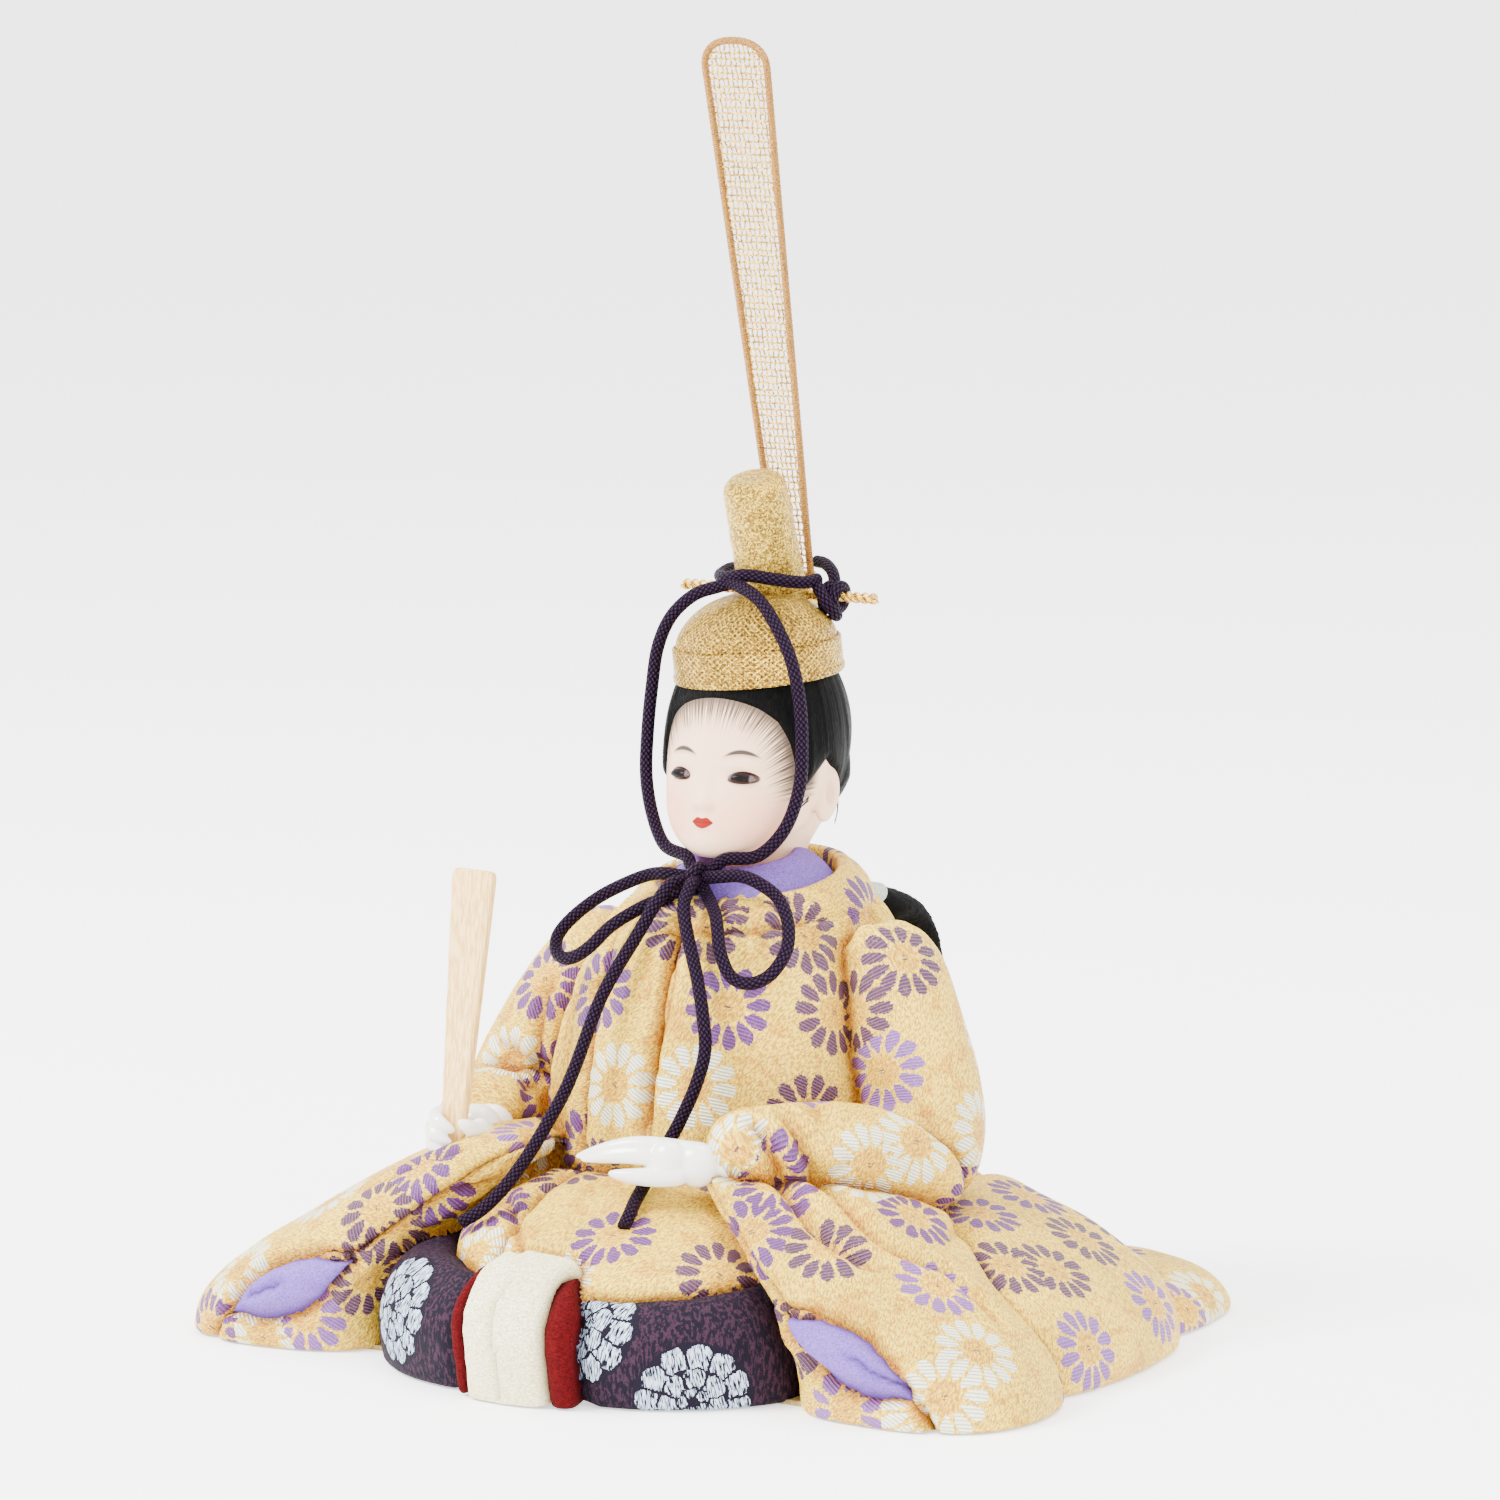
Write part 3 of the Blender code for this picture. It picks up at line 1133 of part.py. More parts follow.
def make_head(doll):
    """Head with its neck and ears, eyes, hair, and the peg that goes into the core."""
    neck_foot = at(0.0, 0.0, core_top() + CLEARANCE)
    neck_top = at(0.0, 0.0, CHIN_HEIGHT + HEAD_HEIGHT * NECK_RISE_SHARE)
    neck = doll.cutter("neck", rod_mesh("neck", neck_foot, neck_top, NECK_RADIUS * NECK_FOOT_SHARE,
                                        NECK_SIDES, NECK_RADIUS))
    head = doll.piece("head", loft_mesh("head", head_rings()), "porcelain_face")
    soften(head)
    cut(head, neck, "UNION")
    ear_gaps = []
    for side in (-1, 1):
        sizes = (EAR_HALF_WIDTH, EAR_HALF_DEPTH, EAR_HALF_HEIGHT)
        centre = at(side * EAR_X, EAR_Y, CHIN_HEIGHT + EAR_HEIGHT)
        cut(head, ball(doll, f"ear_{side}", centre, sizes), "UNION")
        grown = [size + CLEARANCE for size in sizes]
        ear_gaps.append(ball(doll, f"ear_gap_{side}", centre, grown))
    nose = ball(doll, "nose", at(0.0, NOSE_Y, CHIN_HEIGHT + NOSE_HEIGHT), NOSE_HALF_SIZES)
    cut(head, nose, "UNION")
    for side, name in ((-1, "eye_right"), (1, "eye_left")):
        centre = at(side * EYE_SPACING / 2, EYE_Y, CHIN_HEIGHT + EYE_HEIGHT)
        sizes = Vector((EYE_HALF_WIDTH, EYE_HALF_DEPTH, EYE_HALF_HEIGHT))
        ball(doll, name, centre, sizes, "glass_eye")
        room = sizes + Vector((CLEARANCE, CLEARANCE, CLEARANCE))
        cut(head, ball(doll, name + "_socket", centre, room))
    cut(head, doll.cutter("peg_socket", peg_mesh("peg_socket", CLEARANCE)))
    doll.keep_largest(head)
    doll.piece("neck_peg", peg_mesh("neck_peg", 0.0), "pale_wood")
    head_gap = doll.soft_cutter("head_gap", head_rings(), CLEARANCE)
    neck_gap = doll.cutter("neck_gap", neck.data.copy())
    grow(neck_gap, CLEARANCE)
    settle(neck_gap)
    hair = doll.piece("hair", loft_mesh("hair", head_rings()), "silk_hair")
    soften(hair)
    grow(hair, HAIR_THICKNESS + CLEARANCE)
    for tool in (head_gap, neck_gap, *ear_gaps):
        cut(hair, tool)
    cut(hair, hair_side(doll), "INTERSECT")
    brim_room = doll.cutter("brim_room", rod_mesh(
        "brim_room", Vector((0.0, 0.0, -CLEARANCE)), Vector((0.0, 0.0, HEAD_HEIGHT)),
        BRIM_RADIUS * 2, CROWN_SIDES))
    brim_room.data.transform(crown_place())
    cut(hair, brim_room)
    doll.keep_largest(hair)
    return head_gap


def hair_side(doll):
    """A prism across the head whose side outline is the hairline, closed over the crown."""
    line = [(y * HEAD_BACK, CHIN_HEIGHT + z * HEAD_HEIGHT) for y, z in HAIRLINE_SHARES]
    top = CHIN_HEIGHT + HEAD_HEIGHT * HAIR_TOP_SHARE
    line += [(line[-1][0], top), (line[0][0], top)]
    reach = HEAD_HALF_WIDTH * HAIR_REACH_SHARE
    rings = [[at(x, y, z) for y, z in line] for x in (-reach, reach)]
    return doll.cutter("hair_side", loft_mesh("hair_side", rings))


def make_crown(doll, head_gap):
    """Cap, brim band, upright koji, cross pin and the socket for the tall tail."""
    place = crown_place()
    cap = doll.piece("crown_cap", moved(turned_mesh(doll, "crown_cap", cap_profile(), CROWN_SIDES),
                                        place), "gold_leaf")
    cut(cap, head_gap)
    doll.keep_largest(cap)
    cap_gap = doll.cutter("cap_gap", moved(turned_mesh(doll, "cap_gap", cap_profile(), CROWN_SIDES),
                                           place))
    grow(cap_gap, CLEARANCE)
    settle(cap_gap)
    inner = BRIM_RADIUS * CAP_RADIUS_SHARE + CLEARANCE
    ring = ((BRIM_RADIUS - BRIM_ROUND, BRIM_HEIGHT), (BRIM_RADIUS, BRIM_HEIGHT - BRIM_ROUND),
            (BRIM_RADIUS, 0.0), (inner, 0.0), (inner, BRIM_HEIGHT))
    band = turned_mesh(doll, "crown_band", ring, CROWN_SIDES, closed=True)
    brim = doll.piece("crown_band", moved(band, place), "gold_leaf")
    cut(brim, head_gap)
    doll.keep_largest(brim)
    koji_place = koji_matrix()
    koji = doll.piece("koji", moved(turned_mesh(doll, "koji", koji_profile(0.0), TIGHT_SIDES),
                                    koji_place), "gold_leaf")
    cut(koji, cap_gap)
    pin_foot = at(-PIN_LENGTH / 2, PIN_Y, PIN_HEIGHT + PIN_SLOPE / 2)
    pin_top = at(PIN_LENGTH / 2, PIN_Y, PIN_HEIGHT - PIN_SLOPE / 2)
    doll.piece("crown_pin", rod_mesh("crown_pin", pin_foot, pin_top, PIN_RADIUS, PIN_SIDES), "gold_wire")
    pin_gap = doll.cutter("pin_gap", rod_mesh("pin_gap", pin_foot, pin_top, PIN_RADIUS + CLEARANCE,
                                              PIN_SIDES))
    cut(cap, pin_gap)
    doll.keep_largest(cap)
    cut(koji, pin_gap)
    doll.keep_largest(koji)
    koji_gap = doll.cutter("koji_gap", moved(
        turned_mesh(doll, "koji_gap", koji_profile(CLEARANCE), TIGHT_SIDES), koji_place))
    socket = doll.piece("ei_socket", socket_mesh(), "pale_wood")
    cut(socket, cap_gap)
    cut(socket, koji_gap)
    cut(socket, pin_gap)
    stem = doll.cutter("stem_room", stem_room_mesh())
    cut(socket, stem)
    doll.keep_largest(socket)
    knot = ball(doll, "pin_knot", at(*PIN_KNOT_CENTRE),
                (PIN_KNOT_HALF_WIDTH, PIN_KNOT_RADIUS, PIN_KNOT_RADIUS), "aubergine_braid")
    for tool in (pin_gap, koji_gap, cap_gap):
        cut(knot, tool)
    doll.keep_largest(knot)


def koji_matrix():
    lean = Matrix.Rotation(math.radians(KOJI_LEAN_DEGREES), 4, "X")
    return Matrix.Translation(at(0.0, KOJI_Y, KOJI_HEIGHT)) @ lean


def koji_profile(grown):
    """Down the koji's outer side: rounded crown, slightly wider foot, sunk into the cap."""
    top = KOJI_LENGTH + grown
    radius = KOJI_TOP_RADIUS + grown
    profile = []
    for k in range(KOJI_ROUND_STEPS + 1):
        turn = math.pi / 2 * k / KOJI_ROUND_STEPS
        inner = radius - KOJI_ROUND
        profile.append((inner + KOJI_ROUND * math.sin(turn), top - KOJI_ROUND * (1 - math.cos(turn))))
    profile.insert(0, (0.0, top))
    profile += [(KOJI_RADIUS + grown, 0.0), (KOJI_RADIUS + grown, -KOJI_SINK), (0.0, -KOJI_SINK)]
    return profile


def ei_matrix():
    """Stands the tail's flat outline up behind the koji, leaning forward over it."""
    lean = Matrix.Rotation(math.radians(RIGHT_ANGLE_DEGREES + EI_LEAN_DEGREES), 4, "X")
    return Matrix.Translation(at(0.0, EI_Y, EI_BASE_HEIGHT)) @ lean


def ei_half_width(height):
    share = height / EI_LENGTH
    return EI_BASE_HALF_WIDTH + (EI_TOP_HALF_WIDTH - EI_BASE_HALF_WIDTH) * share


def ei_outline(inset, stem):
    """The tail's outline, drawn in by inset, with or without its stem."""
    top = EI_LENGTH - EI_ARCH
    right = [(ei_half_width(EI_FOOT_HEIGHT) - inset, EI_FOOT_HEIGHT + inset)]
    right.append((ei_half_width(top) - inset, top))
    for k in range(1, EI_ARCH_STEPS):
        turn = math.pi / 2 * k / EI_ARCH_STEPS
        across = (EI_TOP_HALF_WIDTH - inset) * math.cos(turn)
        right.append((across, top + (EI_ARCH - inset) * math.sin(turn)))
    left = [(-x, y) for x, y in right[::-1]]
    outline = right + [(0.0, EI_LENGTH - inset)] + left
    if stem:
        outline = [(EI_STEM_HALF_WIDTH, -EI_STEM_LENGTH), (EI_STEM_HALF_WIDTH, 0.0)] + outline
        outline += [(-EI_STEM_HALF_WIDTH, 0.0), (-EI_STEM_HALF_WIDTH, -EI_STEM_LENGTH)]
    return outline


def make_ei(doll):
    """The tall tail: a wrapped wire loop with a stem, and the net that fills it."""
    rim = EI_RIM_RADIUS * 2
    frame = flat_outline(doll, "ei_frame", [ei_outline(0.0, True), ei_outline(rim, False)], rim,
                         "gold_wire")
    net_edge = ei_outline(rim + CLEARANCE, False)
    low, high = EI_FOOT_HEIGHT + rim + CLEARANCE + EI_NET_BORDER, EI_LENGTH - EI_ARCH
    pitch = (high - low) / EI_NET_ROWS
    holes = []
    for row in range(EI_NET_ROWS):
        foot = low + pitch * row + EI_NET_STRAND / 2
        head = low + pitch * (row + 1) - EI_NET_STRAND / 2
        for column in range(EI_NET_COLUMNS):
            corners = []
            for height, order in ((foot, (column, column + 1)), (head, (column + 1, column))):
                half = ei_half_width(height) - rim - CLEARANCE - EI_NET_BORDER
                for edge in order:
                    x = half * (2 * edge / EI_NET_COLUMNS - 1)
                    x += EI_NET_STRAND / 2 * (1 if edge == column else -1)
                    corners.append((x, height))
            holes.append(corners)
    net = flat_outline(doll, "ei_net", [net_edge, *holes], EI_NET_THICKNESS, "gold_net")
    for item in (frame, net):
        item.data.transform(ei_matrix())


def socket_mesh():
    def build(work):
        bmesh.ops.create_cube(work, size=1.0)
        sizes = (SOCKET_HALF_WIDTH * 2, SOCKET_HEIGHT, SOCKET_HALF_DEPTH * 2)
        for vertex in work.verts:
            vertex.co = Vector([c * size for c, size in zip(vertex.co, sizes)])
            vertex.co.y -= SOCKET_HEIGHT / 2 + CLEARANCE
            vertex.co.z -= SOCKET_SHIFT

    mesh = mesh_of(build, "ei_socket")
    mesh.transform(ei_matrix())
    return mesh


def stem_room_mesh():
    def build(work):
        bmesh.ops.create_cube(work, size=1.0)
        room = EI_STEM_CLEARANCE * 2
        sizes = (EI_STEM_HALF_WIDTH * 2 + room, EI_STEM_LENGTH + OVERRUN,
                 EI_RIM_RADIUS * 2 + room)
        for vertex in work.verts:
            vertex.co = Vector([c * size for c, size in zip(vertex.co, sizes)])
            vertex.co.y += OVERRUN / 2 - EI_STEM_LENGTH / 2 - EI_STEM_CLEARANCE

    mesh = mesh_of(build, "stem_room")
    mesh.transform(ei_matrix())
    return mesh


def knot_port(name):
    """Where a cord's end meets the bow knot, face to face, and a point straight out of it."""
    direction = Vector(KNOT_PORT_DIRECTIONS[name]).normalized()
    face = at(*KNOT_CENTRE) + direction * (KNOT_RADIUS + CLEARANCE)
    return face, face + direction * KNOT_LEAD


def cord(doll, name, route, step):
    """A free cord: one tube along a smooth curve through its route's own points."""
    points = curve_points(route, step)
    curve = bpy.data.curves.new(name, "CURVE")
    curve.dimensions = "3D"
    curve.bevel_depth = CORD_RADIUS
    curve.bevel_resolution = CORD_BEVEL_RESOLUTION
    curve.use_fill_caps = True
    spline = curve.splines.new("POLY")
    spline.points.add(len(points) - 1)
    for target, point in zip(spline.points, points):
        target.co = (*point, 1.0)
    made = place_in(doll.parts, name, curve)
    curve.materials.append(material("aubergine_braid"))
    return made


def make_cords(doll):
    """The chin cord: round the koji, down both cheeks, tied in a bow with two tails."""
    ball(doll, "bow_knot", at(*KNOT_CENTRE), (KNOT_RADIUS,) * 3, "aubergine_braid")
    routes = {
        "chin_cord_right": (CHIN_CORD_RIGHT_ROUTE, None, "chin_right", CORD_STEP),
        "chin_cord_left": (CHIN_CORD_LEFT_ROUTE, None, "chin_left", CORD_STEP),
        "crown_cord": (CROWN_CORD_ROUTE, None, None, LOOP_STEP),
        "bow_loop_right": (BOW_LOOP_RIGHT_ROUTE, "loop_right_start", "loop_right_end", LOOP_STEP),
        "bow_loop_left": (BOW_LOOP_LEFT_ROUTE, "loop_left_start", "loop_left_end", LOOP_STEP),
        "cord_tail_right": (TAIL_RIGHT_ROUTE, "tail_right", None, CORD_STEP),
        "cord_tail_left": (TAIL_LEFT_ROUTE, "tail_left", None, CORD_STEP),
    }
    for name, (route, start, end, step) in routes.items():
        points = [at(*point) for point in route]
        if start:
            points = [*knot_port(start), *points]
        if end:
            points = [*points, *knot_port(end)[::-1]]
        cord(doll, name, points, step)


def shade_pieces(doll):
    """Smooth shading with sharp edges kept, on every mesh piece."""
    for item in doll.parts.objects:
        if item.type == "MESH":
            item.data.shade_smooth()
            item.data.set_sharp_from_angle(angle=math.radians(SHARP_DEGREES))


def main():
    clear_scene()
    doll = Doll()
    floor = doll.box("floor_cut", Vector((-BOARD_RADIUS, -BOARD_RADIUS, -BOARD_RADIUS)),
                     Vector((BOARD_RADIUS, BOARD_RADIUS, BASE_THICKNESS + CLEARANCE)))
    core_gap = make_core(doll, floor)
    make_robe(doll, floor, core_gap)
    make_base(doll)
    make_hands(doll)
    head_gap = make_head(doll)
    make_crown(doll, head_gap)
    make_ei(doll)
    make_cords(doll)
    shade_pieces(doll)


if __name__ == "__main__":
    main()
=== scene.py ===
"""Looks of the seated court doll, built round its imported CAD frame.

Lengths in the tables are millimetres, measured from the head's axis on the floor, as in the
part's source. place() moves a point to the frame's origin and to metres.
"""
import json
import math

import bmesh
import bpy
import numpy as np
from mathutils import Matrix, Vector, noise
from mathutils.bvhtree import BVHTree
from mathutils.kdtree import KDTree


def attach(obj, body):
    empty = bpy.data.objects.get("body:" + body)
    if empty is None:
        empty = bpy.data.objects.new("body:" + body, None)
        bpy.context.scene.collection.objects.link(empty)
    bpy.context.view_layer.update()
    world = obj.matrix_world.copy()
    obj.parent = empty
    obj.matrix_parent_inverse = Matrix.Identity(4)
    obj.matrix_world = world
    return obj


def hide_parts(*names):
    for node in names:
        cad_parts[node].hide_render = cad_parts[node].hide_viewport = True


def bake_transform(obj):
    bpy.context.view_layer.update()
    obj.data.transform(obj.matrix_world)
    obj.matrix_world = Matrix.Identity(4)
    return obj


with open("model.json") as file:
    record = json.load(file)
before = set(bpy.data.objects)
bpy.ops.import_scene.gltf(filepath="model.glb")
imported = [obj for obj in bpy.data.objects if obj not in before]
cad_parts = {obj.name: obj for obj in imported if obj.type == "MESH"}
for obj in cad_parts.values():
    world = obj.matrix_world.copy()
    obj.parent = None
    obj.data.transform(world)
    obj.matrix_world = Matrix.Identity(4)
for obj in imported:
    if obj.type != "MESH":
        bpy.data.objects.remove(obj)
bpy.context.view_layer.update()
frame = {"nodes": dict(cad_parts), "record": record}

MM = 0.001
HEAD_AXIS_Y = 11.4


def place(point):
    x, y, z = point
    return Vector((x, y + HEAD_AXIS_Y, z)) * MM


def table_places(points):
    """Points of the frame in the tables' millimetres: place() the other way round."""
    return points / MM - np.array([0.0, HEAD_AXIS_Y, 0.0])


# Camera
def make_camera():
    azimuth, elevation, distance = math.radians(31.5), math.radians(7.4), 1.5
    toward = Vector((math.sin(azimuth) * math.cos(elevation),
                     -math.cos(azimuth) * math.cos(elevation), math.sin(elevation)))
    across = Vector((math.cos(azimuth), math.sin(azimuth), 0.0))
    upward = toward.cross(across)
    aim = place((0.0, 0.0, 125.0)) - across * 1.95 * MM - upward * 5.6 * MM
    data = bpy.data.cameras.new("camera")
    data.sensor_width = 36.0
    data.lens = 174.96
    data.clip_end = 200.0
    camera = bpy.data.objects.new("camera", data)
    camera.matrix_world = Matrix.Translation(aim + toward * distance) @ Matrix(
        (across, upward, toward)).transposed().to_4x4()
    bpy.context.scene.collection.objects.link(camera)
    bpy.context.scene.camera = camera


FLOOR_GLOW = 1.1
SKY = 2.75


def make_stage():
    mesh = bpy.data.meshes.new("floor")
    work = bmesh.new()
    bmesh.ops.create_grid(work, x_segments=1, y_segments=1, size=60.0)
    work.to_mesh(mesh)
    work.free()
    floor = bpy.data.objects.new("floor", mesh)
    bpy.context.scene.collection.objects.link(floor)
    shade = Shader("floor_paper")
    shade.finish(colour=(0.97, 0.97, 0.97), roughness=0.6, specular_ior_level=0.2,
                 emission_color=(1.0, 1.0, 0.995), emission_strength=FLOOR_GLOW)
    mesh.materials.append(shade.material)
    world = bpy.data.worlds.new("studio")
    bpy.context.scene.world = world
    world.use_nodes = True
    background = world.node_tree.nodes["Background"]
    background.inputs["Color"].default_value = (1.0, 1.0, 1.0, 1.0)
    background.inputs["Strength"].default_value = SKY
    lights = (
        ("key", (-0.85, -0.95, 1.35), 0.7, 92.0),
        ("fill", (1.3, -0.7, 0.9), 1.1, 20.0),
        ("top", (0.1, 0.3, 1.6), 0.9, 26.0),
    )
    for name, where, size, power in lights:
        data = bpy.data.lights.new(name, "AREA")
        data.shape = "SQUARE"
        data.size = size
        data.energy = power
        light = bpy.data.objects.new(name, data)
        light.location = where
        aim = Vector((0.0, 0.0, 0.08)) - Vector(where)
        light.rotation_euler = aim.to_track_quat("-Z", "Y").to_euler()
        bpy.context.scene.collection.objects.link(light)


# Materials
class Shader:
    """Writes one node material. Every method gives back a socket to use in the next."""

    def __init__(self, name):
        self.material = bpy.data.materials.new(name)
        self.material.use_nodes = True
        self.tree = self.material.node_tree
        self.surface = self.tree.nodes["Principled BSDF"]

    def node(self, kind, **settings):
        made = self.tree.nodes.new("ShaderNode" + kind)
        for key, value in settings.items():
            setattr(made, key, value)
        return made

    def put(self, socket, value):
        if isinstance(value, bpy.types.NodeSocket):
            self.tree.links.new(value, socket)
        elif value is not None:
            if socket.type == "RGBA" and len(value) == 3:
                value = (*value, 1.0)
            socket.default_value = value

    def math(self, operation, *values):
        made = self.node("Math", operation=operation)
        for socket, value in zip(made.inputs, values):
            self.put(socket, value)
        return made.outputs[0]

    def vector(self, operation, *values):
        made = self.node("VectorMath", operation=operation)
        for socket, value in zip(made.inputs, values):
            self.put(socket, value)
        return made.outputs["Value" if operation == "DOT_PRODUCT" else "Vector"]

    def split(self, vector):
        made = self.node("SeparateXYZ")
        self.put(made.inputs[0], vector)
        return made.outputs

    def join(self, x=0.0, y=0.0, z=0.0):
        made = self.node("CombineXYZ")
        for socket, value in zip(made.inputs, (x, y, z)):
            self.put(socket, value)
        return made.outputs[0]

    def mix(self, share, first, second, kind="MIX"):
        made = self.node("Mix", data_type="RGBA", blend_type=kind)
        self.put(made.inputs[0], share)
        self.put(made.inputs[6], first)
        self.put(made.inputs[7], second)
        return made.outputs[2]

    def step(self, value, low, high, bottom=0.0, top=1.0):
        """A smooth step from bottom at low to top at high."""
        made = self.node("MapRange", interpolation_type="SMOOTHSTEP")
        for socket, setting in zip(made.inputs, (value, low, high, bottom, top)):
            self.put(socket, setting)
        return made.outputs[0]

    def noise(self, where, scale, detail=2.0, rough=0.5, distortion=0.0):
        made = self.node("TexNoise")
        self.put(made.inputs["Vector"], where)
        made.inputs["Scale"].default_value = scale
        made.inputs["Detail"].default_value = detail
        made.inputs["Roughness"].default_value = rough
        made.inputs["Distortion"].default_value = distortion
        return made.outputs[0]

    def node_noise(self, where, scale):
        """Noise as a vector, for nudging a pattern."""
        made = self.node("TexNoise")
        self.put(made.inputs["Vector"], where)
        made.inputs["Scale"].default_value = scale
        return made.outputs["Color"]

    def node_turn(self, where, degrees):
        made = self.node("VectorRotate", rotation_type="Z_AXIS")
        self.put(made.inputs["Vector"], where)
        made.inputs["Angle"].default_value = math.radians(degrees)
        return made.outputs[0]

    def cells(self, where, scale, output="Distance"):
        made = self.node("TexVoronoi")
        self.put(made.inputs["Vector"], where)
        made.inputs["Scale"].default_value = scale
        return made.outputs[output]

    def scaled(self, vector, factor):
        made = self.node("VectorMath", operation="SCALE")
        self.put(made.inputs[0], vector)
        made.inputs["Scale"].default_value = factor
        return made.outputs["Vector"]

    def place(self):
        """The place on the object in millimetres."""
        return self.scaled(self.node("TexCoord").outputs["Object"], 1 / MM)

    def attribute_value(self, name):
        return self.node("Attribute", attribute_name=name).outputs["Fac"]

    def attribute(self, name):
        return self.node("Attribute", attribute_name=name).outputs["Vector"]

    def bump(self, height, distance, strength=1.0):
        made = self.node("Bump")
        made.inputs["Strength"].default_value = strength
        made.inputs["Distance"].default_value = distance
        self.put(made.inputs["Height"], height)
        return made.outputs[0]

    def finish(self, colour=None, roughness=None, metallic=None, normal=None, **more):
        pairs = {"Base Color": colour, "Roughness": roughness, "Metallic": metallic, "Normal": normal}
        pairs.update({key.replace("_", " ").title().replace("Ior", "IOR"): value for key,
                      value in more.items()})
        for key, value in pairs.items():
            if value is not None:
                self.put(self.surface.inputs[key], value)
        return self.material


PETALS = 12
PETAL_MIDDLE = 6.25
PETAL_HALF_LENGTH = 2.55
PETAL_HALF_SHARE = 0.40
DISC_RADIUS = 3.4
FLOWER_RADIUS = 9.2
FLOWER_KINDS = ("lavender", "white", "plum", "purple")
PETAL_COLOURS = {
    "lavender": (0.17, 0.060, 0.35), "white": (0.97, 0.97, 0.72),
    "plum": (0.046, 0.010, 0.082), "purple": (0.082, 0.012, 0.18),
}


def brocade(name):
    """Pale gold brocade with woven chrysanthemums. "cloth" holds flat places on the panel, and
    "flower" holds the place from the middle of the nearest flower, with its kind."""
    shade = Shader(name)
    cloth = shade.scaled(shade.attribute("cloth"), 1 / MM)
    crease = shade.attribute_value("crease")
    flower = shade.scaled(shade.attribute("flower"), 1 / MM)
    kind = shade.split(flower)[2]
    # The pattern steps from thread to thread, and each flower is woven a little uneven
    uneven = shade.scaled(shade.vector("SUBTRACT", shade.node_noise(cloth, 0.9), (0.5, 0.5, 0.5)), 0.9)
    ragged = shade.vector("SNAP", shade.vector("ADD", flower, uneven), (0.20, 0.38, 100.0))
    x, y, _ = shade.split(ragged)
    radius = shade.math("SQRT", shade.math("ADD", shade.math("MULTIPLY", x, x), shade.math("MULTIPLY", y, y)))
    turn = shade.math("ADD", shade.math("ARCTAN2", y, x), kind)
    share = shade.math("FRACT", shade.math("MULTIPLY", turn, PETALS / math.tau))
    across = shade.math("DIVIDE", shade.math("SUBTRACT", share, 0.5), PETAL_HALF_SHARE)
    along = shade.math("DIVIDE", shade.math("SUBTRACT", radius, PETAL_MIDDLE), PETAL_HALF_LENGTH)
    outside = shade.math("ADD", shade.math("MULTIPLY", across, across), shade.math("MULTIPLY", along, along))
    real = shade.math("GREATER_THAN", kind, 0.5)
    petal = shade.math("MULTIPLY", shade.math("LESS_THAN", outside, 1.0), real)
    disc = shade.math("MULTIPLY", shade.math("LESS_THAN", radius, DISC_RADIUS), real)
    body = shade.math("MULTIPLY", shade.math("LESS_THAN", radius, FLOWER_RADIUS), real)
    light, gold, deep = (0.97, 0.62, 0.05), (0.84, 0.44, 0.025), (0.26, 0.10, 0.010)
    leaf = shade.noise(shade.vector("SNAP", cloth, (0.22, 0.42, 1.0)), 0.095, 1.0, 0.6, 1.8)
    leafy = shade.math("MULTIPLY", shade.step(leaf, 0.57, 0.59), shade.math("SUBTRACT", 1.0, body))
    colour = shade.mix(leafy, light, gold)
    lines = shade.math("SINE", shade.math("MULTIPLY", shade.vector("DOT_PRODUCT", cloth, (0.35, 1.0, 0.0)),
                                          8.2))
    lined = shade.step(lines, 0.30, 0.75)
    for number, which in enumerate(FLOWER_KINDS, 1):
        gap = {"plum": 0.16, "white": 0.6, "purple": 0.12, "lavender": 0.2}[which]
        under = gold if which != "white" else (0.16, 0.10, 0.086)
        woven = shade.mix(shade.math("MULTIPLY", lined, gap), PETAL_COLOURS[which], under)
        mine = shade.math("MULTIPLY", petal, shade.math("COMPARE", kind, float(number), 0.4))
        colour = shade.mix(mine, colour, woven)
    colour = shade.mix(disc, colour, gold)
    speck = shade.math("MULTIPLY", shade.math("LESS_THAN", radius, 0.62), disc)
    colour = shade.mix(shade.math("MULTIPLY", speck, shade.math("GREATER_THAN", lines, 0.0)), colour,
                       (0.072, 0.028, 0.070))
    # Short slanting threads: pale ones over the gold between them. Their pale tops are partly painted
    # highlight, and the gaps between them are darkened with painted shade
    slant = shade.vector("MULTIPLY", shade.node_turn(cloth, 38.0), (2.6, 1.0, 1.0))
    thread = shade.noise(slant, 1.0, 2.0, 0.65, 0.5)
    fine = shade.noise(shade.vector("MULTIPLY", cloth, (2.1, 5.6, 1.0)), 1.0, 1.0, 0.6)
    ground = shade.math("SUBTRACT", 1.0, shade.math("MULTIPLY", petal, 0.8))
    low = shade.math("MULTIPLY", shade.step(thread, 0.53, 0.43), ground)
    colour = shade.mix(shade.math("MULTIPLY", low, 0.62), colour, deep)
    pale = shade.math("MULTIPLY", shade.step(thread, 0.56, 0.66), ground)
    colour = shade.mix(shade.math("MULTIPLY", pale, 0.5), colour, (0.97, 0.97, 0.069))
    tone = shade.step(shade.noise(cloth, 0.05, 1.0), 0.35, 0.65, 0.90, 1.05)
    tone = shade.math("MULTIPLY", tone, shade.step(fine, 0.3, 0.7, 0.90, 1.06))
    colour = shade.mix(1.0, colour, shade.join(tone, tone, tone), "MULTIPLY")
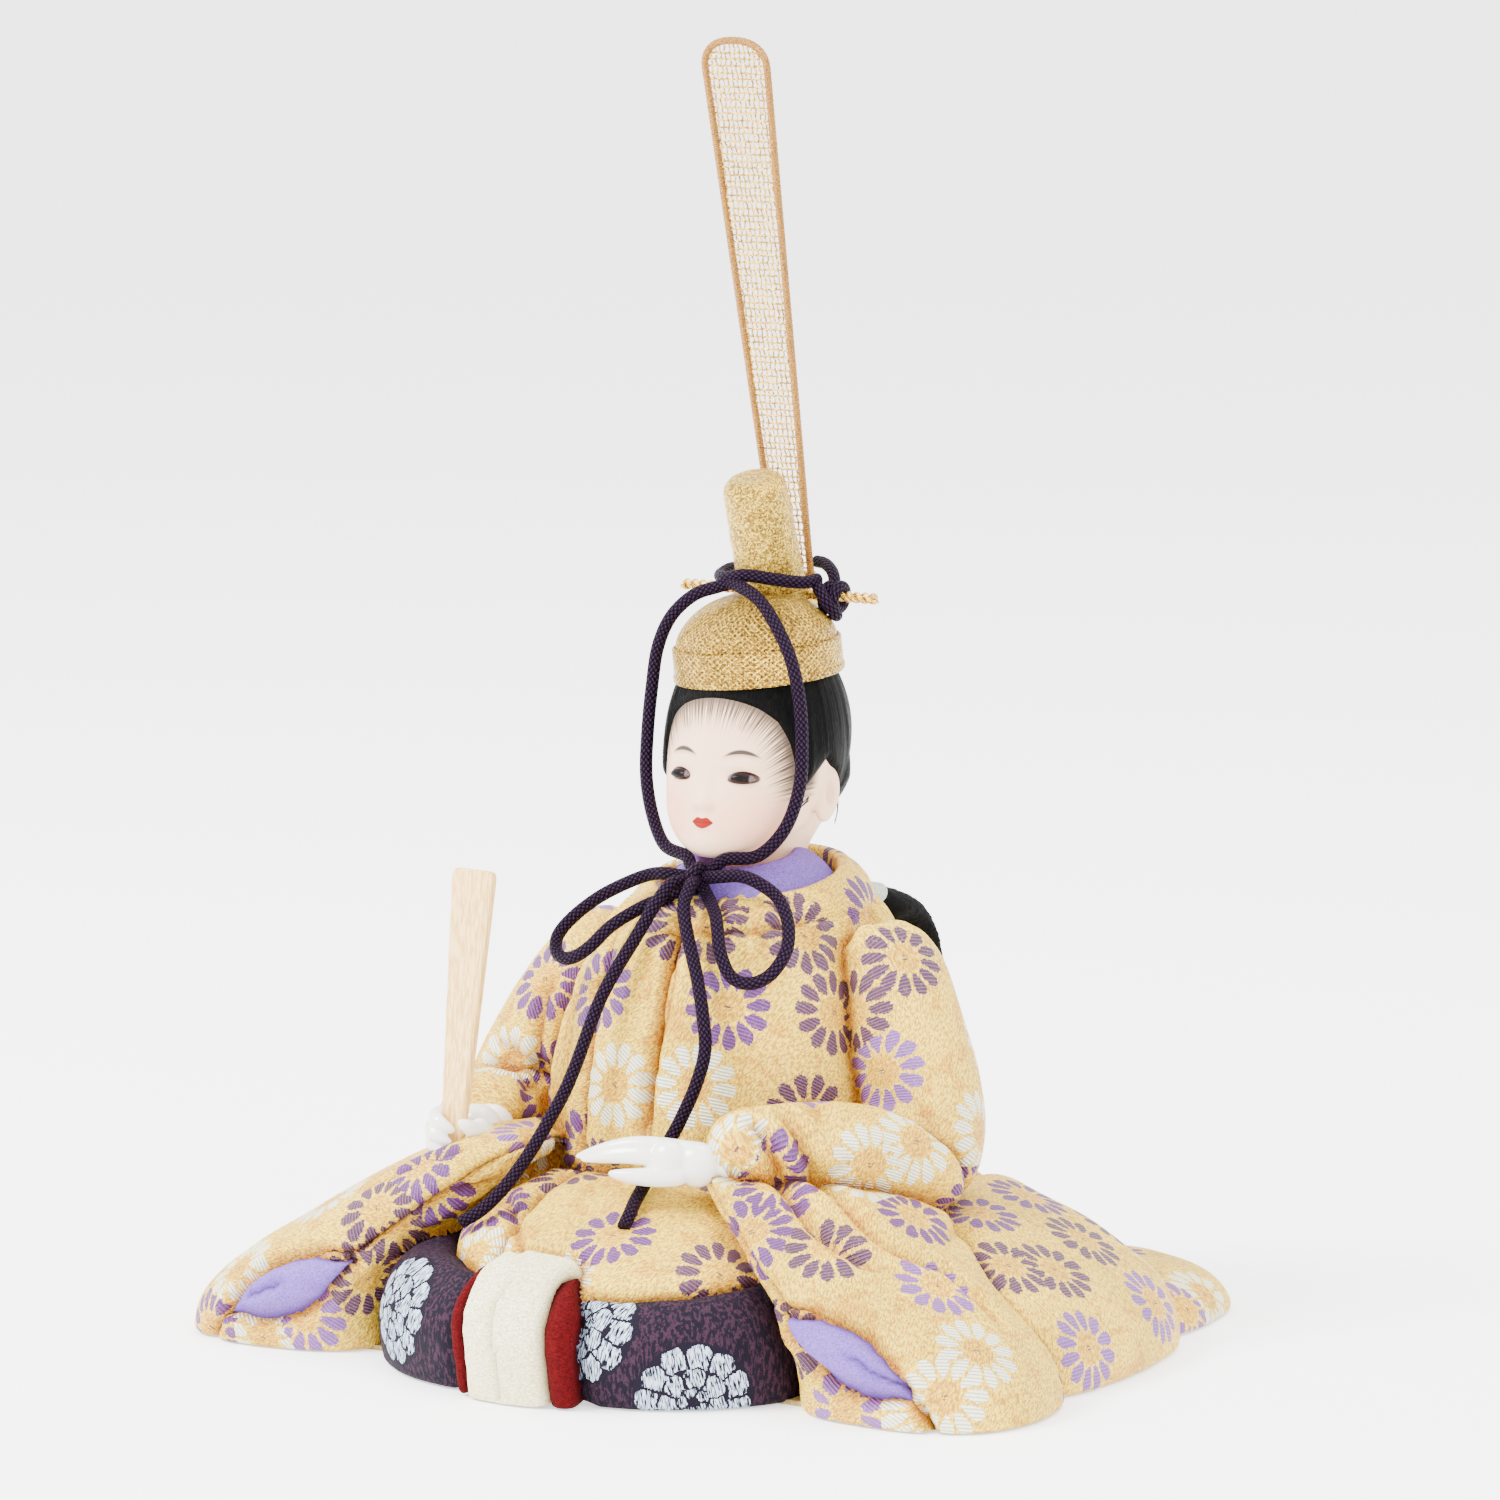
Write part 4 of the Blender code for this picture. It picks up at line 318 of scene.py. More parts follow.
    # Painted shade: the cloth is made orange and dark where it is drawn into a seam or a fold
    colour = shade.mix(crease, colour, (0.50, 0.27, 0.12), "MULTIPLY")
    raised = shade.math("ADD", shade.math("MULTIPLY", shade.math("MAXIMUM", petal, leafy), 0.35),
                        shade.math("MULTIPLY", shade.math("MULTIPLY", lines, petal), 0.2))
    height = shade.math("ADD", raised, shade.math("MULTIPLY", shade.math("MULTIPLY", thread, ground), 1.2))
    height = shade.math("ADD", height, shade.math("MULTIPLY", fine, 0.3))
    return shade.finish(colour=colour, roughness=0.48, normal=shade.bump(height, 0.0006, 1.0),
                        specular_ior_level=0.3)


def crepe(name, colour, shadow, scale=1.6, depth=0.00018, roughness=0.8, gloss=0.15):
    """Plain woven or crinkled cloth of two near tones. The darker tone is painted shade in the crinkles'
    hollows and in the seams and folds, and it also mottles the cloth at random.
    """
    shade = Shader(name)
    where = shade.place()
    fine = shade.noise(shade.vector("MULTIPLY", where, (1.0, 1.0, 1.7)), scale, 3.0, 0.65, 0.8)
    broad = shade.noise(where, 0.12, 2.0)
    mixed = shade.mix(shade.step(fine, 0.35, 0.65), shadow, colour)
    mixed = shade.mix(shade.step(broad, 0.3, 0.7, 0.0, 0.25), mixed, shadow)
    # Painted shade where the cloth is drawn into a seam or a fold
    crease = shade.attribute_value("crease")
    mixed = shade.mix(shade.math("MULTIPLY", crease, 0.8), mixed, shadow)
    mixed = shade.mix(crease, mixed, (0.62, 0.58, 0.62), "MULTIPLY")
    return shade.finish(colour=mixed, roughness=roughness, normal=shade.bump(fine, depth, 0.9),
                        specular_ior_level=gloss)


# Meshes
def add_object(name, mesh, material=None, smooth=True):
    made = bpy.data.objects.new(name, mesh)
    bpy.context.scene.collection.objects.link(made)
    if material:
        mesh.materials.clear()
        mesh.materials.append(material)
    if smooth:
        mesh.shade_smooth()
    return made


def mesh_from(name, points, faces):
    mesh = bpy.data.meshes.new(name)
    mesh.from_pydata([tuple(p) for p in points], [], [tuple(int(i) for i in f) for f in faces])
    mesh.validate()
    return mesh


def baked(item, remove=True):
    """The object's mesh with its modifiers applied."""
    bpy.context.view_layer.update()
    mesh = bpy.data.meshes.new_from_object(item.evaluated_get(bpy.context.evaluated_depsgraph_get()))
    if remove:
        bpy.data.objects.remove(item, do_unlink=True)
    return mesh


def loft(name, rings, levels=0):
    """A closed body through rings of equally many points, rounded by subdivision."""
    count = len(rings[0])
    points = [p for ring in rings for p in ring]
    faces = []
    for r in range(len(rings) - 1):
        for i in range(count):
            j = (i + 1) % count
            faces.append((r * count + i, r * count + j, (r + 1) * count + j, (r + 1) * count + i))
    faces.append(range(count)[::-1])
    faces.append(range((len(rings) - 1) * count, len(rings) * count))
    item = add_object(name, mesh_from(name, points, faces))
    if levels:
        soft = item.modifiers.new("soft", "SUBSURF")
        soft.levels = soft.render_levels = levels
        item.data = baked_mesh(item)
    return item


def baked_mesh(item):
    mesh = baked(item, remove=False)
    item.modifiers.clear()
    mesh.shade_smooth()
    return mesh


def oval(centre, half_width, front, back, squareness, sides):
    points = []
    for i in range(sides):
        angle = math.tau * i / sides
        c, s = math.cos(angle), math.sin(angle)
        across = math.copysign(abs(c) ** squareness, c) * half_width
        along = math.copysign(abs(s) ** squareness, s) * (back if s > 0 else front)
        points.append(place((centre[0] + across, centre[1] + along, centre[2])))
    return points


def oval_rings(rows, squareness, sides=12):
    """Rows are height, middle x, middle y, half width, front depth, back depth."""
    return [oval((x, y, height), half, front, back, squareness, sides)
            for height, x, y, half, front, back in rows]


def tube_rings(points, radii, sides, upright, flat=None):
    """Rings square to a path. One radius lies towards upright, and flat gives the other."""
    rings = []
    for i, point in enumerate(points):
        ahead = (points[min(i + 1, len(points) - 1)] - points[max(i - 1, 0)]).normalized()
        side = ahead.cross(upright).normalized()
        over = side.cross(ahead)
        wide = radii[i] if flat is None else flat[i]
        turns = [math.tau * k / sides for k in range(sides)]
        rings.append([point + side * math.cos(t) * wide + over * math.sin(t) * radii[i] for t in turns])
    return rings


def smooth_route(route, step):
    """Evenly spaced points on a smooth curve through a route's own points."""
    ends = [route[0] * 2 - route[1], *route, route[-1] * 2 - route[-2]]
    dense = []
    for a, b, c, d in zip(ends, ends[1:], ends[2:], ends[3:]):
        for k in range(12):
            t = k / 12
            dense.append((b * 2 + (c - a) * t + (a * 2 - b * 5 + c * 4 - d) * t**2
                          + (b * 3 - a - c * 3 + d) * t**3) / 2)
    dense.append(route[-1])
    lengths = [0.0]
    for p, q in zip(dense, dense[1:]):
        lengths.append(lengths[-1] + (q - p).length)
    count = max(2, round(lengths[-1] / step))
    points, k = [], 0
    for i in range(count + 1):
        target = lengths[-1] * i / count
        while k < len(lengths) - 2 and lengths[k + 1] < target:
            k += 1
        span = lengths[k + 1] - lengths[k]
        points.append(dense[k].lerp(dense[k + 1], (target - lengths[k]) / span if span else 0.0))
    return points


# Robe: the same masses as in the part's source
TORSO_ROWS = (
    (-15, 0, -5, 44, 40, 38), (28, 0, -5, 44, 42, 39), (47, 0, -5, 42, 41.5, 38.5),
    (62, 0, -5, 38.5, 39, 37), (76, 0, -4, 34.5, 36, 34), (86, 0, -3, 28.5, 32.5, 29),
    (92.5, 0, -2, 20, 23.5, 22),
)
SKIRT_ROWS = (
    (-12, 0, -17, 95, 47, 57), (5, 0, -17, 96, 47, 58), (12.5, 0, -17, 92, 45, 57),
    (19, 0, -17, 84, 42, 53), (25, 0, -16, 74, 39, 47), (30, 0, -14, 61, 36, 42),
    (34.5, 0, -11, 46, 32, 36),
)
TRAIN_ROWS = (
    (-12, 0, 30, 85, 30, 47), (3, 0, 30, 86, 30, 47.5), (8, 0, 29, 80, 28, 43),
    (12, 0, 28, 68, 24, 33),
)
LAP_ROWS = (
    (10, 3, -40, 42, 46, 20), (17, 3, -40, 45.5, 52.5, 20), (23, 3, -40, 44, 49.5, 20),
    (29, 3, -40, 39, 39, 20), (35, 3, -40, 33, 24, 20), (38, 3, -40, 25, 14, 16),
)
HAKAMA_ROWS = (
    (-12, 0, -43, 53, 48, 20), (5, 0, -43, 54.5, 52.5, 20), (13, 0, -43, 54.5, 54.5, 20),
    (20, 0, -43, 52, 50, 20), (27, 0, -43, 47, 40, 18),
)
BAND_ROWS = (
    (-12, 0.9, -70, 15.6, 25, 30), (6, 0.9, -70, 15.8, 28.5, 30), (15, 0.9, -70, 15.8, 30, 30),
    (19.5, 0.6, -70, 15.2, 28.5, 30), (24, -1.0, -70, 11.5, 25, 30), (28.5, -1.0, -70, 11.0, 19, 30),
)
SLEEVE_PLANS = (
    (-12, ((51, -74), (69, -77), (88, -77), (99, -64), (97, -38), (78, -22), (54, -28), (47, -50))),
    (4, ((51, -74), (69, -78), (88, -78), (99.5, -65), (97.5, -38), (78, -22), (54, -28),
          (47, -50))),
    (10, ((50, -74.5), (67, -78), (84, -78), (96, -64), (94, -38), (77, -21), (54, -27),
          (46, -50))),
    (19, ((46, -74), (60, -77), (73, -76), (84, -61), (83, -36), (70, -20), (50, -26), (41, -48))),
    (29, ((37, -71), (48, -73.5), (58, -71), (68, -55), (68, -33), (60, -18), (44, -24),
          (32, -46))),
    (39, ((24, -64), (32, -66.5), (40, -63.5), (51, -49), (54, -31), (49, -17), (36, -22),
          (21, -42))),
    (45.5, ((17, -58), (23, -60), (29, -57.5), (38, -46), (44, -31), (41, -20), (31, -22),
          (18, -40))),
)
LEFT_ARM = (
    (24, -1, 82.5, 12.16), (30.5, -3, 75, 14.74), (37.5, -7, 61, 15.2), (44, -10, 47, 15.5),
    (47.5, -17, 38.5, 15.2), (43.5, -29, 41, 13.68), (36.5, -42, 44.5, 11.55),
    (30.5, -50.5, 45.5, 10.34), (22.5, -57.5, 45.7, 8.2),
)
RIGHT_ARM = (
    (-24, -4, 81, 10.94), (-32.5, -7, 72, 14.44), (-39.5, -11, 60, 15.2), (-45.5, -15, 47, 14.9),
    (-47.5, -21, 40, 13.98), (-45.5, -31, 42, 12.16), (-43.5, -38, 43.5, 10.34),
    (-42.5, -42, 44, 8.51),
)
LINING_CENTRE = (65.5, -74.5, 13.5)
LINING_TURN = 22.0
LINING_HALF_SIZES = (16.5, 5.6, 6.2)
LINING_LENS = (17.5, 6.6)
LINING_RECESS = 1.5
BAND_EDGES = (-10.4, 9.6)

MASSES = {
    "torso": ("chest_left", "chest_right_inner", "chest_right_middle", "chest_right_outer", "back_panel"),
    "arm_left": ("upper_arm_left", "forearm_left"),
    "arm_right": ("upper_arm_right", "forearm_right"),
    "sleeve_left": ("sleeve_front_left", "sleeve_outer_left"),
    "sleeve_right": ("sleeve_front_right", "sleeve_outer_right"),
    "lining_left": ("sleeve_lining_left",),
    "lining_right": ("sleeve_lining_right",),
    "band": ("white_band", "red_band_right", "red_band_left"),
    "lap": ("lap_left", "lap_right"),
    "hakama": ("hakama_right", "hakama_left"),
    "skirt": ("skirt_left", "skirt_right", "skirt_back"),
    "train": ("train",),
}
VOXEL = 0.85 * MM
FLOOR_CUT = 0.3 * MM


def sleeve_rings(side):
    return [[place((x * side, y, height)) for x, y in plan] for height, plan in SLEEVE_PLANS]


def arm_rings(rows):
    points = [place(row[:3]) for row in rows]
    radii = [row[3] * MM for row in rows]
    return tube_rings(points, radii, 9, Vector((1.0, 0.0, 0.0)))


def lining_form(side):
    x, y, z = LINING_CENTRE
    turn = Matrix.Rotation(math.radians(LINING_TURN * side), 4, "Y")
    work = bmesh.new()
    bmesh.ops.create_uvsphere(work, u_segments=32, v_segments=20, radius=1.0)
    for vertex in work.verts:
        vertex.co = Vector([c * h * MM for c, h in zip(vertex.co, LINING_HALF_SIZES)])
    bmesh.ops.transform(work, matrix=Matrix.Translation(place((x * side, y, z))) @ turn, verts=work.verts[:])
    mesh = bpy.data.meshes.new("lining")
    work.to_mesh(mesh)
    work.free()
    return add_object("lining_form", mesh)


def mass_forms():
    oval_kinds = {"torso": (TORSO_ROWS, 0.9), "band": (BAND_ROWS, 0.3), "lap": (LAP_ROWS, 0.8),
                  "hakama": (HAKAMA_ROWS, 0.85), "skirt": (SKIRT_ROWS, 0.42), "train": (TRAIN_ROWS, 0.42)}
    forms = {name: loft(name, oval_rings(*kind), 3) for name, kind in oval_kinds.items()}
    for side, sign, rows in (("left", 1, LEFT_ARM), ("right", -1, RIGHT_ARM)):
        forms["arm_" + side] = loft("arm_" + side, arm_rings(rows), 3)
        forms["sleeve_" + side] = loft("sleeve_" + side, sleeve_rings(sign), 3)
        forms["lining_" + side] = lining_form(sign)
    return forms


def tree_of(meshes):
    """One search tree of several meshes, with the mesh each face is from."""
    points, faces, owner = [], [], []
    for k, mesh in enumerate(meshes):
        start = len(points)
        points += [v.co.copy() for v in mesh.vertices]
        faces += [[start + i for i in f.vertices] for f in mesh.polygons]
        owner += [k] * len(mesh.polygons)
    return BVHTree.FromPolygons(points, faces), owner


def read_mesh(mesh):
    points = np.empty(len(mesh.vertices) * 3)
    mesh.vertices.foreach_get("co", points)
    quads = np.array([tuple(f.vertices) for f in mesh.polygons if len(f.vertices) == 4])
    return points.reshape(-1, 3), quads


def edges_of(quads):
    pairs = np.concatenate([quads[:, [0, 1]], quads[:, [1, 2]], quads[:, [2, 3]], quads[:, [3, 0]]])
    return np.unique(np.sort(pairs, axis=1), axis=0)


def averaged(values, edges, count):
    """Each point's mean over its neighbours."""
    total = np.zeros((count, values.shape[1]))
    number = np.bincount(edges.ravel(), minlength=count)
    for axis in range(values.shape[1]):
        total[:, axis] = (np.bincount(edges[:, 0], values[edges[:, 1], axis], count)
                          + np.bincount(edges[:, 1], values[edges[:, 0], axis], count))
    return np.where(number[:, None] > 0, total / np.maximum(number, 1)[:, None], values)


def normals_of(points, quads):
    across = np.cross(points[quads[:, 2]] - points[quads[:, 0]], points[quads[:, 3]] - points[quads[:, 1]])
    out = np.zeros_like(points)
    for axis in range(3):
        for corner in range(4):
            out[:, axis] += np.bincount(quads[:, corner], across[:, axis], len(points))
    return out / np.maximum(np.linalg.norm(out, axis=1), 1e-12)[:, None]


def unite(forms):
    """The masses as one skin: joined, remeshed, smoothed, and open at the floor."""
    work = bmesh.new()
    for item in forms.values():
        work.from_mesh(item.data)
    mesh = bpy.data.meshes.new("skin")
    work.to_mesh(mesh)
    work.free()
    skin = add_object("skin", mesh)
    remesh = skin.modifiers.new("remesh", "REMESH")
    remesh.mode = "VOXEL"
    remesh.voxel_size = VOXEL
    points, quads = read_mesh(baked(skin))
    low = points[quads][:, :, 2].max(axis=1) < FLOOR_CUT
    quads = quads[~low]
    points, quads = compact(points, quads)
    edges = edges_of(quads)
    for _ in range(7):
        points = points * 0.4 + averaged(points, edges, len(points)) * 0.6
    points[:, 2] = np.maximum(points[:, 2], FLOOR_CUT)
    return points, quads, edges


def compact(points, quads):
    used = np.unique(quads)
    new = np.full(len(points), -1)
    new[used] = np.arange(len(used))
    return points[used], new[quads]


def label_faces(points, quads, forms):
    """The CAD panel that each face of the skin belongs to: first its mass, then the panel."""
    middles = points[quads].mean(axis=1)
    names, best, panel = [], np.full(len(quads), 1.0), np.zeros(len(quads), int)
    for mass, members in MASSES.items():
        form = tree_of([forms[mass].data])[0]
        start = len(names)
        names += members
        tree, owner = tree_of([frame["nodes"][n].data for n in members])
        for k, middle in enumerate(middles):
            hit = form.find_nearest(middle, 6 * MM)
            if hit[0] is None or hit[3] >= best[k]:
                continue
            found = tree.find_nearest(middle, 12 * MM)
            if found[0] is None:
                continue
            best[k] = hit[3]
            panel[k] = start + owner[found[2]]
    return names, panel


def face_neighbours(quads):
    sides = np.concatenate([quads[:, [0, 1]], quads[:, [1, 2]], quads[:, [2, 3]], quads[:, [3, 0]]])
    sides = np.sort(sides, axis=1)
    owner = np.tile(np.arange(len(quads)), 4)
    order = np.lexsort((sides[:, 1], sides[:, 0]))
    sides, owner = sides[order], owner[order]
    same = (sides[1:] == sides[:-1]).all(axis=1)
    return np.stack([owner[:-1][same], owner[1:][same]], axis=1), sides[1:][same]


def mark_openings(points, quads, names, panel):
    """Parts the pointed openings that show the linings, and the three bands, by their own outlines."""
    middles = table_places(points[quads].mean(axis=1))
    cx, cy, cz = LINING_CENTRE
    half_length, half_height = LINING_LENS
    for side, ending in ((1, "left"), (-1, "right")):
        lining = names.index("sleeve_lining_" + ending)
        front = names.index("sleeve_front_" + ending)
        dx, dz = middles[:, 0] * side - cx, middles[:, 2] - cz
        c, s = math.cos(math.radians(LINING_TURN)), math.sin(math.radians(LINING_TURN))
        along, across = dx * c - dz * s, dx * s + dz * c
        lens = half_height * np.clip(1 - (along / half_length) ** 2, 0, 1)
        inside = (np.abs(across) < lens) & (middles[:, 1] < cy + 6.0)
        panel[(panel == lining) & ~inside] = front
        panel[inside & (middles[:, 0] * side > 30)] = lining
    bands = [names.index(n) for n in ("red_band_right", "white_band", "red_band_left")]
    banded = np.isin(panel, bands)
    panel[banded] = np.array(bands)[np.digitize(middles[banded, 0], BAND_EDGES)]
    return panel


def clean_labels(panel, pairs, rounds=6):
    """Each face takes the commonest panel among itself and its neighbours."""
    for _ in range(rounds):
        votes = np.zeros((len(panel), panel.max() + 1))
        votes[np.arange(len(panel)), panel] += 1.5
        np.add.at(votes, (pairs[:, 0], panel[pairs[:, 1]]), 1)
        np.add.at(votes, (pairs[:, 1], panel[pairs[:, 0]]), 1)
        panel = votes.argmax(axis=1)
    return panel


def smooth_seams(points, quads, edges, panel, pairs, shared):
    """Evens the seams' zigzag along the skin and gives the seams' points."""
    seam = shared[panel[pairs[:, 0]] != panel[pairs[:, 1]]]
    count = len(points)
    degree = np.bincount(seam.ravel(), minlength=count)
    on_seam = degree > 0
    free = degree == 2
    skin = BVHTree.FromPolygons([tuple(p) for p in points], [tuple(q) for q in quads])
    for _ in range(14):
        mean = averaged(points, seam, count)
        points = np.where(free[:, None], points * 0.5 + mean * 0.5, points)
    inner = edges[~(on_seam[edges[:, 0]] & on_seam[edges[:, 1]])]
    near = on_seam.copy()
    for _ in range(3):
        grown = near.copy()
        grown[edges[near[edges[:, 0]], 1]] = True
        grown[edges[near[edges[:, 1]], 0]] = True
        near = grown
    move = near & ~on_seam
    for _ in range(5):
        mean = averaged(points, edges, count)
        points = np.where(move[:, None], points * 0.5 + mean * 0.5, points)
    for k in np.nonzero(near)[0]:
        hit = skin.find_nearest(Vector(points[k]))[0]
        points[k] = hit
    return points, seam


def line_field(points, line):
    """Distance of every point to a line of points, and how far along it the nearest place is."""
    best = np.full(len(points), 1.0)
    share = np.zeros(len(points))
    line = [np.array(p) for p in line]
    total = sum(np.linalg.norm(b - a) for a, b in zip(line, line[1:]))
    run = 0.0
    for a, b in zip(line, line[1:]):
        span = b - a
        length = np.linalg.norm(span)
        t = np.clip((points - a) @ span / length**2, 0, 1)
        away = np.linalg.norm(points - (a + t[:, None] * span), axis=1)
        closer = away < best
        best = np.where(closer, away, best)
        share = np.where(closer, (run + t * length) / total, share)
        run += length
    return best, share


# Folds pressed into the cloth: points, half width, depth (negative stands out), fades at
# the start and the end as shares of the length.
FOLDS = (
    # left sleeve: two long draped folds, a fine one at the hem and the hem's own corner
    (((33, -55, 53), (38, -55, 44), (47, -60, 37), (55, -63, 32), (64, -62, 28), (70, -56, 26)), 1.5, 2.8,
     0.0, 0.3),
    (((37, -50, 53), (43, -50, 44), (48, -50, 39), (57, -53, 34), (64, -54, 30), (71, -49, 26), (76, -48, 23),
      (84, -49, 18), (90, -52, 13)), 1.5, 2.6, 0.0, 0.3),
    (((34, -67, 36), (40, -70, 30), (45, -71, 25), (49, -74, 23)), 0.9, 1.2, 0.2, 0.3),
    (((65, -81, 17), (70, -81, 14), (75, -80, 11), (80, -76, 9)), 0.9, 1.5, 0.4, 0.0),
    (((81, -76, 9), (84, -76, 4), (85, -75, 1)), 0.8, 1.6, 0.2, 0.0),
    # right sleeve
    (((-28, -59, 36), (-34, -66, 33), (-39, -68, 29), (-47, -68, 25)), 1.4, 2.0, 0.0, 0.5),
    (((-63, -82, 16), (-68, -82, 14), (-76, -80, 11)), 0.9, 1.4, 0.4, 0.0),
    (((-33, -60, 41), (-42, -61, 37), (-52, -63, 31), (-60, -63, 28)), 1.3, 1.6, 0.0, 0.5),
    # laps
    (((-24, -58, 33), (-13, -72, 30), (-3, -86, 27)), 1.0, 1.6, 0.1, 0.2),
    (((0, -94, 24), (-1, -97, 20), (-1, -98, 14), (0, -97, 2)), 0.5, 0.8, 0.0, 0.0),
    # chest, with gathers under the collar
    (((1, -34, 85), (2, -39, 72), (0, -43, 59), (-1, -44, 46)), 1.1, 1.6, 0.0, 0.0),
    (((-31, -19, 75), (-28, -29, 65), (-29, -30, 56)), 1.1, 1.4, 0.2, 0.0),
    (((-37, -20, 72), (-38, -24, 62), (-38, -25, 54)), 1.2, 1.6, 0.2, 0.0),
    (((-6, -33, 85), (3, -32, 86), (11, -30, 86), (18, -25, 87), (22, -16, 88), (24, -6, 88)), 1.0, 1.6, 0.1,
     0.0),
    (((9, -32, 86), (10, -35, 81), (10, -36, 76)), 1.5, 1.0, 0.0, 0.8),
    (((17, -27, 87), (19, -29, 81), (21, -31, 74)), 1.6, 1.0, 0.0, 0.8),
    (((23, -16, 87), (26, -21, 82), (26, -25, 76)), 1.6, 0.9, 0.0, 0.8),
    (((-8, -33, 86), (-9, -35, 79), (-9, -37, 73)), 1.5, 0.9, 0.0, 0.8),
    # arms
    (((49, -21, 54), (55, -22, 50), (58, -22, 45)), 2.0, 1.2, 0.3, 0.6),
    (((45, -48, 42), (47, -45, 44), (49, -41, 47)), 1.6, 1.0, 0.0, 0.7),
    (((36, -38, 53), (41, -45, 53), (45, -46, 49)), 1.8, 1.1, 0.3, 0.6),
    (((-35, -24, 52), (-39, -29, 49), (-36, -37, 45)), 1.4, 1.2, 0.2, 0.5),
    (((-50, -22, 58), (-45, -26, 57), (-40, -26, 55), (-36, -24, 53)), 1.2, 1.4, 0.3, 0.0),
    (((-41, -17, 58), (-47, -24, 52), (-52, -26, 47)), 1.8, 0.9, 0.3, 0.6),
    (((61, -20, 30), (66, -35, 30), (69, -48, 28)), 2.0, 0.9, 0.2, 0.7),
    # sides and back
    (((-52, 12, 31), (-66, 4, 26), (-80, -6, 18)), 2.2, 0.8, 0.3, 0.6),
    (((18, 30, 34), (30, 42, 29), (44, 52, 20)), 2.2, 0.8, 0.3, 0.6),
)
SEAM_DEPTH = 2.6 * MM
SEAM_REACH = 1.1 * MM
CREASE_SHADE_REACH = 0.75 * MM
HEM_RADIUS = 1.3 * MM


def away_from(points, marked):
    """Each point's distance to the nearest of some marked points."""
    tree = KDTree(len(marked))
    for k, i in enumerate(marked):
        tree.insert(points[i], k)
    tree.balance()
    return np.array([tree.find(p)[2] for p in points])


def dress(points, quads, seam, panel, names):
    """Seams drawn in, panels plumped up, folds, puckers and a hem that rolls under. Gives the points, and how
    much painted shade each point gets for lying in a seam or a fold."""
    normal = normals_of(points, quads)
    away = away_from(points, np.unique(seam))
    pucker = np.array([noise.noise(Vector(p) * 420) for p in points])
    swell = np.array([noise.noise(Vector(p) * 95 + Vector((3.1, 0, 0))) for p in points])
    shift = -SEAM_DEPTH * np.exp(-away / SEAM_REACH) + 0.75 * MM * (1 - np.exp(-away / (5 * MM)))
    shift += pucker * 0.22 * MM * np.exp(-away / (5 * MM)) + swell * 0.34 * MM
    # Painted shade: how much each point is darkened near a seam
    crease = np.exp(-(away / CREASE_SHADE_REACH) ** 2) * 0.92
    linings = [names.index("sleeve_lining_" + side) for side in ("left", "right")]
    lined = np.zeros(len(points), bool)
    lined[np.unique(quads[np.isin(panel, linings)])] = True
    outer = np.zeros(len(points), bool)
    outer[np.unique(quads[~np.isin(panel, linings)])] = True
    gap = away_from(points, np.nonzero(lined & outer)[0])
    shift -= np.where(lined & ~outer, LINING_RECESS * MM * (1 - np.exp(-gap / (0.8 * MM))), 0.0)
    shift += np.where(~lined, 1.1 * MM * np.exp(-((gap - 1.8 * MM) / (1.3 * MM)) ** 2), 0.0)
    everywhere = KDTree(len(points))
    for k, p in enumerate(points):
        everywhere.insert(p, k)
    everywhere.balance()
    for line, width, depth, start, end in FOLDS:
        route = smooth_route([place(p) for p in line], 1.5 * MM)
        d, share = line_field(points, [everywhere.find(p)[0] for p in route])
        fade = np.ones(len(points))
        if start:
            fade *= np.clip(share / start, 0, 1)
        if end:
            fade *= np.clip((1 - share) / end, 0, 1)
        fade = fade * fade * (3 - 2 * fade)
        w = width * MM
        shape = np.exp(-np.abs(d / w) ** 1.3) - 0.28 * np.exp(-((d - 2.3 * w) / (1.1 * w)) ** 2)
        shift -= depth * MM * fade * shape
        # Painted shade in the folds too
        crease = np.maximum(crease, 0.8 * min(1.0, depth / 1.6) * fade * np.exp(-(d / (0.62 * w)) ** 2))
    angle = np.arctan2(points[:, 0], HEAD_AXIS_Y * MM - points[:, 1])
    gather = np.array([noise.noise(Vector((a * 9, 0.0, z * 25))) for a, z in zip(angle, points[:, 2])])
    shift += gather * 1.6 * MM * np.clip((points[:, 2] - 70 * MM) / (18 * MM), 0, 1) ** 1.5
    points = points + normal * shift[:, None]
    lift = np.clip(1 - (points[:, 2] - FLOOR_CUT) / HEM_RADIUS, 0, 1)
    flat = normal.copy()
    flat[:, 2] = 0
    points -= flat * (HEM_RADIUS * (1 - np.sqrt(np.clip(1 - lift**2, 0, 1))) * 0.8)[:, None]
    points[:, 2] = np.maximum(points[:, 2], FLOOR_CUT)
    return points, crease


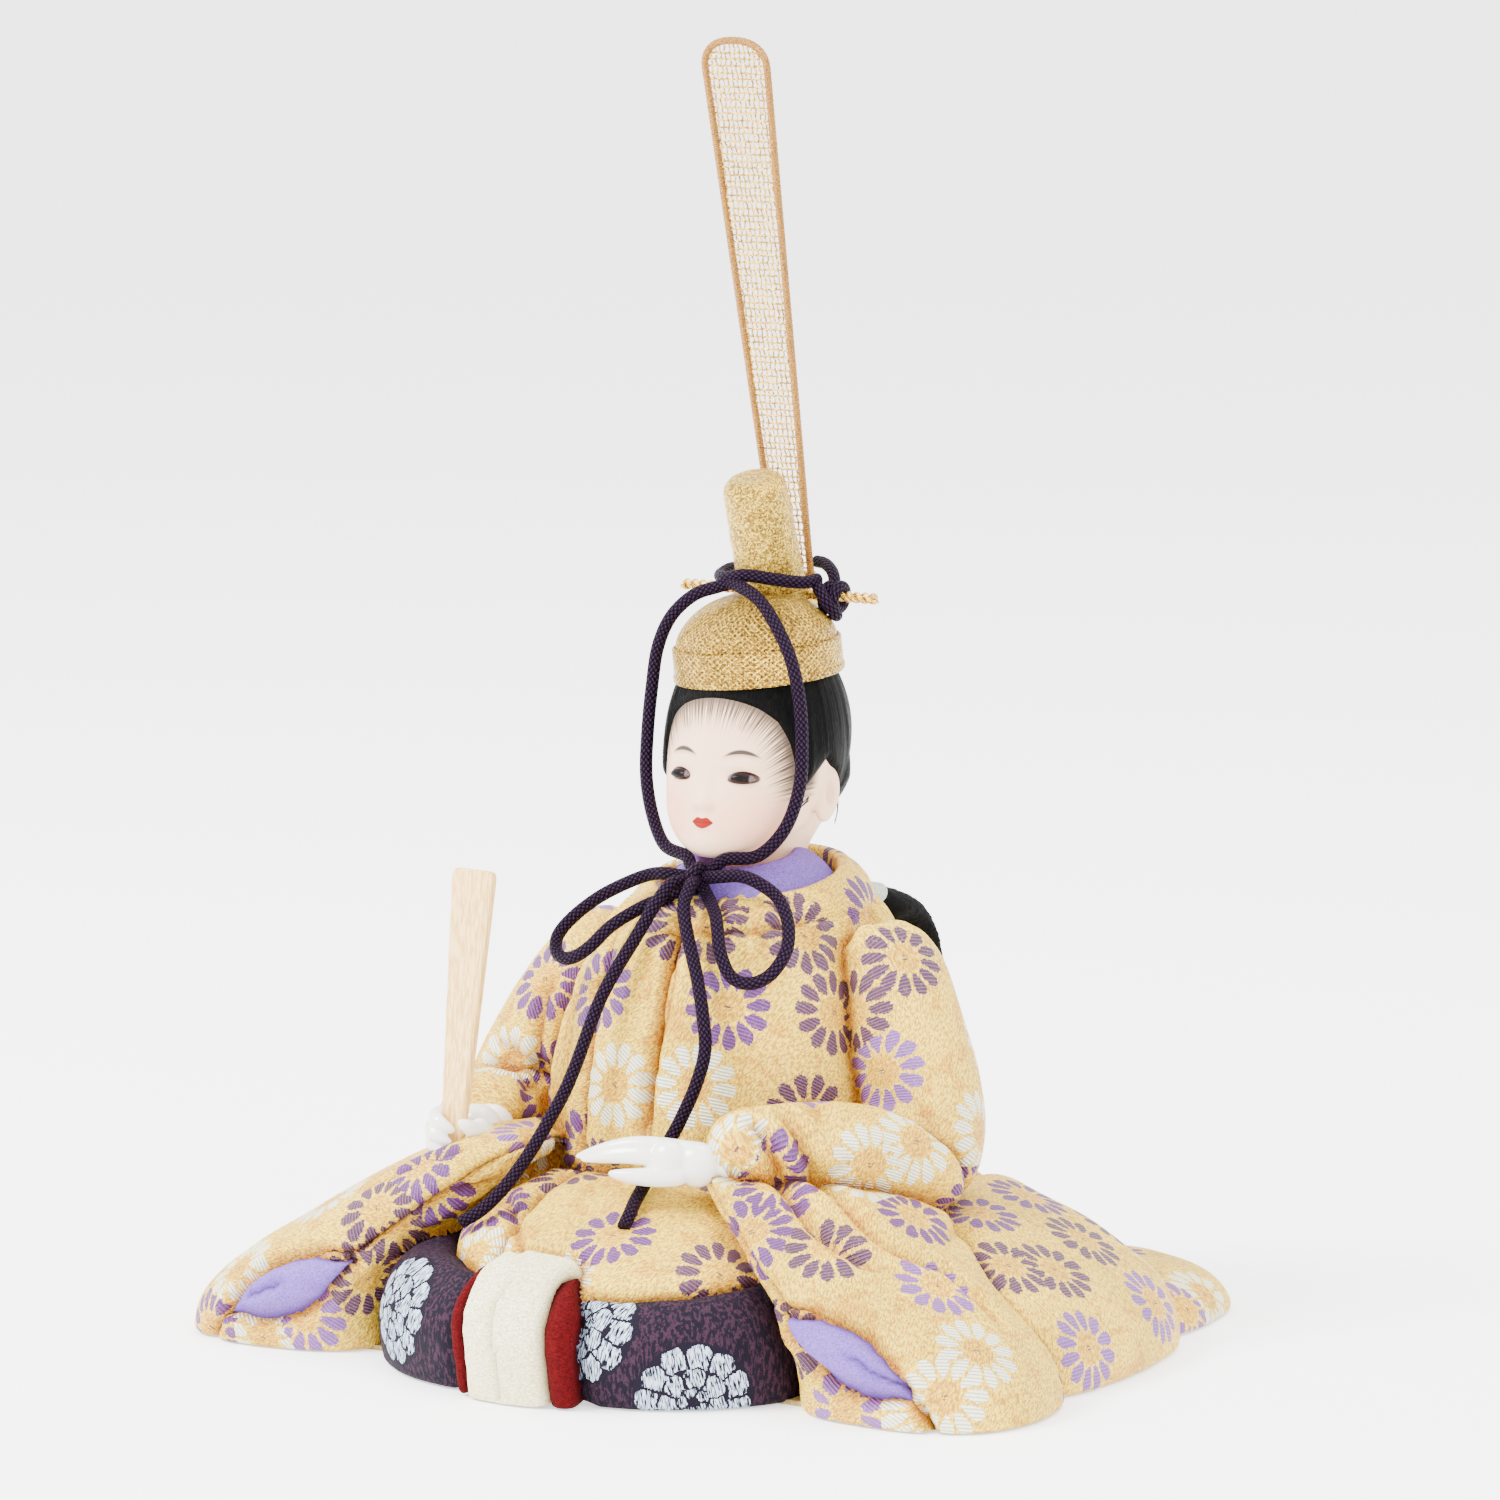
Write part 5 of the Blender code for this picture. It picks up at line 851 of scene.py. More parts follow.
def flatten_cloth(item):
    """Unwraps a panel and keeps its flat coordinates in metres, with the way up as +y."""
    bpy.ops.object.select_all(action="DESELECT")
    item.select_set(True)
    bpy.context.view_layer.objects.active = item
    bpy.ops.object.mode_set(mode="EDIT")
    bpy.ops.mesh.select_all(action="SELECT")
    bpy.ops.uv.unwrap(method="ANGLE_BASED", margin=0.0)
    bpy.ops.object.mode_set(mode="OBJECT")
    mesh = item.data
    count = len(mesh.vertices)
    corner = np.empty(len(mesh.loops) * 2)
    mesh.uv_layers.active.data.foreach_get("uv", corner)
    index = np.empty(len(mesh.loops), int)
    mesh.loops.foreach_get("vertex_index", index)
    flat = np.zeros((count, 2))
    flat[index] = corner.reshape(-1, 2)
    points = vertex_places(mesh)
    ends = np.array([tuple(e.vertices) for e in mesh.edges])
    real = np.linalg.norm(points[ends[:, 0]] - points[ends[:, 1]], axis=1)
    drawn = np.linalg.norm(flat[ends[:, 0]] - flat[ends[:, 1]], axis=1)
    keep = drawn > 1e-9
    flat *= np.median(real[keep] / drawn[keep])
    basis = np.column_stack([flat, np.ones(count)])
    slope = np.linalg.lstsq(basis, points[:, 2], rcond=None)[0][:2]
    angle = math.pi / 2 - math.atan2(slope[1], slope[0])
    c, s = math.cos(angle), math.sin(angle)
    flat = flat @ np.array([[c, s], [-s, c]])
    data = mesh.attributes.new("cloth", "FLOAT_VECTOR", "POINT")
    data.data.foreach_set("vector", np.column_stack([flat, np.zeros(count)]).ravel())
    mesh.uv_layers.remove(mesh.uv_layers.active)


def vertex_places(mesh):
    points = np.empty(len(mesh.vertices) * 3)
    mesh.vertices.foreach_get("co", points)
    return points.reshape(-1, 3)


FLOWER_SPACING = 21.5
FLOWER_SHOWN = 10.0
# Flowers of the brocade where the cloth shows them: kind and middle. P is purple, M plum,
# L lavender and W white. The rest of each panel is filled in alike.
FLOWERS = (
    ("M", 6, -30, 87), ("M", 23, -21, 85), ("P", 15, -36, 72), ("P", -15, -36, 73), ("W", -8, -42, 55),
    ("W", 10, -42, 56), ("M", 40, -10, 80), ("M", 31, -22, 70), ("L", 42, -21, 59), ("W", 55, -30, 47),
    ("W", 50, -40, 44), ("W", 58, -11, 46), ("P", 59, -12, 32), ("P", 40, -69, 34), ("M", 56, -66, 31),
    ("P", 39, -57, 43), ("W", 31, -58, 48), ("P", 60, -40, 34), ("M", 74, -26, 23), ("M", 79, -16, 21),
    ("M", 74, 5, 23), ("M", 68, 24, 21), ("L", 74, -55, 24), ("W", 88, -63, 14), ("W", 87, -74, 7),
    ("L", 67, -77, 3), ("L", 91, -25, 8), ("L", 88, 8, 11), ("M", 50, -76, 14), ("P", 58, 10, 30),
    ("W", 82, 46, 7), ("L", 81, 35, 4), ("P", -41, -64, 38), ("M", -47, -71, 30), ("M", -50, -71, 16),
    ("L", -62, -76, 7), ("P", -86, -76, 2), ("W", -80, -72, 14), ("W", -71, -77, 3), ("M", -13, -49, 37),
    ("P", 11, -73, 30), ("W", -19, -79, 25), ("W", 4, -86, 26), ("P", -24, -64, 31), ("P", -39, -21, 71),
    ("W", -45, -26, 53), ("P", -36, -26, 47), ("L", 60, -6, 66),
)
LETTERS = {"L": 1, "W": 2, "M": 3, "P": 4, "O": 5}


def add_flowers(item, listed=FLOWERS, spacing=FLOWER_SPACING, shown=FLOWER_SHOWN, filler=(1, 2, 2, 3, 4)):
    """Keeps on each face's corners the place from the nearest flower's middle, and its kind."""
    mesh = item.data
    points = table_places(vertex_places(mesh))
    normals = np.array([tuple(v.normal) for v in mesh.vertices])
    centres, kinds = [], []
    for letter, *middle in listed:
        away = np.linalg.norm(points - np.array(middle), axis=1)
        if away.min() < shown - 3.0:
            near = points[away.argmin()]
            centres.append(near if away.min() < 6.0 else np.array(middle))
            kinds.append(LETTERS[letter])
    generator = np.random.default_rng(sum(map(ord, item.name)))
    for k in generator.permutation(len(points))[:1500]:
        if all(np.linalg.norm(points[k] - c) > spacing for c in centres):
            centres.append(points[k])
            kinds.append(int(generator.choice(filler)))
    flat = np.zeros((len(mesh.loops), 3))
    if centres:
        middles = table_places(np.array([tuple(f.center) for f in mesh.polygons]))
        away = np.linalg.norm(middles[:, None] - np.array(centres)[None], axis=2)
        nearest = away.argmin(axis=1)
        close = away.min(axis=1) < shown + 1.0
        basis = []
        for centre in centres:
            weight = np.exp(-(np.linalg.norm(points - centre, axis=1) / 4.0) ** 2)
            out = (normals * weight[:, None]).sum(axis=0)
            out = out / max(np.linalg.norm(out), 1e-9)
            up = np.array([0.0, -0.35, 1.0]) if abs(out[2]) < 0.9 else np.array([0.0, 1.0, 0.0])
            up = up - out * (up @ out)
            up /= np.linalg.norm(up)
            basis.append((np.cross(up, out), up))
        starts = np.empty(len(mesh.polygons), int)
        totals = np.empty(len(mesh.polygons), int)
        index = np.empty(len(mesh.loops), int)
        mesh.polygons.foreach_get("loop_start", starts)
        mesh.polygons.foreach_get("loop_total", totals)
        mesh.loops.foreach_get("vertex_index", index)
        owner = np.empty(len(mesh.loops), int)
        owner[:] = np.repeat(np.arange(len(starts)), totals)
        own = nearest[owner]
        offset = points[index] - np.array(centres)[own]
        sides = np.array([b[0] for b in basis])[own]
        ups = np.array([b[1] for b in basis])[own]
        a, b = (offset * sides).sum(axis=1), (offset * ups).sum(axis=1)
        stretch = np.clip(np.linalg.norm(offset, axis=1) / np.maximum(np.hypot(a, b), 1e-6), 1.0, 1.5)
        flat = np.column_stack([a * stretch, b * stretch, np.array(kinds)[own]])
        flat[~close[owner]] = 0.0
    data = mesh.attributes.new("flower", "FLOAT_VECTOR", "CORNER")
    data.data.foreach_set("vector", (flat * MM).ravel())


def make_robe():
    forms = mass_forms()
    points, quads, edges = unite(forms)
    names, panel = label_faces(points, quads, forms)
    pairs, shared = face_neighbours(quads)
    panel = clean_labels(panel, pairs)
    panel = mark_openings(points, quads, names, panel)
    points, seam = smooth_seams(points, quads, edges, panel, pairs, shared)
    points, crease = dress(points, quads, seam, panel, names)
    for item in forms.values():
        bpy.data.objects.remove(item, do_unlink=True)
    looks = robe_materials()
    slots = {s["node"]: s["material_slot"] for s in frame["record"]["subparts"]}
    for k, name in enumerate(names):
        chosen = quads[panel == k]
        own, faces = compact(points, chosen)
        item = add_object("cloth_" + name, mesh_from(name, own, faces), looks[slots[name]])
        # Painted shade of the seams and folds, kept on the points for the cloth's material
        data = item.data.attributes.new("crease", "FLOAT", "POINT")
        data.data.foreach_set("value", crease[np.unique(chosen)])
        if slots[name] == "brocade":
            flatten_cloth(item)
            add_flowers(item)
        if slots[name] == "hakama_brocade":
            add_flowers(item, MEDALLIONS, MEDALLION_SPACING, 16.5, (5,))
        claim(item, [name], "robe")


def robe_materials():
    return {
        "brocade": brocade("brocade_cloth"),
        "lavender_crepe": crepe("lavender_cloth", (0.22, 0.13, 0.50), (0.12, 0.060, 0.30), 2.2),
        "cream_crepe": crepe("cream_cloth", (0.97, 0.97, 0.72), (0.60, 0.47, 0.21), 2.0),
        "red_twill": crepe("red_cloth", (0.092, 0.003, 0.004), (0.039, 0.001, 0.002), 1.7, 0.0003,
                           gloss=0.05),
        "hakama_brocade": hakama("hakama_cloth"),
    }


MEDALLION_SPACING = 38.0
MEDALLIONS = (("O", -33.0, -84.0, 14.0), ("O", 12.0, -93.0, 17.0), ("O", 36.0, -83.0, 2.0))


def hakama(name):
    """Dark navy ground with upright plum flecks, and silver medallions drawn in navy lines."""
    shade = Shader(name)
    where = shade.place()
    fleck = shade.noise(shade.vector("MULTIPLY", where, (1.5, 1.5, 0.42)), 1.0, 2.0, 0.6)
    fine = shade.noise(where, 3.2, 2.0, 0.7)
    navy = (0.006, 0.004, 0.010)
    colour = shade.mix(shade.step(fleck, 0.48, 0.55), navy, (0.035, 0.014, 0.027))
    colour = shade.mix(shade.step(fine, 0.35, 0.7, 0.0, 0.55), colour, (0.003, 0.002, 0.006))
    spot = shade.scaled(shade.attribute("flower"), 1 / MM)
    kind = shade.split(spot)[2]
    nudge = shade.scaled(shade.vector("SUBTRACT", shade.node_noise(where, 0.45), (0.5, 0.5, 0.5)), 1.5)
    x, y, _ = shade.split(shade.vector("SNAP", shade.vector("ADD", spot, nudge), (0.16, 0.30, 100.0)))
    radius = shade.math("SQRT", shade.math("ADD", shade.math("MULTIPLY", x, x), shade.math("MULTIPLY", y, y)))
    turn = shade.math("ARCTAN2", y, x)
    white = 0.0
    for inner, outer, count, shift in ((1.3, 3.0, 5, 0.2), (3.4, 6.9, 7, 0.0), (7.3, 11.6, 11, 0.3)):
        share = shade.math("FRACT", shade.math("ADD", shade.math("MULTIPLY", turn, count / math.tau), shift))
        edge = shade.math("ABSOLUTE", shade.math("SUBTRACT", share, 0.5))
        bulge = shade.math("MULTIPLY", shade.math("POWER", shade.math("MULTIPLY", edge, 2.0), 2.4),
                           (outer - inner) * 0.34)
        gap = shade.math("MULTIPLY", shade.math("SUBTRACT", 0.5, edge), math.tau / count)
        wide = shade.math("GREATER_THAN", shade.math("MULTIPLY", gap, radius), 0.30)
        low = shade.math("GREATER_THAN", radius, shade.math("SUBTRACT", inner,
                                                            shade.math("MULTIPLY", bulge, 0.5)))
        high = shade.math("LESS_THAN", radius, shade.math("SUBTRACT", outer, bulge))
        cell = shade.math("MULTIPLY", wide, shade.math("MULTIPLY", low, high))
        white = shade.math("MAXIMUM", white, cell)
    threads = shade.noise(shade.vector("MULTIPLY", spot, (3.4, 0.45, 1.0)), 1.0, 2.0, 0.6)
    white = shade.math("MULTIPLY", white, shade.step(threads, 0.43, 0.48))
    white = shade.math("MULTIPLY", white, shade.math("GREATER_THAN", kind, 4.5))
    field = shade.math("MULTIPLY", shade.math("LESS_THAN", radius, 12.1),
                       shade.math("GREATER_THAN", kind, 4.5))
    colour = shade.mix(field, colour, navy)
    silver = shade.mix(shade.step(threads, 0.4, 0.6), (0.11, 0.13, 0.17), (0.50, 0.60, 0.74))
    colour = shade.mix(white, colour, silver)
    # Painted shade: darker where the cloth is drawn into a seam or a fold
    crease = shade.attribute_value("crease")
    colour = shade.mix(crease, colour, (0.3, 0.3, 0.35), "MULTIPLY")
    height = shade.math("ADD", shade.math("MULTIPLY", fine, 0.7), shade.math("MULTIPLY", fleck, 0.5))
    height = shade.math("ADD", height, shade.math("MULTIPLY", white, 0.5))
    return shade.finish(colour=colour, roughness=0.7, normal=shade.bump(height, 0.00026, 0.9),
                        specular_ior_level=0.08)


# Cords: the routes are the part's own, and each cord's length is its route's
CORD_RADIUS = 1.35
KNOT_CENTRE = (0.0, -24.0, 95.7)
KNOT_RADIUS = 3.8
KNOT_FACE_GAP = 0.3
KNOT_LEAD = 3.0
KNOT_PORTS = {
    "chin_right": (-0.70, 0.45, 0.55), "chin_left": (0.70, 0.45, 0.55),
    "loop_right_start": (-0.96, -0.25, 0.10), "loop_left_start": (0.96, -0.25, 0.15),
    "loop_right_end": (-0.70, -0.50, -0.51), "loop_left_end": (0.70, -0.50, -0.51),
    "tail_right": (-0.33, -0.94, -0.08), "tail_left": (0.33, -0.94, -0.08),
}
CORD_ROUTES = {
    "chin_cord_right": (None, "chin_right", "knot", (
        (-2.8, -5.2, 154.4), (-6.2, -6.0, 153.4), (-11.2, -7.5, 151.5), (-16.0, -8.5, 147.0), (-19.0, -9.0,
                                                                                               140.5),
        (-20.0, -9.8, 132.0), (-20.4, -10.8, 123.0), (-19.6, -12.6, 114.2), (-16.5, -15.2, 106.6),
        (-11.5, -18.4, 101.0))),
    "chin_cord_left": (None, "chin_left", "knot", (
        (-4.2, -5.4, 154.2), (-0.5, -7.2, 153.9), (5.6, -10.0, 152.0), (11.2, -12.5, 147.5), (16.0, -14.0,
                                                                                              140.5),
        (18.0, -13.8, 131.8), (18.4, -13.6, 122.7), (18.1, -14.2, 114.1), (15.8, -16.0, 106.0),
        (11.0, -18.4, 100.5))),
    "crown_cord": (None, None, "knot", (
        (-9.8, 9.5, 155.5), (-9.6, 4.5, 156.0), (-8.8, -1.0, 155.2), (-5.0, -5.0, 155.2),
        (0.4, -5.6, 156.0), (6.0, -3.0, 155.2), (9.4, 1.8, 154.4), (10.4, 6.0, 154.7))),
    "bow_loop_right": ("loop_right_start", "loop_right_end", "knot", (
        (-10.8, -25.4, 95.8), (-15.7, -26.6, 93.8), (-21.4, -28.2, 90.6), (-25.9, -30.9, 86.5),
        (-27.8, -33.7, 82.8), (-26.2, -36.3, 79.8), (-22.2, -37.7, 79.2), (-17.4, -38.1, 81.9),
        (-12.9, -36.6, 86.5), (-9.0, -32.0, 89.8))),
    "bow_loop_left": ("loop_left_start", "loop_left_end", "knot", (
        (11.0, -25.6, 97.2), (15.8, -26.2, 96.2), (20.8, -26.8, 93.5), (24.6, -29.3, 89.2),
        (26.1, -32.2, 84.3), (24.7, -35.8, 79.7), (21.1, -38.0, 77.7), (17.0, -38.8, 78.9),
        (14.1, -38.1, 83.3), (11.7, -35.4, 87.7), (9.2, -32.2, 90.0))),
    "cord_tail_right": ("tail_right", None, "bare", (
        (-3.4, -34.4, 91.8), (-5.1, -36.8, 87.4), (-6.8, -38.5, 83.5), (-8.3, -40.7, 79.7),
        (-10.5, -43.8, 73.5), (-11.9, -46.3, 67.4), (-13.5, -48.3, 60.7), (-14.8, -51.1, 54.6),
        (-15.9, -55.3, 49.2), (-17.4, -59.8, 43.4), (-19.0, -66.1, 37.5), (-22.1, -69.8, 32.9),
        (-26.2, -72.2, 29.8))),
    "cord_tail_left": ("tail_left", None, "bare", (
        (3.2, -34.6, 91.8), (5.6, -37.6, 87.8), (8.0, -39.5, 83.4), (10.6, -41.3, 78.1),
        (12.9, -43.0, 71.5), (14.2, -44.2, 64.4), (13.0, -45.8, 57.4), (10.5, -47.6, 50.4),
        (8.8, -50.5, 45.1), (8.7, -55.4, 40.9), (9.8, -60.5, 38.8), (10.8, -65.2, 36.6),
        (11.8, -69.0, 34.6), (12.2, -71.6, 32.8))),
}
PIN_KNOT_CENTRE = (13.2, 7.8, 151.0)


def tube(name, path, radius, material, sides=16, closed=False, wave=None):
    """A mesh tube along a dense path, with its own coordinates kept: turn share and run."""
    path = [Vector(p) for p in path]
    count = len(path)
    ahead = []
    for i in range(count):
        before = path[(i - 1) % count] if closed or i else path[0]
        after = path[(i + 1) % count] if closed or i < count - 1 else path[-1]
        ahead.append((after - before).normalized())
    side = ahead[0].orthogonal().normalized()
    points, runs, run = [], [], 0.0
    for i, p in enumerate(path):
        side = (side - ahead[i] * side.dot(ahead[i])).normalized()
        over = ahead[i].cross(side)
        if i:
            run += (p - path[i - 1]).length
        runs.append(run)
        for k in range(sides):
            t = math.tau * k / sides
            r = radius * (1 + (wave(t, run) if wave else 0.0))
            points.append(p + (side * math.cos(t) + over * math.sin(t)) * r)
    faces, corners = [], []
    total = count if closed else count - 1
    for i in range(total):
        j = (i + 1) % count
        high = runs[j] if j else run + (path[0] - path[-1]).length
        for k in range(sides):
            m = (k + 1) % sides
            faces.append((i * sides + k, i * sides + m, j * sides + m, j * sides + k))
            corners += [(k / sides, runs[i]), ((k + 1) / sides, runs[i]),
                        ((k + 1) / sides, high), (k / sides, high)]
    if not closed:
        for start, flip, at_run in ((0, -1, 0.0), ((count - 1) * sides, 1, run)):
            faces.append([start + k for k in range(sides)][::flip])
            corners += [(k / sides, at_run) for k in range(sides)][::flip]
    mesh = bpy.data.meshes.new(name)
    mesh.from_pydata([tuple(p) for p in points], [], faces)
    data = mesh.attributes.new("along", "FLOAT_VECTOR", "CORNER")
    data.data.foreach_set("vector", np.array([(a, b, 0.0) for a, b in corners]).ravel())
    return add_object(name, mesh, material)


def joined(name, items):
    """Several objects as one."""
    for item in items:
        item.select_set(False)
    with bpy.context.temp_override(active_object=items[0], selected_editable_objects=items):
        bpy.ops.object.join()
    items[0].name = name
    return items[0]


def knot_port(name):
    direction = Vector(KNOT_PORTS[name]).normalized()
    face = Vector(KNOT_CENTRE) + direction * (KNOT_RADIUS + KNOT_FACE_GAP)
    return face, face + direction * KNOT_LEAD


def claim(item, nodes, body):
    """Hides the CAD nodes that a piece stands for and hangs the piece on the body that carries it."""
    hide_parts(*nodes)
    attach(item, body)
    return item


def make_cords():
    braid = braid_material("silk_braid")
    centre = Vector(KNOT_CENTRE)
    paths = {}
    for name, (start, end, far_end, route) in CORD_ROUTES.items():
        points = [Vector(p) for p in route]
        if start:
            points = [*knot_port(start), *points]
        if end:
            points = [*points, *knot_port(end)[::-1]]
        paths[name] = smooth_route([place(p) for p in points], 0.55 * MM)
    stubs = []
    for k, port in enumerate(KNOT_PORTS):
        face = knot_port(port)[0]
        line = smooth_route([place(centre + (face - centre) * 0.12), place(face)], 0.5 * MM)
        stubs.append(tube(f"stub_{k}", line, CORD_RADIUS * MM, braid))
    wrap = []
    for i in range(40):
        t = math.tau * i / 40
        wrap.append(place(centre + Vector((0.5 * math.sin(t), -0.6 + 2.3 * math.cos(t), 2.25 * math.sin(t)))))
    stubs.append(tube("wrap", wrap, CORD_RADIUS * MM, braid, closed=True))
    bow = claim(joined("tied_bow_knot", stubs), ["bow_knot"], "head")
    pin_knot = make_pin_knot(braid)
    for name, (start, end, far_end, route) in CORD_ROUTES.items():
        path = paths[name]
        item = tube("braid_" + name, path, CORD_RADIUS * MM, braid)
        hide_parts(name)
        if name == "cord_tail_left":
            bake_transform(item)
        else:
            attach(item, "head")


def make_pin_knot(braid):
    """Two turns round the pin, with a strand over them and one that goes up behind the koji."""
    x, y, z = PIN_KNOT_CENTRE
    parts = []
    for k, shift in enumerate((-1.2, 1.2)):
        ring = []
        for i in range(36):
            t = math.tau * i / 36
            ring.append(place((x + shift + 0.35 * math.sin(t), y + 2.35 * math.cos(t),
                               z + 2.35 * math.sin(t))))
        parts.append(tube(f"turn_{k}", ring, CORD_RADIUS * 0.92 * MM, braid, closed=True))
    over = ((x - 3.0, y - 2.2, z + 3.0), (x - 1.0, y - 3.9, z + 1.5), (x + 1.0, y - 3.9, z - 1.2),
            (x + 1.6, y - 1.8, z - 3.4), (x - 0.6, y + 1.0, z - 3.6))
    rear = ((x - 0.4, y + 0.6, z + 2.0), (x - 1.4, y + 2.4, z + 3.6), (x - 3.4, y + 4.6, z + 5.0),
            (x - 6.4, y + 7.0, z + 6.0), (x - 9.2, y + 8.3, z + 6.2))
    for k, route in enumerate((over, rear)):
        line = smooth_route([place(p) for p in route], 0.5 * MM)
        parts.append(tube(f"strand_{k}", line, CORD_RADIUS * 0.95 * MM, braid))
    return claim(joined("tied_pin_knot", parts), ["pin_knot"], "head")


def braid_material(name):
    """Round silk braid: strands that cross over and under on two spirals."""
    shade = Shader(name)
    turn, run, _ = shade.split(shade.attribute("along"))
    rows = shade.math("MULTIPLY", run, 1 / (1.3 * MM))
    around = shade.math("MULTIPLY", turn, 8.0)
    first, second = shade.math("ADD", around, rows), shade.math("SUBTRACT", around, rows)
    parity = shade.math("ADD", shade.math("FLOOR", first), shade.math("FLOOR", second))
    over = shade.math("LESS_THAN", shade.math("FRACT", shade.math("MULTIPLY", parity, 0.5)), 0.25)
    ridges = [shade.math("SINE", shade.math("MULTIPLY", shade.math("FRACT", v), math.pi))
              for v in (first, second)]
    ridge = shade.math("ADD", shade.math("MULTIPLY", ridges[0], over),
                       shade.math("MULTIPLY", ridges[1], shade.math("SUBTRACT", 1.0, over)))
    ends = shade.math("MULTIPLY", ridges[0], ridges[1])
    height = shade.math("ADD", shade.math("MULTIPLY", ridge, 0.6), shade.math("MULTIPLY", ends, 0.6))
    # Painted light and shade: the strands' raised tops are lighter and the hollows between them darker
    colour = shade.mix(shade.step(height, 0.45, 1.05), (0.0008, 0.0004, 0.0012), (0.024, 0.008, 0.032))
    return shade.finish(colour=colour, roughness=0.5, normal=shade.bump(height, 0.0005, 1.0),
                        specular_ior_level=0.06)


# Crown
CROWN_HEIGHT = 135.0
CROWN_TILT = 5.0
CROWN_ROLL = -3.0
BRIM_RADIUS = 17.5
BRIM_HEIGHT = 7.2
DOME_HEIGHT = 17.5
CAP_SHARE = 0.955
KOJI_Y = 6.0
KOJI_HEIGHT = 150.0
KOJI_LEAN = 18.5
KOJI_LENGTH = 27.5
KOJI_RADIUS = 7.1
KOJI_TOP_RADIUS = 6.6
KOJI_ROUND = 3.0
KOJI_SINK = 4.5
PIN_LENGTH = 46.5
PIN_Y = 7.8
PIN_HEIGHT = 151.5
PIN_SLOPE = 0.6
PIN_STRAND_RADIUS = 0.66
PIN_PITCH = 3.9
EI_Y = 14.0
EI_BASE_HEIGHT = 154.5
EI_LEAN = 12.4
EI_LENGTH = 114.0
EI_BASE_HALF_WIDTH = 4.6
EI_TOP_HALF_WIDTH = 8.3
EI_ARCH = 6.5
EI_RIM_RADIUS = 0.75
EI_STEM_LENGTH = 5.2
NET_THREAD = 0.2
NET_COLUMN_PITCH = 1.12
NET_ROW_PITCH = 1.42


def crown_matrix():
    turn = Matrix.Rotation(math.radians(CROWN_TILT), 4, "X")
    roll = Matrix.Rotation(math.radians(CROWN_ROLL), 4, "Y")
    return Matrix.Translation(place((0.0, 0.0, CROWN_HEIGHT))) @ roll @ turn


def koji_matrix():
    lean = Matrix.Rotation(math.radians(KOJI_LEAN), 4, "X")
    return Matrix.Translation(place((0.0, KOJI_Y, KOJI_HEIGHT))) @ lean


def ei_matrix():
    lean = Matrix.Rotation(math.radians(90.0 + EI_LEAN), 4, "X")
    return Matrix.Translation(place((0.0, EI_Y, EI_BASE_HEIGHT))) @ lean


def turned(name, profile, steps, matrix, material, closed=False, shift=None):
    """A turned body from a profile of radius and height in millimetres."""
    points, faces = [], []
    rows = len(profile)
    for radius, height in profile:
        for k in range(steps):
            t = math.tau * k / steps
            r = radius + (shift(t, radius, height) if shift else 0.0)
            points.append(matrix @ Vector((r * math.cos(t) * MM, r * math.sin(t) * MM, height * MM)))
    last = rows if closed else rows - 1
    for i in range(last):
        j = (i + 1) % rows
        for k in range(steps):
            m = (k + 1) % steps
            faces.append((i * steps + k, i * steps + m, j * steps + m, j * steps + k))
    if not closed:
        faces.append(list(range(steps))[::-1])
        faces.append([(rows - 1) * steps + k for k in range(steps)])
    work = bmesh.new()
    mesh = mesh_from(name, points, faces)
    work.from_mesh(mesh)
    bmesh.ops.remove_doubles(work, verts=work.verts[:], dist=0.02 * MM)
    bmesh.ops.recalc_face_normals(work, faces=work.faces[:])
    work.to_mesh(mesh)
    work.free()
    item = add_object(name, mesh, material)
    mesh.set_sharp_from_angle(angle=math.radians(50))
    return item


def rounded(profile, step=0.35):
    """A finer profile on a smooth curve through a profile's points."""
    line = smooth_route([Vector((r, 0.0, z)) for r, z in profile], step)
    return [(max(p.x, 0.0), p.z) for p in line]


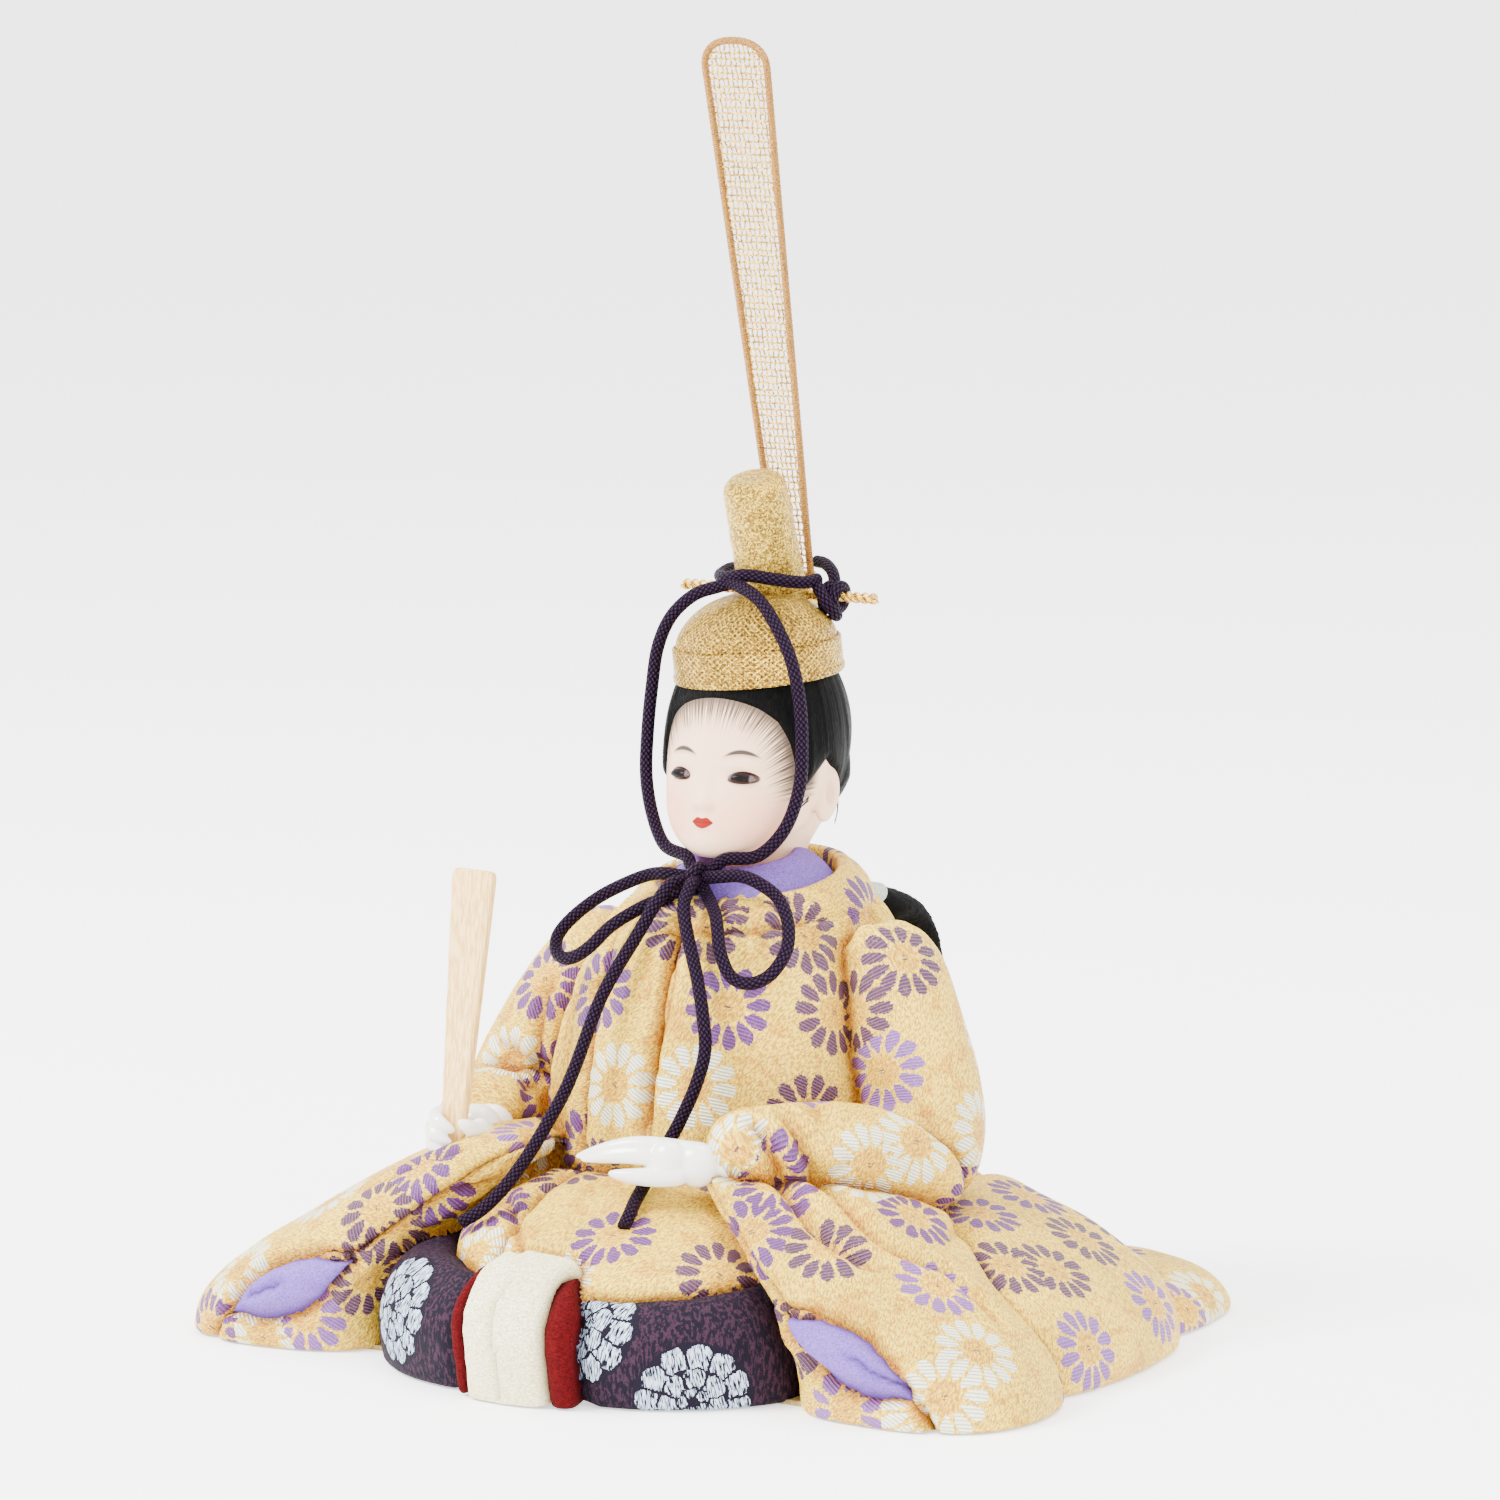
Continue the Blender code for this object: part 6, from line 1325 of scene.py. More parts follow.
def make_crown():
    leaf = gold_material("gold_weave", weave=True)
    crinkled = gold_material("gold_crinkled", weave=False)
    place_crown = crown_matrix()
    radius = BRIM_RADIUS * CAP_SHARE
    dome = [(radius, 0.24), (radius, 0.32), (radius, 0.42), (radius * 0.965, 0.53),
            (radius * 0.87, 0.66), (radius * 0.72, 0.79), (radius * 0.53, 0.89), (radius * 0.30, 0.96),
            (radius * 0.1, 0.99)]
    profile = [(radius - 0.6, 0.0), (radius, 0.2)] + rounded([(r, h * DOME_HEIGHT) for r, h in dome])
    profile.append((0.0, DOME_HEIGHT))
    cap = turned("crown_dome", profile[::-1], 96, place_crown, leaf)
    claim(cap, ["crown_cap"], "head")
    inner = BRIM_RADIUS * CAP_SHARE + 0.2
    ring = [(inner, BRIM_HEIGHT), (BRIM_RADIUS - 0.35, BRIM_HEIGHT), (BRIM_RADIUS, BRIM_HEIGHT - 0.35),
            (BRIM_RADIUS, 1.55), (BRIM_RADIUS + 0.22, 1.3),
            (BRIM_RADIUS + 0.24, 0.4), (BRIM_RADIUS + 0.05, 0.05), (inner, 0.0)]
    band = turned("brim_band", ring, 96, place_crown, leaf, closed=True)
    claim(band, ["crown_band"], "head")
    top = [(0.0, KOJI_LENGTH)]
    for k in range(9):
        t = math.pi / 2 * k / 8
        top.append((KOJI_TOP_RADIUS - KOJI_ROUND * (1 - math.sin(t)),
                    KOJI_LENGTH - KOJI_ROUND * (1 - math.cos(t))))
    foot = [(KOJI_TOP_RADIUS + (KOJI_RADIUS - KOJI_TOP_RADIUS) * k / 30,
             (KOJI_LENGTH - KOJI_ROUND) * (1 - k / 30)) for k in range(1, 31)]
    profile = top + foot + [(KOJI_RADIUS, -KOJI_SINK), (0.0, -KOJI_SINK)]

    def crinkle(t, r, z):
        where = Vector((math.cos(t) * 2.2, math.sin(t) * 2.2, z * 0.33))
        return (noise.noise(where) * 0.16 + noise.noise(where * 3.1) * 0.07) if r > 3 else 0.0

    koji = turned("koji_tower", profile, 96, koji_matrix(), crinkled, shift=crinkle)
    claim(koji, ["koji"], "head")
    make_pin()
    make_ei()


def make_pin():
    wire = gold_material("twisted_gold", weave=False, fine=True)
    strands = []
    turns = PIN_LENGTH / PIN_PITCH
    for k in range(2):
        line = []
        for i in range(int(turns * 16) + 1):
            share = i / int(turns * 16)
            t = math.tau * turns * share + math.pi * k
            x = PIN_LENGTH * (share - 0.5)
            z = PIN_HEIGHT - PIN_SLOPE * (share - 0.5)
            line.append(place((x, PIN_Y + 0.55 * math.cos(t), z + 0.55 * math.sin(t))))
        strands.append(tube(f"pin_strand_{k}", line, PIN_STRAND_RADIUS * MM, wire, sides=12))
    claim(joined("twisted_pin", strands), ["crown_pin"], "head")


def ei_half_width(height):
    return EI_BASE_HALF_WIDTH + (EI_TOP_HALF_WIDTH - EI_BASE_HALF_WIDTH) * height / EI_LENGTH


def ei_edge(inset):
    """Half the tail's outline, from its foot to the top of the arch."""
    arch = EI_LENGTH - EI_ARCH
    line = [(ei_half_width(h) - inset, h) for h in np.linspace(0.0, arch, 40)]
    for k in range(1, 19):
        t = math.pi / 2 * k / 18
        line.append((math.cos(t) ** 0.85 * (ei_half_width(arch) - inset),
                     arch + math.sin(t) ** 0.85 * (EI_ARCH - inset)))
    return line


def make_ei():
    """The tall tail: a wire loop wrapped in thread, and a net of single threads inside it."""
    rim_look = gold_material("wrapped_wire", weave=False, wrapped=True)
    thread_look = gold_material("net_thread", weave=False, fine=True)
    matrix = ei_matrix()
    right = ei_edge(EI_RIM_RADIUS)
    outline = [(-x, y) for x, y in right] + right[::-1][1:]
    outline = [(-1.0, -EI_STEM_LENGTH), (-1.1, -2.0), (-2.6, -0.3)] + outline
    outline += [(2.6, -0.3), (1.1, -2.0), (1.0, -EI_STEM_LENGTH)]
    line = smooth_route([matrix @ Vector((x * MM, y * MM, 0.0)) for x, y in outline], 0.4 * MM)

    def wound(turn, run):
        return 0.05 * math.sin(math.tau * run / (0.62 * MM) + turn)

    rim = tube("tail_rim", line, EI_RIM_RADIUS * MM, rim_look, sides=12, wave=wound)
    claim(rim, ["ei_frame"], "crown_tail")
    threads = []
    inner = ei_edge(EI_RIM_RADIUS * 1.5)
    heights = np.array([y for _, y in inner])
    halves = np.array([x for x, _ in inner])

    def point(x, y, k):
        return matrix @ Vector((x * MM, y * MM, 0.09 * MM * (1 if k % 2 else -1)))

    columns = int(EI_TOP_HALF_WIDTH / NET_COLUMN_PITCH)
    for c in range(-columns, columns + 1):
        x = c * NET_COLUMN_PITCH
        inside = [y for y, half in zip(np.linspace(0.4, EI_LENGTH - 1.2, 400),
                                       np.interp(np.linspace(0.4, EI_LENGTH - 1.2, 400), heights, halves))
                  if half > abs(x) - 0.05]
        if len(inside) < 12:
            continue
        steps = int((inside[-1] - inside[0]) / (NET_ROW_PITCH / 2))
        line = []
        for i in range(steps + 1):
            y = inside[0] + (inside[-1] - inside[0]) * i / steps
            sway = 0.16 * math.sin(math.pi * y / NET_ROW_PITCH + c) + 0.08 * noise.noise(Vector((c * 1.7,
                                                                                                 y * 0.2, 0)))
            line.append(point(x + sway, y, i))
        threads.append(tube(f"warp_{c}", line, NET_THREAD * MM, thread_look, sides=5))
    rows = int((EI_LENGTH - 2.0) / NET_ROW_PITCH)
    for r in range(1, rows + 1):
        y = r * NET_ROW_PITCH
        half = float(np.interp(y, heights, halves))
        if half < 1.5:
            continue
        steps = max(4, int(2 * half / 0.8))
        line = []
        for i in range(steps + 1):
            x = half * (2 * i / steps - 1)
            sag = 0.12 * noise.noise(Vector((x * 0.4, r * 1.3, 5.0))) + 0.12 * math.sin(r * 2.4)
            line.append(point(x, y + sag, i + r))
        threads.append(tube(f"weft_{r}", line, NET_THREAD * 1.1 * MM, thread_look, sides=5))
    claim(joined("tail_net", threads), ["ei_net"], "crown_tail")


def gold_material(name, weave, fine=False, wrapped=False):
    shade = Shader(name)
    where = shade.place()
    grain = shade.noise(where, 3.4, 3.0, 0.75)
    facet = shade.split(shade.cells(where, 2.6, output="Color"))[0]
    if weave:
        x, y, z = shade.split(where)
        around = shade.math("MULTIPLY", shade.math("ARCTAN2", shade.math("SUBTRACT", y, HEAD_AXIS_Y), x),
                            17.0)
        slant = shade.math("MULTIPLY", z, 1.25)
        first = shade.math("SINE", shade.math("MULTIPLY", shade.math("ADD", around, slant), 4.2))
        second = shade.math("SINE", shade.math("MULTIPLY", shade.math("SUBTRACT", around, slant), 4.2))
        cloth = shade.math("MAXIMUM", first, second)
        height = shade.math("ADD", shade.math("MULTIPLY", cloth, 0.55), shade.math("MULTIPLY", grain, 1.5))
        depth = 0.00045
    elif wrapped:
        turn, run, _ = shade.split(shade.attribute("along"))
        wound = shade.math("SINE", shade.math("ADD", shade.math("MULTIPLY", run, math.tau / (0.42 * MM)),
                                              shade.math("MULTIPLY", turn, math.tau)))
        height = shade.math("ADD", wound, grain)
        depth = 0.00012
    else:
        cells = shade.cells(where, 1.9)
        height = shade.math("ADD", shade.math("MULTIPLY", grain, 1.4), shade.math("MULTIPLY", cells, 0.5))
        depth = 0.0001 if fine else 0.00055
    if wrapped:
        dark, light = (0.12, 0.055, 0.018), (0.52, 0.24, 0.03)
    elif fine:
        dark, light = (0.24, 0.12, 0.030), (0.95, 0.55, 0.09)
    else:
        dark, light = (0.18, 0.076, 0.008), (0.97, 0.60, 0.08)
    # Uneven gilding whose bright and dark follow the bumps of the grain: partly painted light and shade
    colour = shade.mix(shade.step(grain, 0.36, 0.60), dark, light)
    if weave:
        # Threads that cross on the slant: the gaps between them get painted shade
        colour = shade.mix(shade.math("MULTIPLY", shade.step(cloth, 0.70, 0.15), 0.75), colour, dark)
    if not wrapped:
        # Painted glints: each cell of the gold is made brighter or darker, as sparkle on the metal
        painted_glint = shade.step(facet, 0.15, 0.9, 0.42, 1.6)
        colour = shade.mix(1.0, colour, shade.join(painted_glint, painted_glint, painted_glint), "MULTIPLY")
    if not weave and not fine and not wrapped:
        # Dark flecks in the crinkled gold, denser towards the koji's foot
        lower_dark_flecks = shade.math("MULTIPLY", shade.step(shade.noise(where, 1.7, 4.0, 0.8), 0.60, 0.68),
                          shade.step(shade.split(where)[2], 176.0, 150.0, 0.15, 1.0))
        colour = shade.mix(shade.math("MULTIPLY", lower_dark_flecks, 0.6), colour, (0.042, 0.021, 0.007))
    return shade.finish(colour=colour, roughness=0.3 if not wrapped else 0.5, metallic=0.85 if not wrapped
                        else 0.45,
                        normal=shade.bump(height, depth, 1.0), specular_ior_level=0.5)


# Head
HAIR_THICKNESS = 1.5
# Height, half width, front depth and back depth of the head's rings.
HEAD_ROWS = (
    (99.0, 4.84, 21.02, -8.55), (101.4, 10.23, 23.28, 1.9), (105.72, 14.88, 23.5, 9.5),
    (112.44, 18.04, 22.37, 15.2), (120.12, 19.16, 21.02, 18.62), (127.8, 18.23, 19.21, 18.62),
    (134.52, 16.0, 16.27, 16.34), (141.24, 11.9, 11.98, 11.97), (146.04, 6.14, 6.1, 6.27),
)
# The hair's side outline, as y and z, closed over the crown.
HAIR_OUTLINE = (
    (-26.6, 136.2), (-20.8, 135.4), (-18.8, 134.4), (-16.5, 132.4), (-14.5, 130.2), (-12.6, 127.4),
    (-11.4, 123.0), (-10.9, 119.0), (-10.8, 115.4), (-10.0, 113.9), (-8.6, 114.3), (-6.0, 116.8), (-3.0,
                                                                                                   119.4),
    (0.0, 117.0), (2.0, 114.0), (3.8, 111.0), (5.6, 108.0), (7.0, 105.8), (26.6, 104.9), (26.6, 156.6),
    (-26.6, 156.6),
)
# Height, middle y and radius of the neck, which widens up into the nape.
NECK_ROWS = (
    (91.5, 0.4, 7.4), (94.0, 1.2, 7.8), (97.0, 2.0, 8.3), (100.0, 2.8, 9.0), (103.0, 3.6, 10.4),
    (106.5, 4.3, 12.2), (110.0, 4.8, 13.8), (113.5, 5.0, 14.6), (117.0, 4.0, 14.0),
)
EYE_PLACES = {"eye_right": (-7.4, -19.2, 116.0), "eye_left": (7.4, -19.2, 116.0)}
EYE_HALF = (2.95, 1.3, 1.12)
# Soft forms of the face: middle, radii, height out of the skin.
FACE_FORMS = (
    ((0.0, -23.6, 110.9), (1.7, 3.0, 1.9), 1.9),
    ((0.0, -22.0, 114.6), (1.3, 3.0, 3.6), 0.8),
    ((-1.5, -22.6, 110.3), (0.9, 2.0, 0.8), 0.35), ((1.5, -22.6, 110.3), (0.9, 2.0, 0.8), 0.35),
    ((0.0, -23.0, 107.7), (2.1, 3.0, 0.62), 0.42), ((0.0, -23.0, 106.3), (1.6, 3.0, 0.65), 0.48),
    ((0.0, -23.0, 104.9), (2.6, 3.0, 0.8), -0.22), ((0.0, -23.0, 109.2), (0.7, 3.0, 0.8), -0.15),
    ((-9.5, -18.0, 107.5), (6.0, 8.0, 6.0), 0.65), ((9.5, -18.0, 107.5), (6.0, 8.0, 6.0), 0.65),
    ((0.0, -22.0, 102.5), (4.5, 6.0, 2.8), 0.45),
    ((-7.4, -20.0, 116.4), (4.2, 5.0, 2.0), -0.55), ((7.4, -20.0, 116.4), (4.2, 5.0, 2.0), -0.55),
    ((-7.4, -20.0, 118.4), (4.6, 5.0, 1.1), 0.38), ((7.4, -20.0, 118.4), (4.6, 5.0, 1.1), 0.38),
    ((-7.4, -20.0, 114.2), (4.2, 5.0, 0.9), 0.22), ((7.4, -20.0, 114.2), (4.2, 5.0, 0.9), 0.22),
)


def head_form(levels):
    rings = []
    for height, half, front, back in HEAD_ROWS:
        middle = (front - back) / -2
        depth = (front + back) / 2
        rings.append(oval((0.0, middle, height), half, depth, depth, 0.95, 10))
    return loft("head_form", rings, levels)


def remeshed(item, size, rounds):
    """A body's skin as one even mesh, smoothed a few times: its points and faces."""
    remesh = item.modifiers.new("remesh", "REMESH")
    remesh.mode = "VOXEL"
    remesh.voxel_size = size
    points, quads = read_mesh(baked(item))
    edges = edges_of(quads)
    for _ in range(rounds):
        points = points * 0.5 + averaged(points, edges, len(points)) * 0.5
    return points, quads


def blob(name, centre, sizes, turn=None):
    work = bmesh.new()
    bmesh.ops.create_uvsphere(work, u_segments=32, v_segments=20, radius=1.0)
    for vertex in work.verts:
        local = Vector([c * s for c, s in zip(vertex.co, sizes)])
        vertex.co = place(Vector(centre) + (turn @ local if turn else local))
    mesh = bpy.data.meshes.new(name)
    work.to_mesh(mesh)
    work.free()
    return add_object(name, mesh)


def make_head():
    neck = [oval((0.0, y, z), r, r, r, 1.0, 32) for z, y, r in NECK_ROWS]
    parts = [head_form(4), loft("neck_form", neck)]
    for side in (-1, 1):
        lean = Matrix.Rotation(math.radians(-14 * side), 3, "Z") @ Matrix.Rotation(math.radians(-12), 3, "X")
        parts.append(blob("ear", (side * 16.9, -1.2, 111.4), (1.8, 3.2, 5.8), lean))
    points, quads = remeshed(joined("head_body", parts), 0.42 * MM, 6)
    normal = normals_of(points, quads)
    local = table_places(points)
    shift = np.zeros(len(points))
    for centre, radii, height in FACE_FORMS:
        gap = ((local - np.array(centre)) / np.array(radii)) ** 2
        shift += height * np.exp(-gap.sum(axis=1))
    for side in (-1, 1):
        bowl = ((local - np.array((side * 19.0, -1.6, 112.4))) / np.array((1.8, 1.3, 2.8))) ** 2
        shift -= 1.2 * np.exp(-bowl.sum(axis=1))
        notch = ((local - np.array((side * 18.4, -2.6, 110.6))) / np.array((1.6, 0.8, 1.8))) ** 2
        shift -= 0.5 * np.exp(-notch.sum(axis=1))
    points = points + normal * (shift * MM)[:, None]
    head = add_object("head_shell", mesh_from("head_shell", points, quads), skin_material())
    edge = head.data.attributes.new("hairline", "FLOAT", "POINT")
    edge.data.foreach_set("value", np.clip(-inside_outline(local[:, 1], local[:, 2], list(HAIR_OUTLINE)), -5,
                                           50))
    claim(head, ["head"], "head")
    for name, (x, y, z) in EYE_PLACES.items():
        side = 1 if x > 0 else -1
        turn = Matrix.Rotation(math.radians(21 * side), 3, "Z") @ Matrix.Rotation(math.radians(3 * side), 3,
                                                                                  "Y")
        eye = blob("glass_" + name, (x, y + 0.35, z), EYE_HALF, turn)
        eye.data.materials.append(eye_material("glass_" + name, x))
        almond(eye, (x, y + 0.35, z), turn)
        claim(eye, [name], "head")
    make_hair()


def almond(eye, centre, turn):
    """Draws an eye's lower half up and its corners to points."""
    points = vertex_places(eye.data)
    middle = np.array(place(centre))
    frame_of = np.array(turn)
    local = (points - middle) @ frame_of
    share = np.clip(np.abs(local[:, 0]) / (EYE_HALF[0] * MM), 0, 1)
    local[:, 2] *= np.where(local[:, 2] > 0, 1.12, 0.72) * (1 - 0.45 * share**3)
    eye.data.vertices.foreach_set("co", (local @ frame_of.T + middle).ravel())


def inside_outline(y, z, outline):
    """How far each point is inside a closed outline: negative outside."""
    inside = np.zeros(len(y), bool)
    away = np.full(len(y), 1e9)
    for (y0, z0), (y1, z1) in zip(outline, outline[1:] + outline[:1]):
        crosses = ((z0 > z) != (z1 > z))
        where = (y1 - y0) * (z - z0) / ((z1 - z0) if z1 != z0 else 1e-9) + y0
        inside ^= crosses & (y < where)
        span = np.array((y1 - y0, z1 - z0))
        t = np.clip(((y - y0) * span[0] + (z - z0) * span[1]) / (span @ span), 0, 1)
        away = np.minimum(away, np.hypot(y - y0 - t * span[0], z - z0 - t * span[1]))
    return np.where(inside, away, -away)


def make_hair():
    """Combed silk: a shell that thins to nothing at the hairline, ridged along the hair."""
    mesh = head_form(5).data
    points, quads = read_mesh(mesh)
    bpy.data.objects.remove(bpy.data.objects["head_form"], do_unlink=True)
    normal = normals_of(points, quads)
    local = table_places(points)
    depth = inside_outline(local[:, 1], local[:, 2], list(HAIR_OUTLINE))
    angle = np.arctan2(local[:, 0], local[:, 1])
    ridge = np.array([noise.noise(Vector((a * 26, z * 0.10, 1.0))) for a, z in zip(angle, local[:, 2])])
    locks = np.array([noise.noise(Vector((a * 7, z * 0.06, 4.0))) for a, z in zip(angle, local[:, 2])])
    rise = HAIR_THICKNESS * (1 - np.exp(-np.clip(depth + 0.25, 0, None) / 0.9)) + np.clip(depth + 0.25, -1.5,
                                                                                          0)
    under = crown_clearance(local)
    nape = np.clip((local[:, 1] - 4.5) / 2.5, 0, 1) * np.clip((119.0 - local[:, 2]) / 4.0, 0, 1)
    rise += 1.3 * nape * np.clip(depth / 1.5, 0, 1)
    rise += (ridge * 0.14 + locks * 0.30) * np.clip(depth / 2.0, 0, 1)
    points = points + normal * (rise * MM)[:, None]
    keep = (depth[quads] > -1.2).any(axis=1) & (under[quads] < 0.4).any(axis=1)
    points, quads = compact(points, quads[keep])
    hair = add_object("combed_hair", mesh_from("combed_hair", points, quads), hair_material())
    thick = hair.modifiers.new("thick", "SOLIDIFY")
    thick.thickness = 0.3 * MM
    thick.offset = -1.0
    strands = make_strands()
    claim(joined("combed_hair", [hair_applied(hair), *strands]), ["hair"], "head")


def hair_applied(item):
    item.data = baked_mesh(item)
    return item


def crown_clearance(local):
    """Height above the brim's lower edge, square to the crown's tilt."""
    matrix = np.array(crown_matrix().inverted())
    world = np.column_stack([local[:, 0], local[:, 1] + HEAD_AXIS_Y, local[:, 2]]) * MM
    return (world @ matrix[2, :3] + matrix[2, 3]) / MM


def make_strands():
    """Loose hairs along the side lock, over the ear and at the nape."""
    generator = np.random.default_rng(11)
    look = bpy.data.materials["silk_hair"]
    strands = []
    for side in (-1, 1):
        for _ in range(26):
            u = generator.random()
            start = Vector((side * (15.0 - 1.6 * u), 6.4 + 2.2 * u, 109.5))
            tip = Vector((side * (13.6 - 0.5 * u), 7.4 + 0.9 * u, 104.2 + generator.normal() * 0.25))
            strands.append((start, tip))
    for k in range(8):
        side = -1 if k % 2 else 1
        start = Vector((side * 16.9, -8.4, 111.5 + generator.normal() * 0.3))
        strands.append((start, start + Vector((side * -2.6, -3.4, -3.2 + generator.normal() * 0.4))))
    curve = bpy.data.curves.new("strands", "CURVE")
    curve.dimensions = "3D"
    curve.bevel_depth = 0.13 * MM
    curve.bevel_resolution = 0
    for start, tip in strands:
        spline = curve.splines.new("POLY")
        spline.points.add(4)
        for i, point in enumerate(spline.points):
            s = i / 4
            middle = start.lerp(tip, s)
            out = Vector((middle.x, 0, 0)).normalized() * (0.35 * math.sin(math.pi * s))
            point.co = (*place(middle + out), 1.0)
            point.radius = 1.0 - 0.75 * s
    made = add_object("strands", curve, smooth=False)
    mesh = baked(made)
    mesh.materials.clear()
    return [add_object("strand_mesh", mesh, look)]


def hair_material():
    shade = Shader("silk_hair")
    where = shade.place()
    x, y, z = shade.split(where)
    angle = shade.math("ARCTAN2", x, shade.math("SUBTRACT", y, HEAD_AXIS_Y))
    lay = shade.join(shade.math("MULTIPLY", angle, 17.0), 0.0, shade.math("MULTIPLY", z, 0.16))
    fine = shade.noise(lay, 3.6, 3.0, 0.7)
    height = shade.math("ADD", fine, shade.math("MULTIPLY", shade.noise(lay, 0.9, 2.0), 0.8))
    # Painted sheen: the raised strands are a little lighter than the hollows
    colour = shade.mix(shade.step(fine, 0.42, 0.72), (0.0008, 0.0008, 0.0008), (0.0042, 0.0038, 0.0036))
    return shade.finish(colour=colour, roughness=0.42, normal=shade.bump(height, 0.0003, 0.9),
                        specular_ior_level=0.035)


def skin_material():
    """Ivory skin with painted brows, lids, lips and the brushed edge of the hair."""
    shade = Shader("painted_skin")
    where = shade.place()
    x, y, z = shade.split(where)
    y = shade.math("SUBTRACT", y, HEAD_AXIS_Y)
    front = shade.step(y, -8.0, -11.0)
    wide = shade.math("ABSOLUTE", x)
    skin = shade.mix(shade.step(shade.noise(where, 0.12, 2.0), 0.35, 0.65, 0.0, 0.4),
                     (0.84, 0.57, 0.38), (0.78, 0.48, 0.32))
    # Painted shade under the chin: the neck below it is darker and redder
    neck = shade.step(z, 101.0, 94.0)
    skin = shade.mix(shade.math("MULTIPLY", neck, 0.7), skin, (0.64, 0.20, 0.16))

    def oval_mask(cx, cz, half_x, half_z, soft, slant=0.0, hollow=0.0):
        """A soft oval on the face, the same on both sides."""
        dx = shade.math("SUBTRACT", wide, cx)
        dz = shade.math("SUBTRACT", shade.math("SUBTRACT", z, cz), shade.math("MULTIPLY", dx, slant))
        dz = shade.math("ADD", dz, shade.math("MULTIPLY", shade.math("MULTIPLY", dx, dx), hollow))
        r = shade.math("ADD", shade.math("POWER", shade.math("DIVIDE", dx, half_x), 2.0),
                       shade.math("POWER", shade.math("DIVIDE", dz, half_z), 2.0))
        return shade.math("MULTIPLY", shade.step(r, 1.0 + soft, max(1.0 - soft, 0.0)), front)

    def paint(base, mask, strength, colour):
        return shade.mix(shade.math("MULTIPLY", mask, strength), base, colour)

    skin = paint(skin, oval_mask(9.5, 107.5, 6.5, 5.5, 0.95), 0.30, (0.81, 0.20, 0.12))
    # Painted shade beside and under the nose
    skin = paint(skin, oval_mask(1.7, 110.0, 1.1, 0.9, 0.9), 0.22, (0.42, 0.20, 0.13))
    skin = paint(skin, oval_mask(7.0, 126.4, 1.5, 1.1, 0.8), 0.22, (0.041, 0.037, 0.041))
    skin = paint(skin, oval_mask(6.9, 121.35, 3.3, 0.44, 0.6, -0.03, 0.085), 0.95, (0.018, 0.012, 0.010))
    skin = paint(skin, oval_mask(6.7, 121.1, 3.0, 0.75, 0.95, -0.03, 0.085), 0.35, (0.042, 0.031, 0.027))
    skin = paint(skin, oval_mask(7.5, 116.15, 3.1, 1.22, 0.14, 0.0, 0.03), 0.95, (0.030, 0.005, 0.006))
    upper = paint(skin, oval_mask(7.5, 117.25, 3.0, 0.30, 0.4, -0.02, 0.10), 0.95, (0.030, 0.004, 0.005))
    lashes = shade.noise(shade.join(shade.math("MULTIPLY",
                                               shade.math("ADD", wide, shade.math("MULTIPLY", z, 0.55)), 3.4),
                                    0.0, 0.0), 1.0, 1.0, 0.5)
    lash = shade.math("MULTIPLY", oval_mask(8.9, 113.9, 2.6, 0.85, 0.6, 0.12), shade.step(lashes, 0.60, 0.66))
    skin = paint(upper, lash, 0.55, (0.042, 0.031, 0.027))
    lip_x = shade.math("DIVIDE", wide, 2.75)
    bow = shade.math("MULTIPLY", shade.math("COSINE", shade.math("MULTIPLY", wide, 2.6)), -0.16)
    top = shade.math("ADD", 108.05, shade.math("SUBTRACT", bow,
                                               shade.math("MULTIPLY", shade.math("POWER", lip_x, 2.0), 0.95)))
    low = shade.math("ADD", 105.75, shade.math("MULTIPLY", shade.math("POWER", lip_x, 2.0), 1.45))
    inside = shade.math("MINIMUM", shade.math("SUBTRACT", top, z), shade.math("SUBTRACT", z, low))
    lips = shade.math("MULTIPLY", shade.step(inside, -0.06, 0.10), front)
    parting = shade.step(shade.math("ABSOLUTE", shade.math("SUBTRACT", z, 107.0)), 0.22, 0.05)
    red = shade.mix(shade.math("MULTIPLY", parting, 0.5), (0.22, 0.004, 0.0005), (0.085, 0.002, 0.001))
    skin = shade.mix(lips, skin, red)
    # Strokes of the brushed hair's edge run in towards the face, long and short
    away = shade.math("SUBTRACT", shade.attribute_value("hairline"), 0.5)
    cx, cz = shade.math("MULTIPLY", x, 1.1), shade.math("SUBTRACT", z, 108.0)
    turn = shade.math("ARCTAN2", cz, cx)
    brush = shade.noise(shade.join(shade.math("MULTIPLY", turn, 40.0), 0.0, 0.0), 1.0, 3.0, 0.75)
    long = shade.step(brush, 0.36, 0.62, 2.5, 7.0)
    strokes = shade.step(shade.math("DIVIDE", away, long), 1.0, 0.3)
    thin = shade.step(brush, 0.44, 0.52)
    strokes = shade.math("MULTIPLY", strokes, shade.math("MAXIMUM", thin,
                                                         shade.step(away, 3.0, 0.0, 0.0, 0.9)))
    mask = shade.math("MULTIPLY", strokes, shade.step(y, -4.0, -7.0))
    mask = shade.math("MULTIPLY", mask, shade.step(z, 108.0, 114.0))
    skin = shade.mix(shade.math("MULTIPLY", mask, 0.93), skin, (0.016, 0.012, 0.009))
    # Painted shade in the hollow of the ear, which is a little darker
    ear_y, ear_z = shade.math("DIVIDE", shade.math("ADD", y, 1.6), 1.3), shade.math("DIVIDE",
                                                                                    shade.math("SUBTRACT", z,
                                                                                               112.0), 2.8)
    ear = shade.math("ADD", shade.math("MULTIPLY", ear_y, ear_y), shade.math("MULTIPLY", ear_z, ear_z))
    ear = shade.math("MULTIPLY", shade.step(ear, 1.4, 0.3), shade.step(wide, 16.5, 17.2))
    skin = shade.mix(shade.math("MULTIPLY", ear, 0.4), skin, (0.50, 0.24, 0.16))
    return shade.finish(colour=skin, roughness=0.5, specular_ior_level=0.16, subsurface_weight=0.05,
                        subsurface_radius=(0.002, 0.0012, 0.0008), subsurface_scale=1.0)


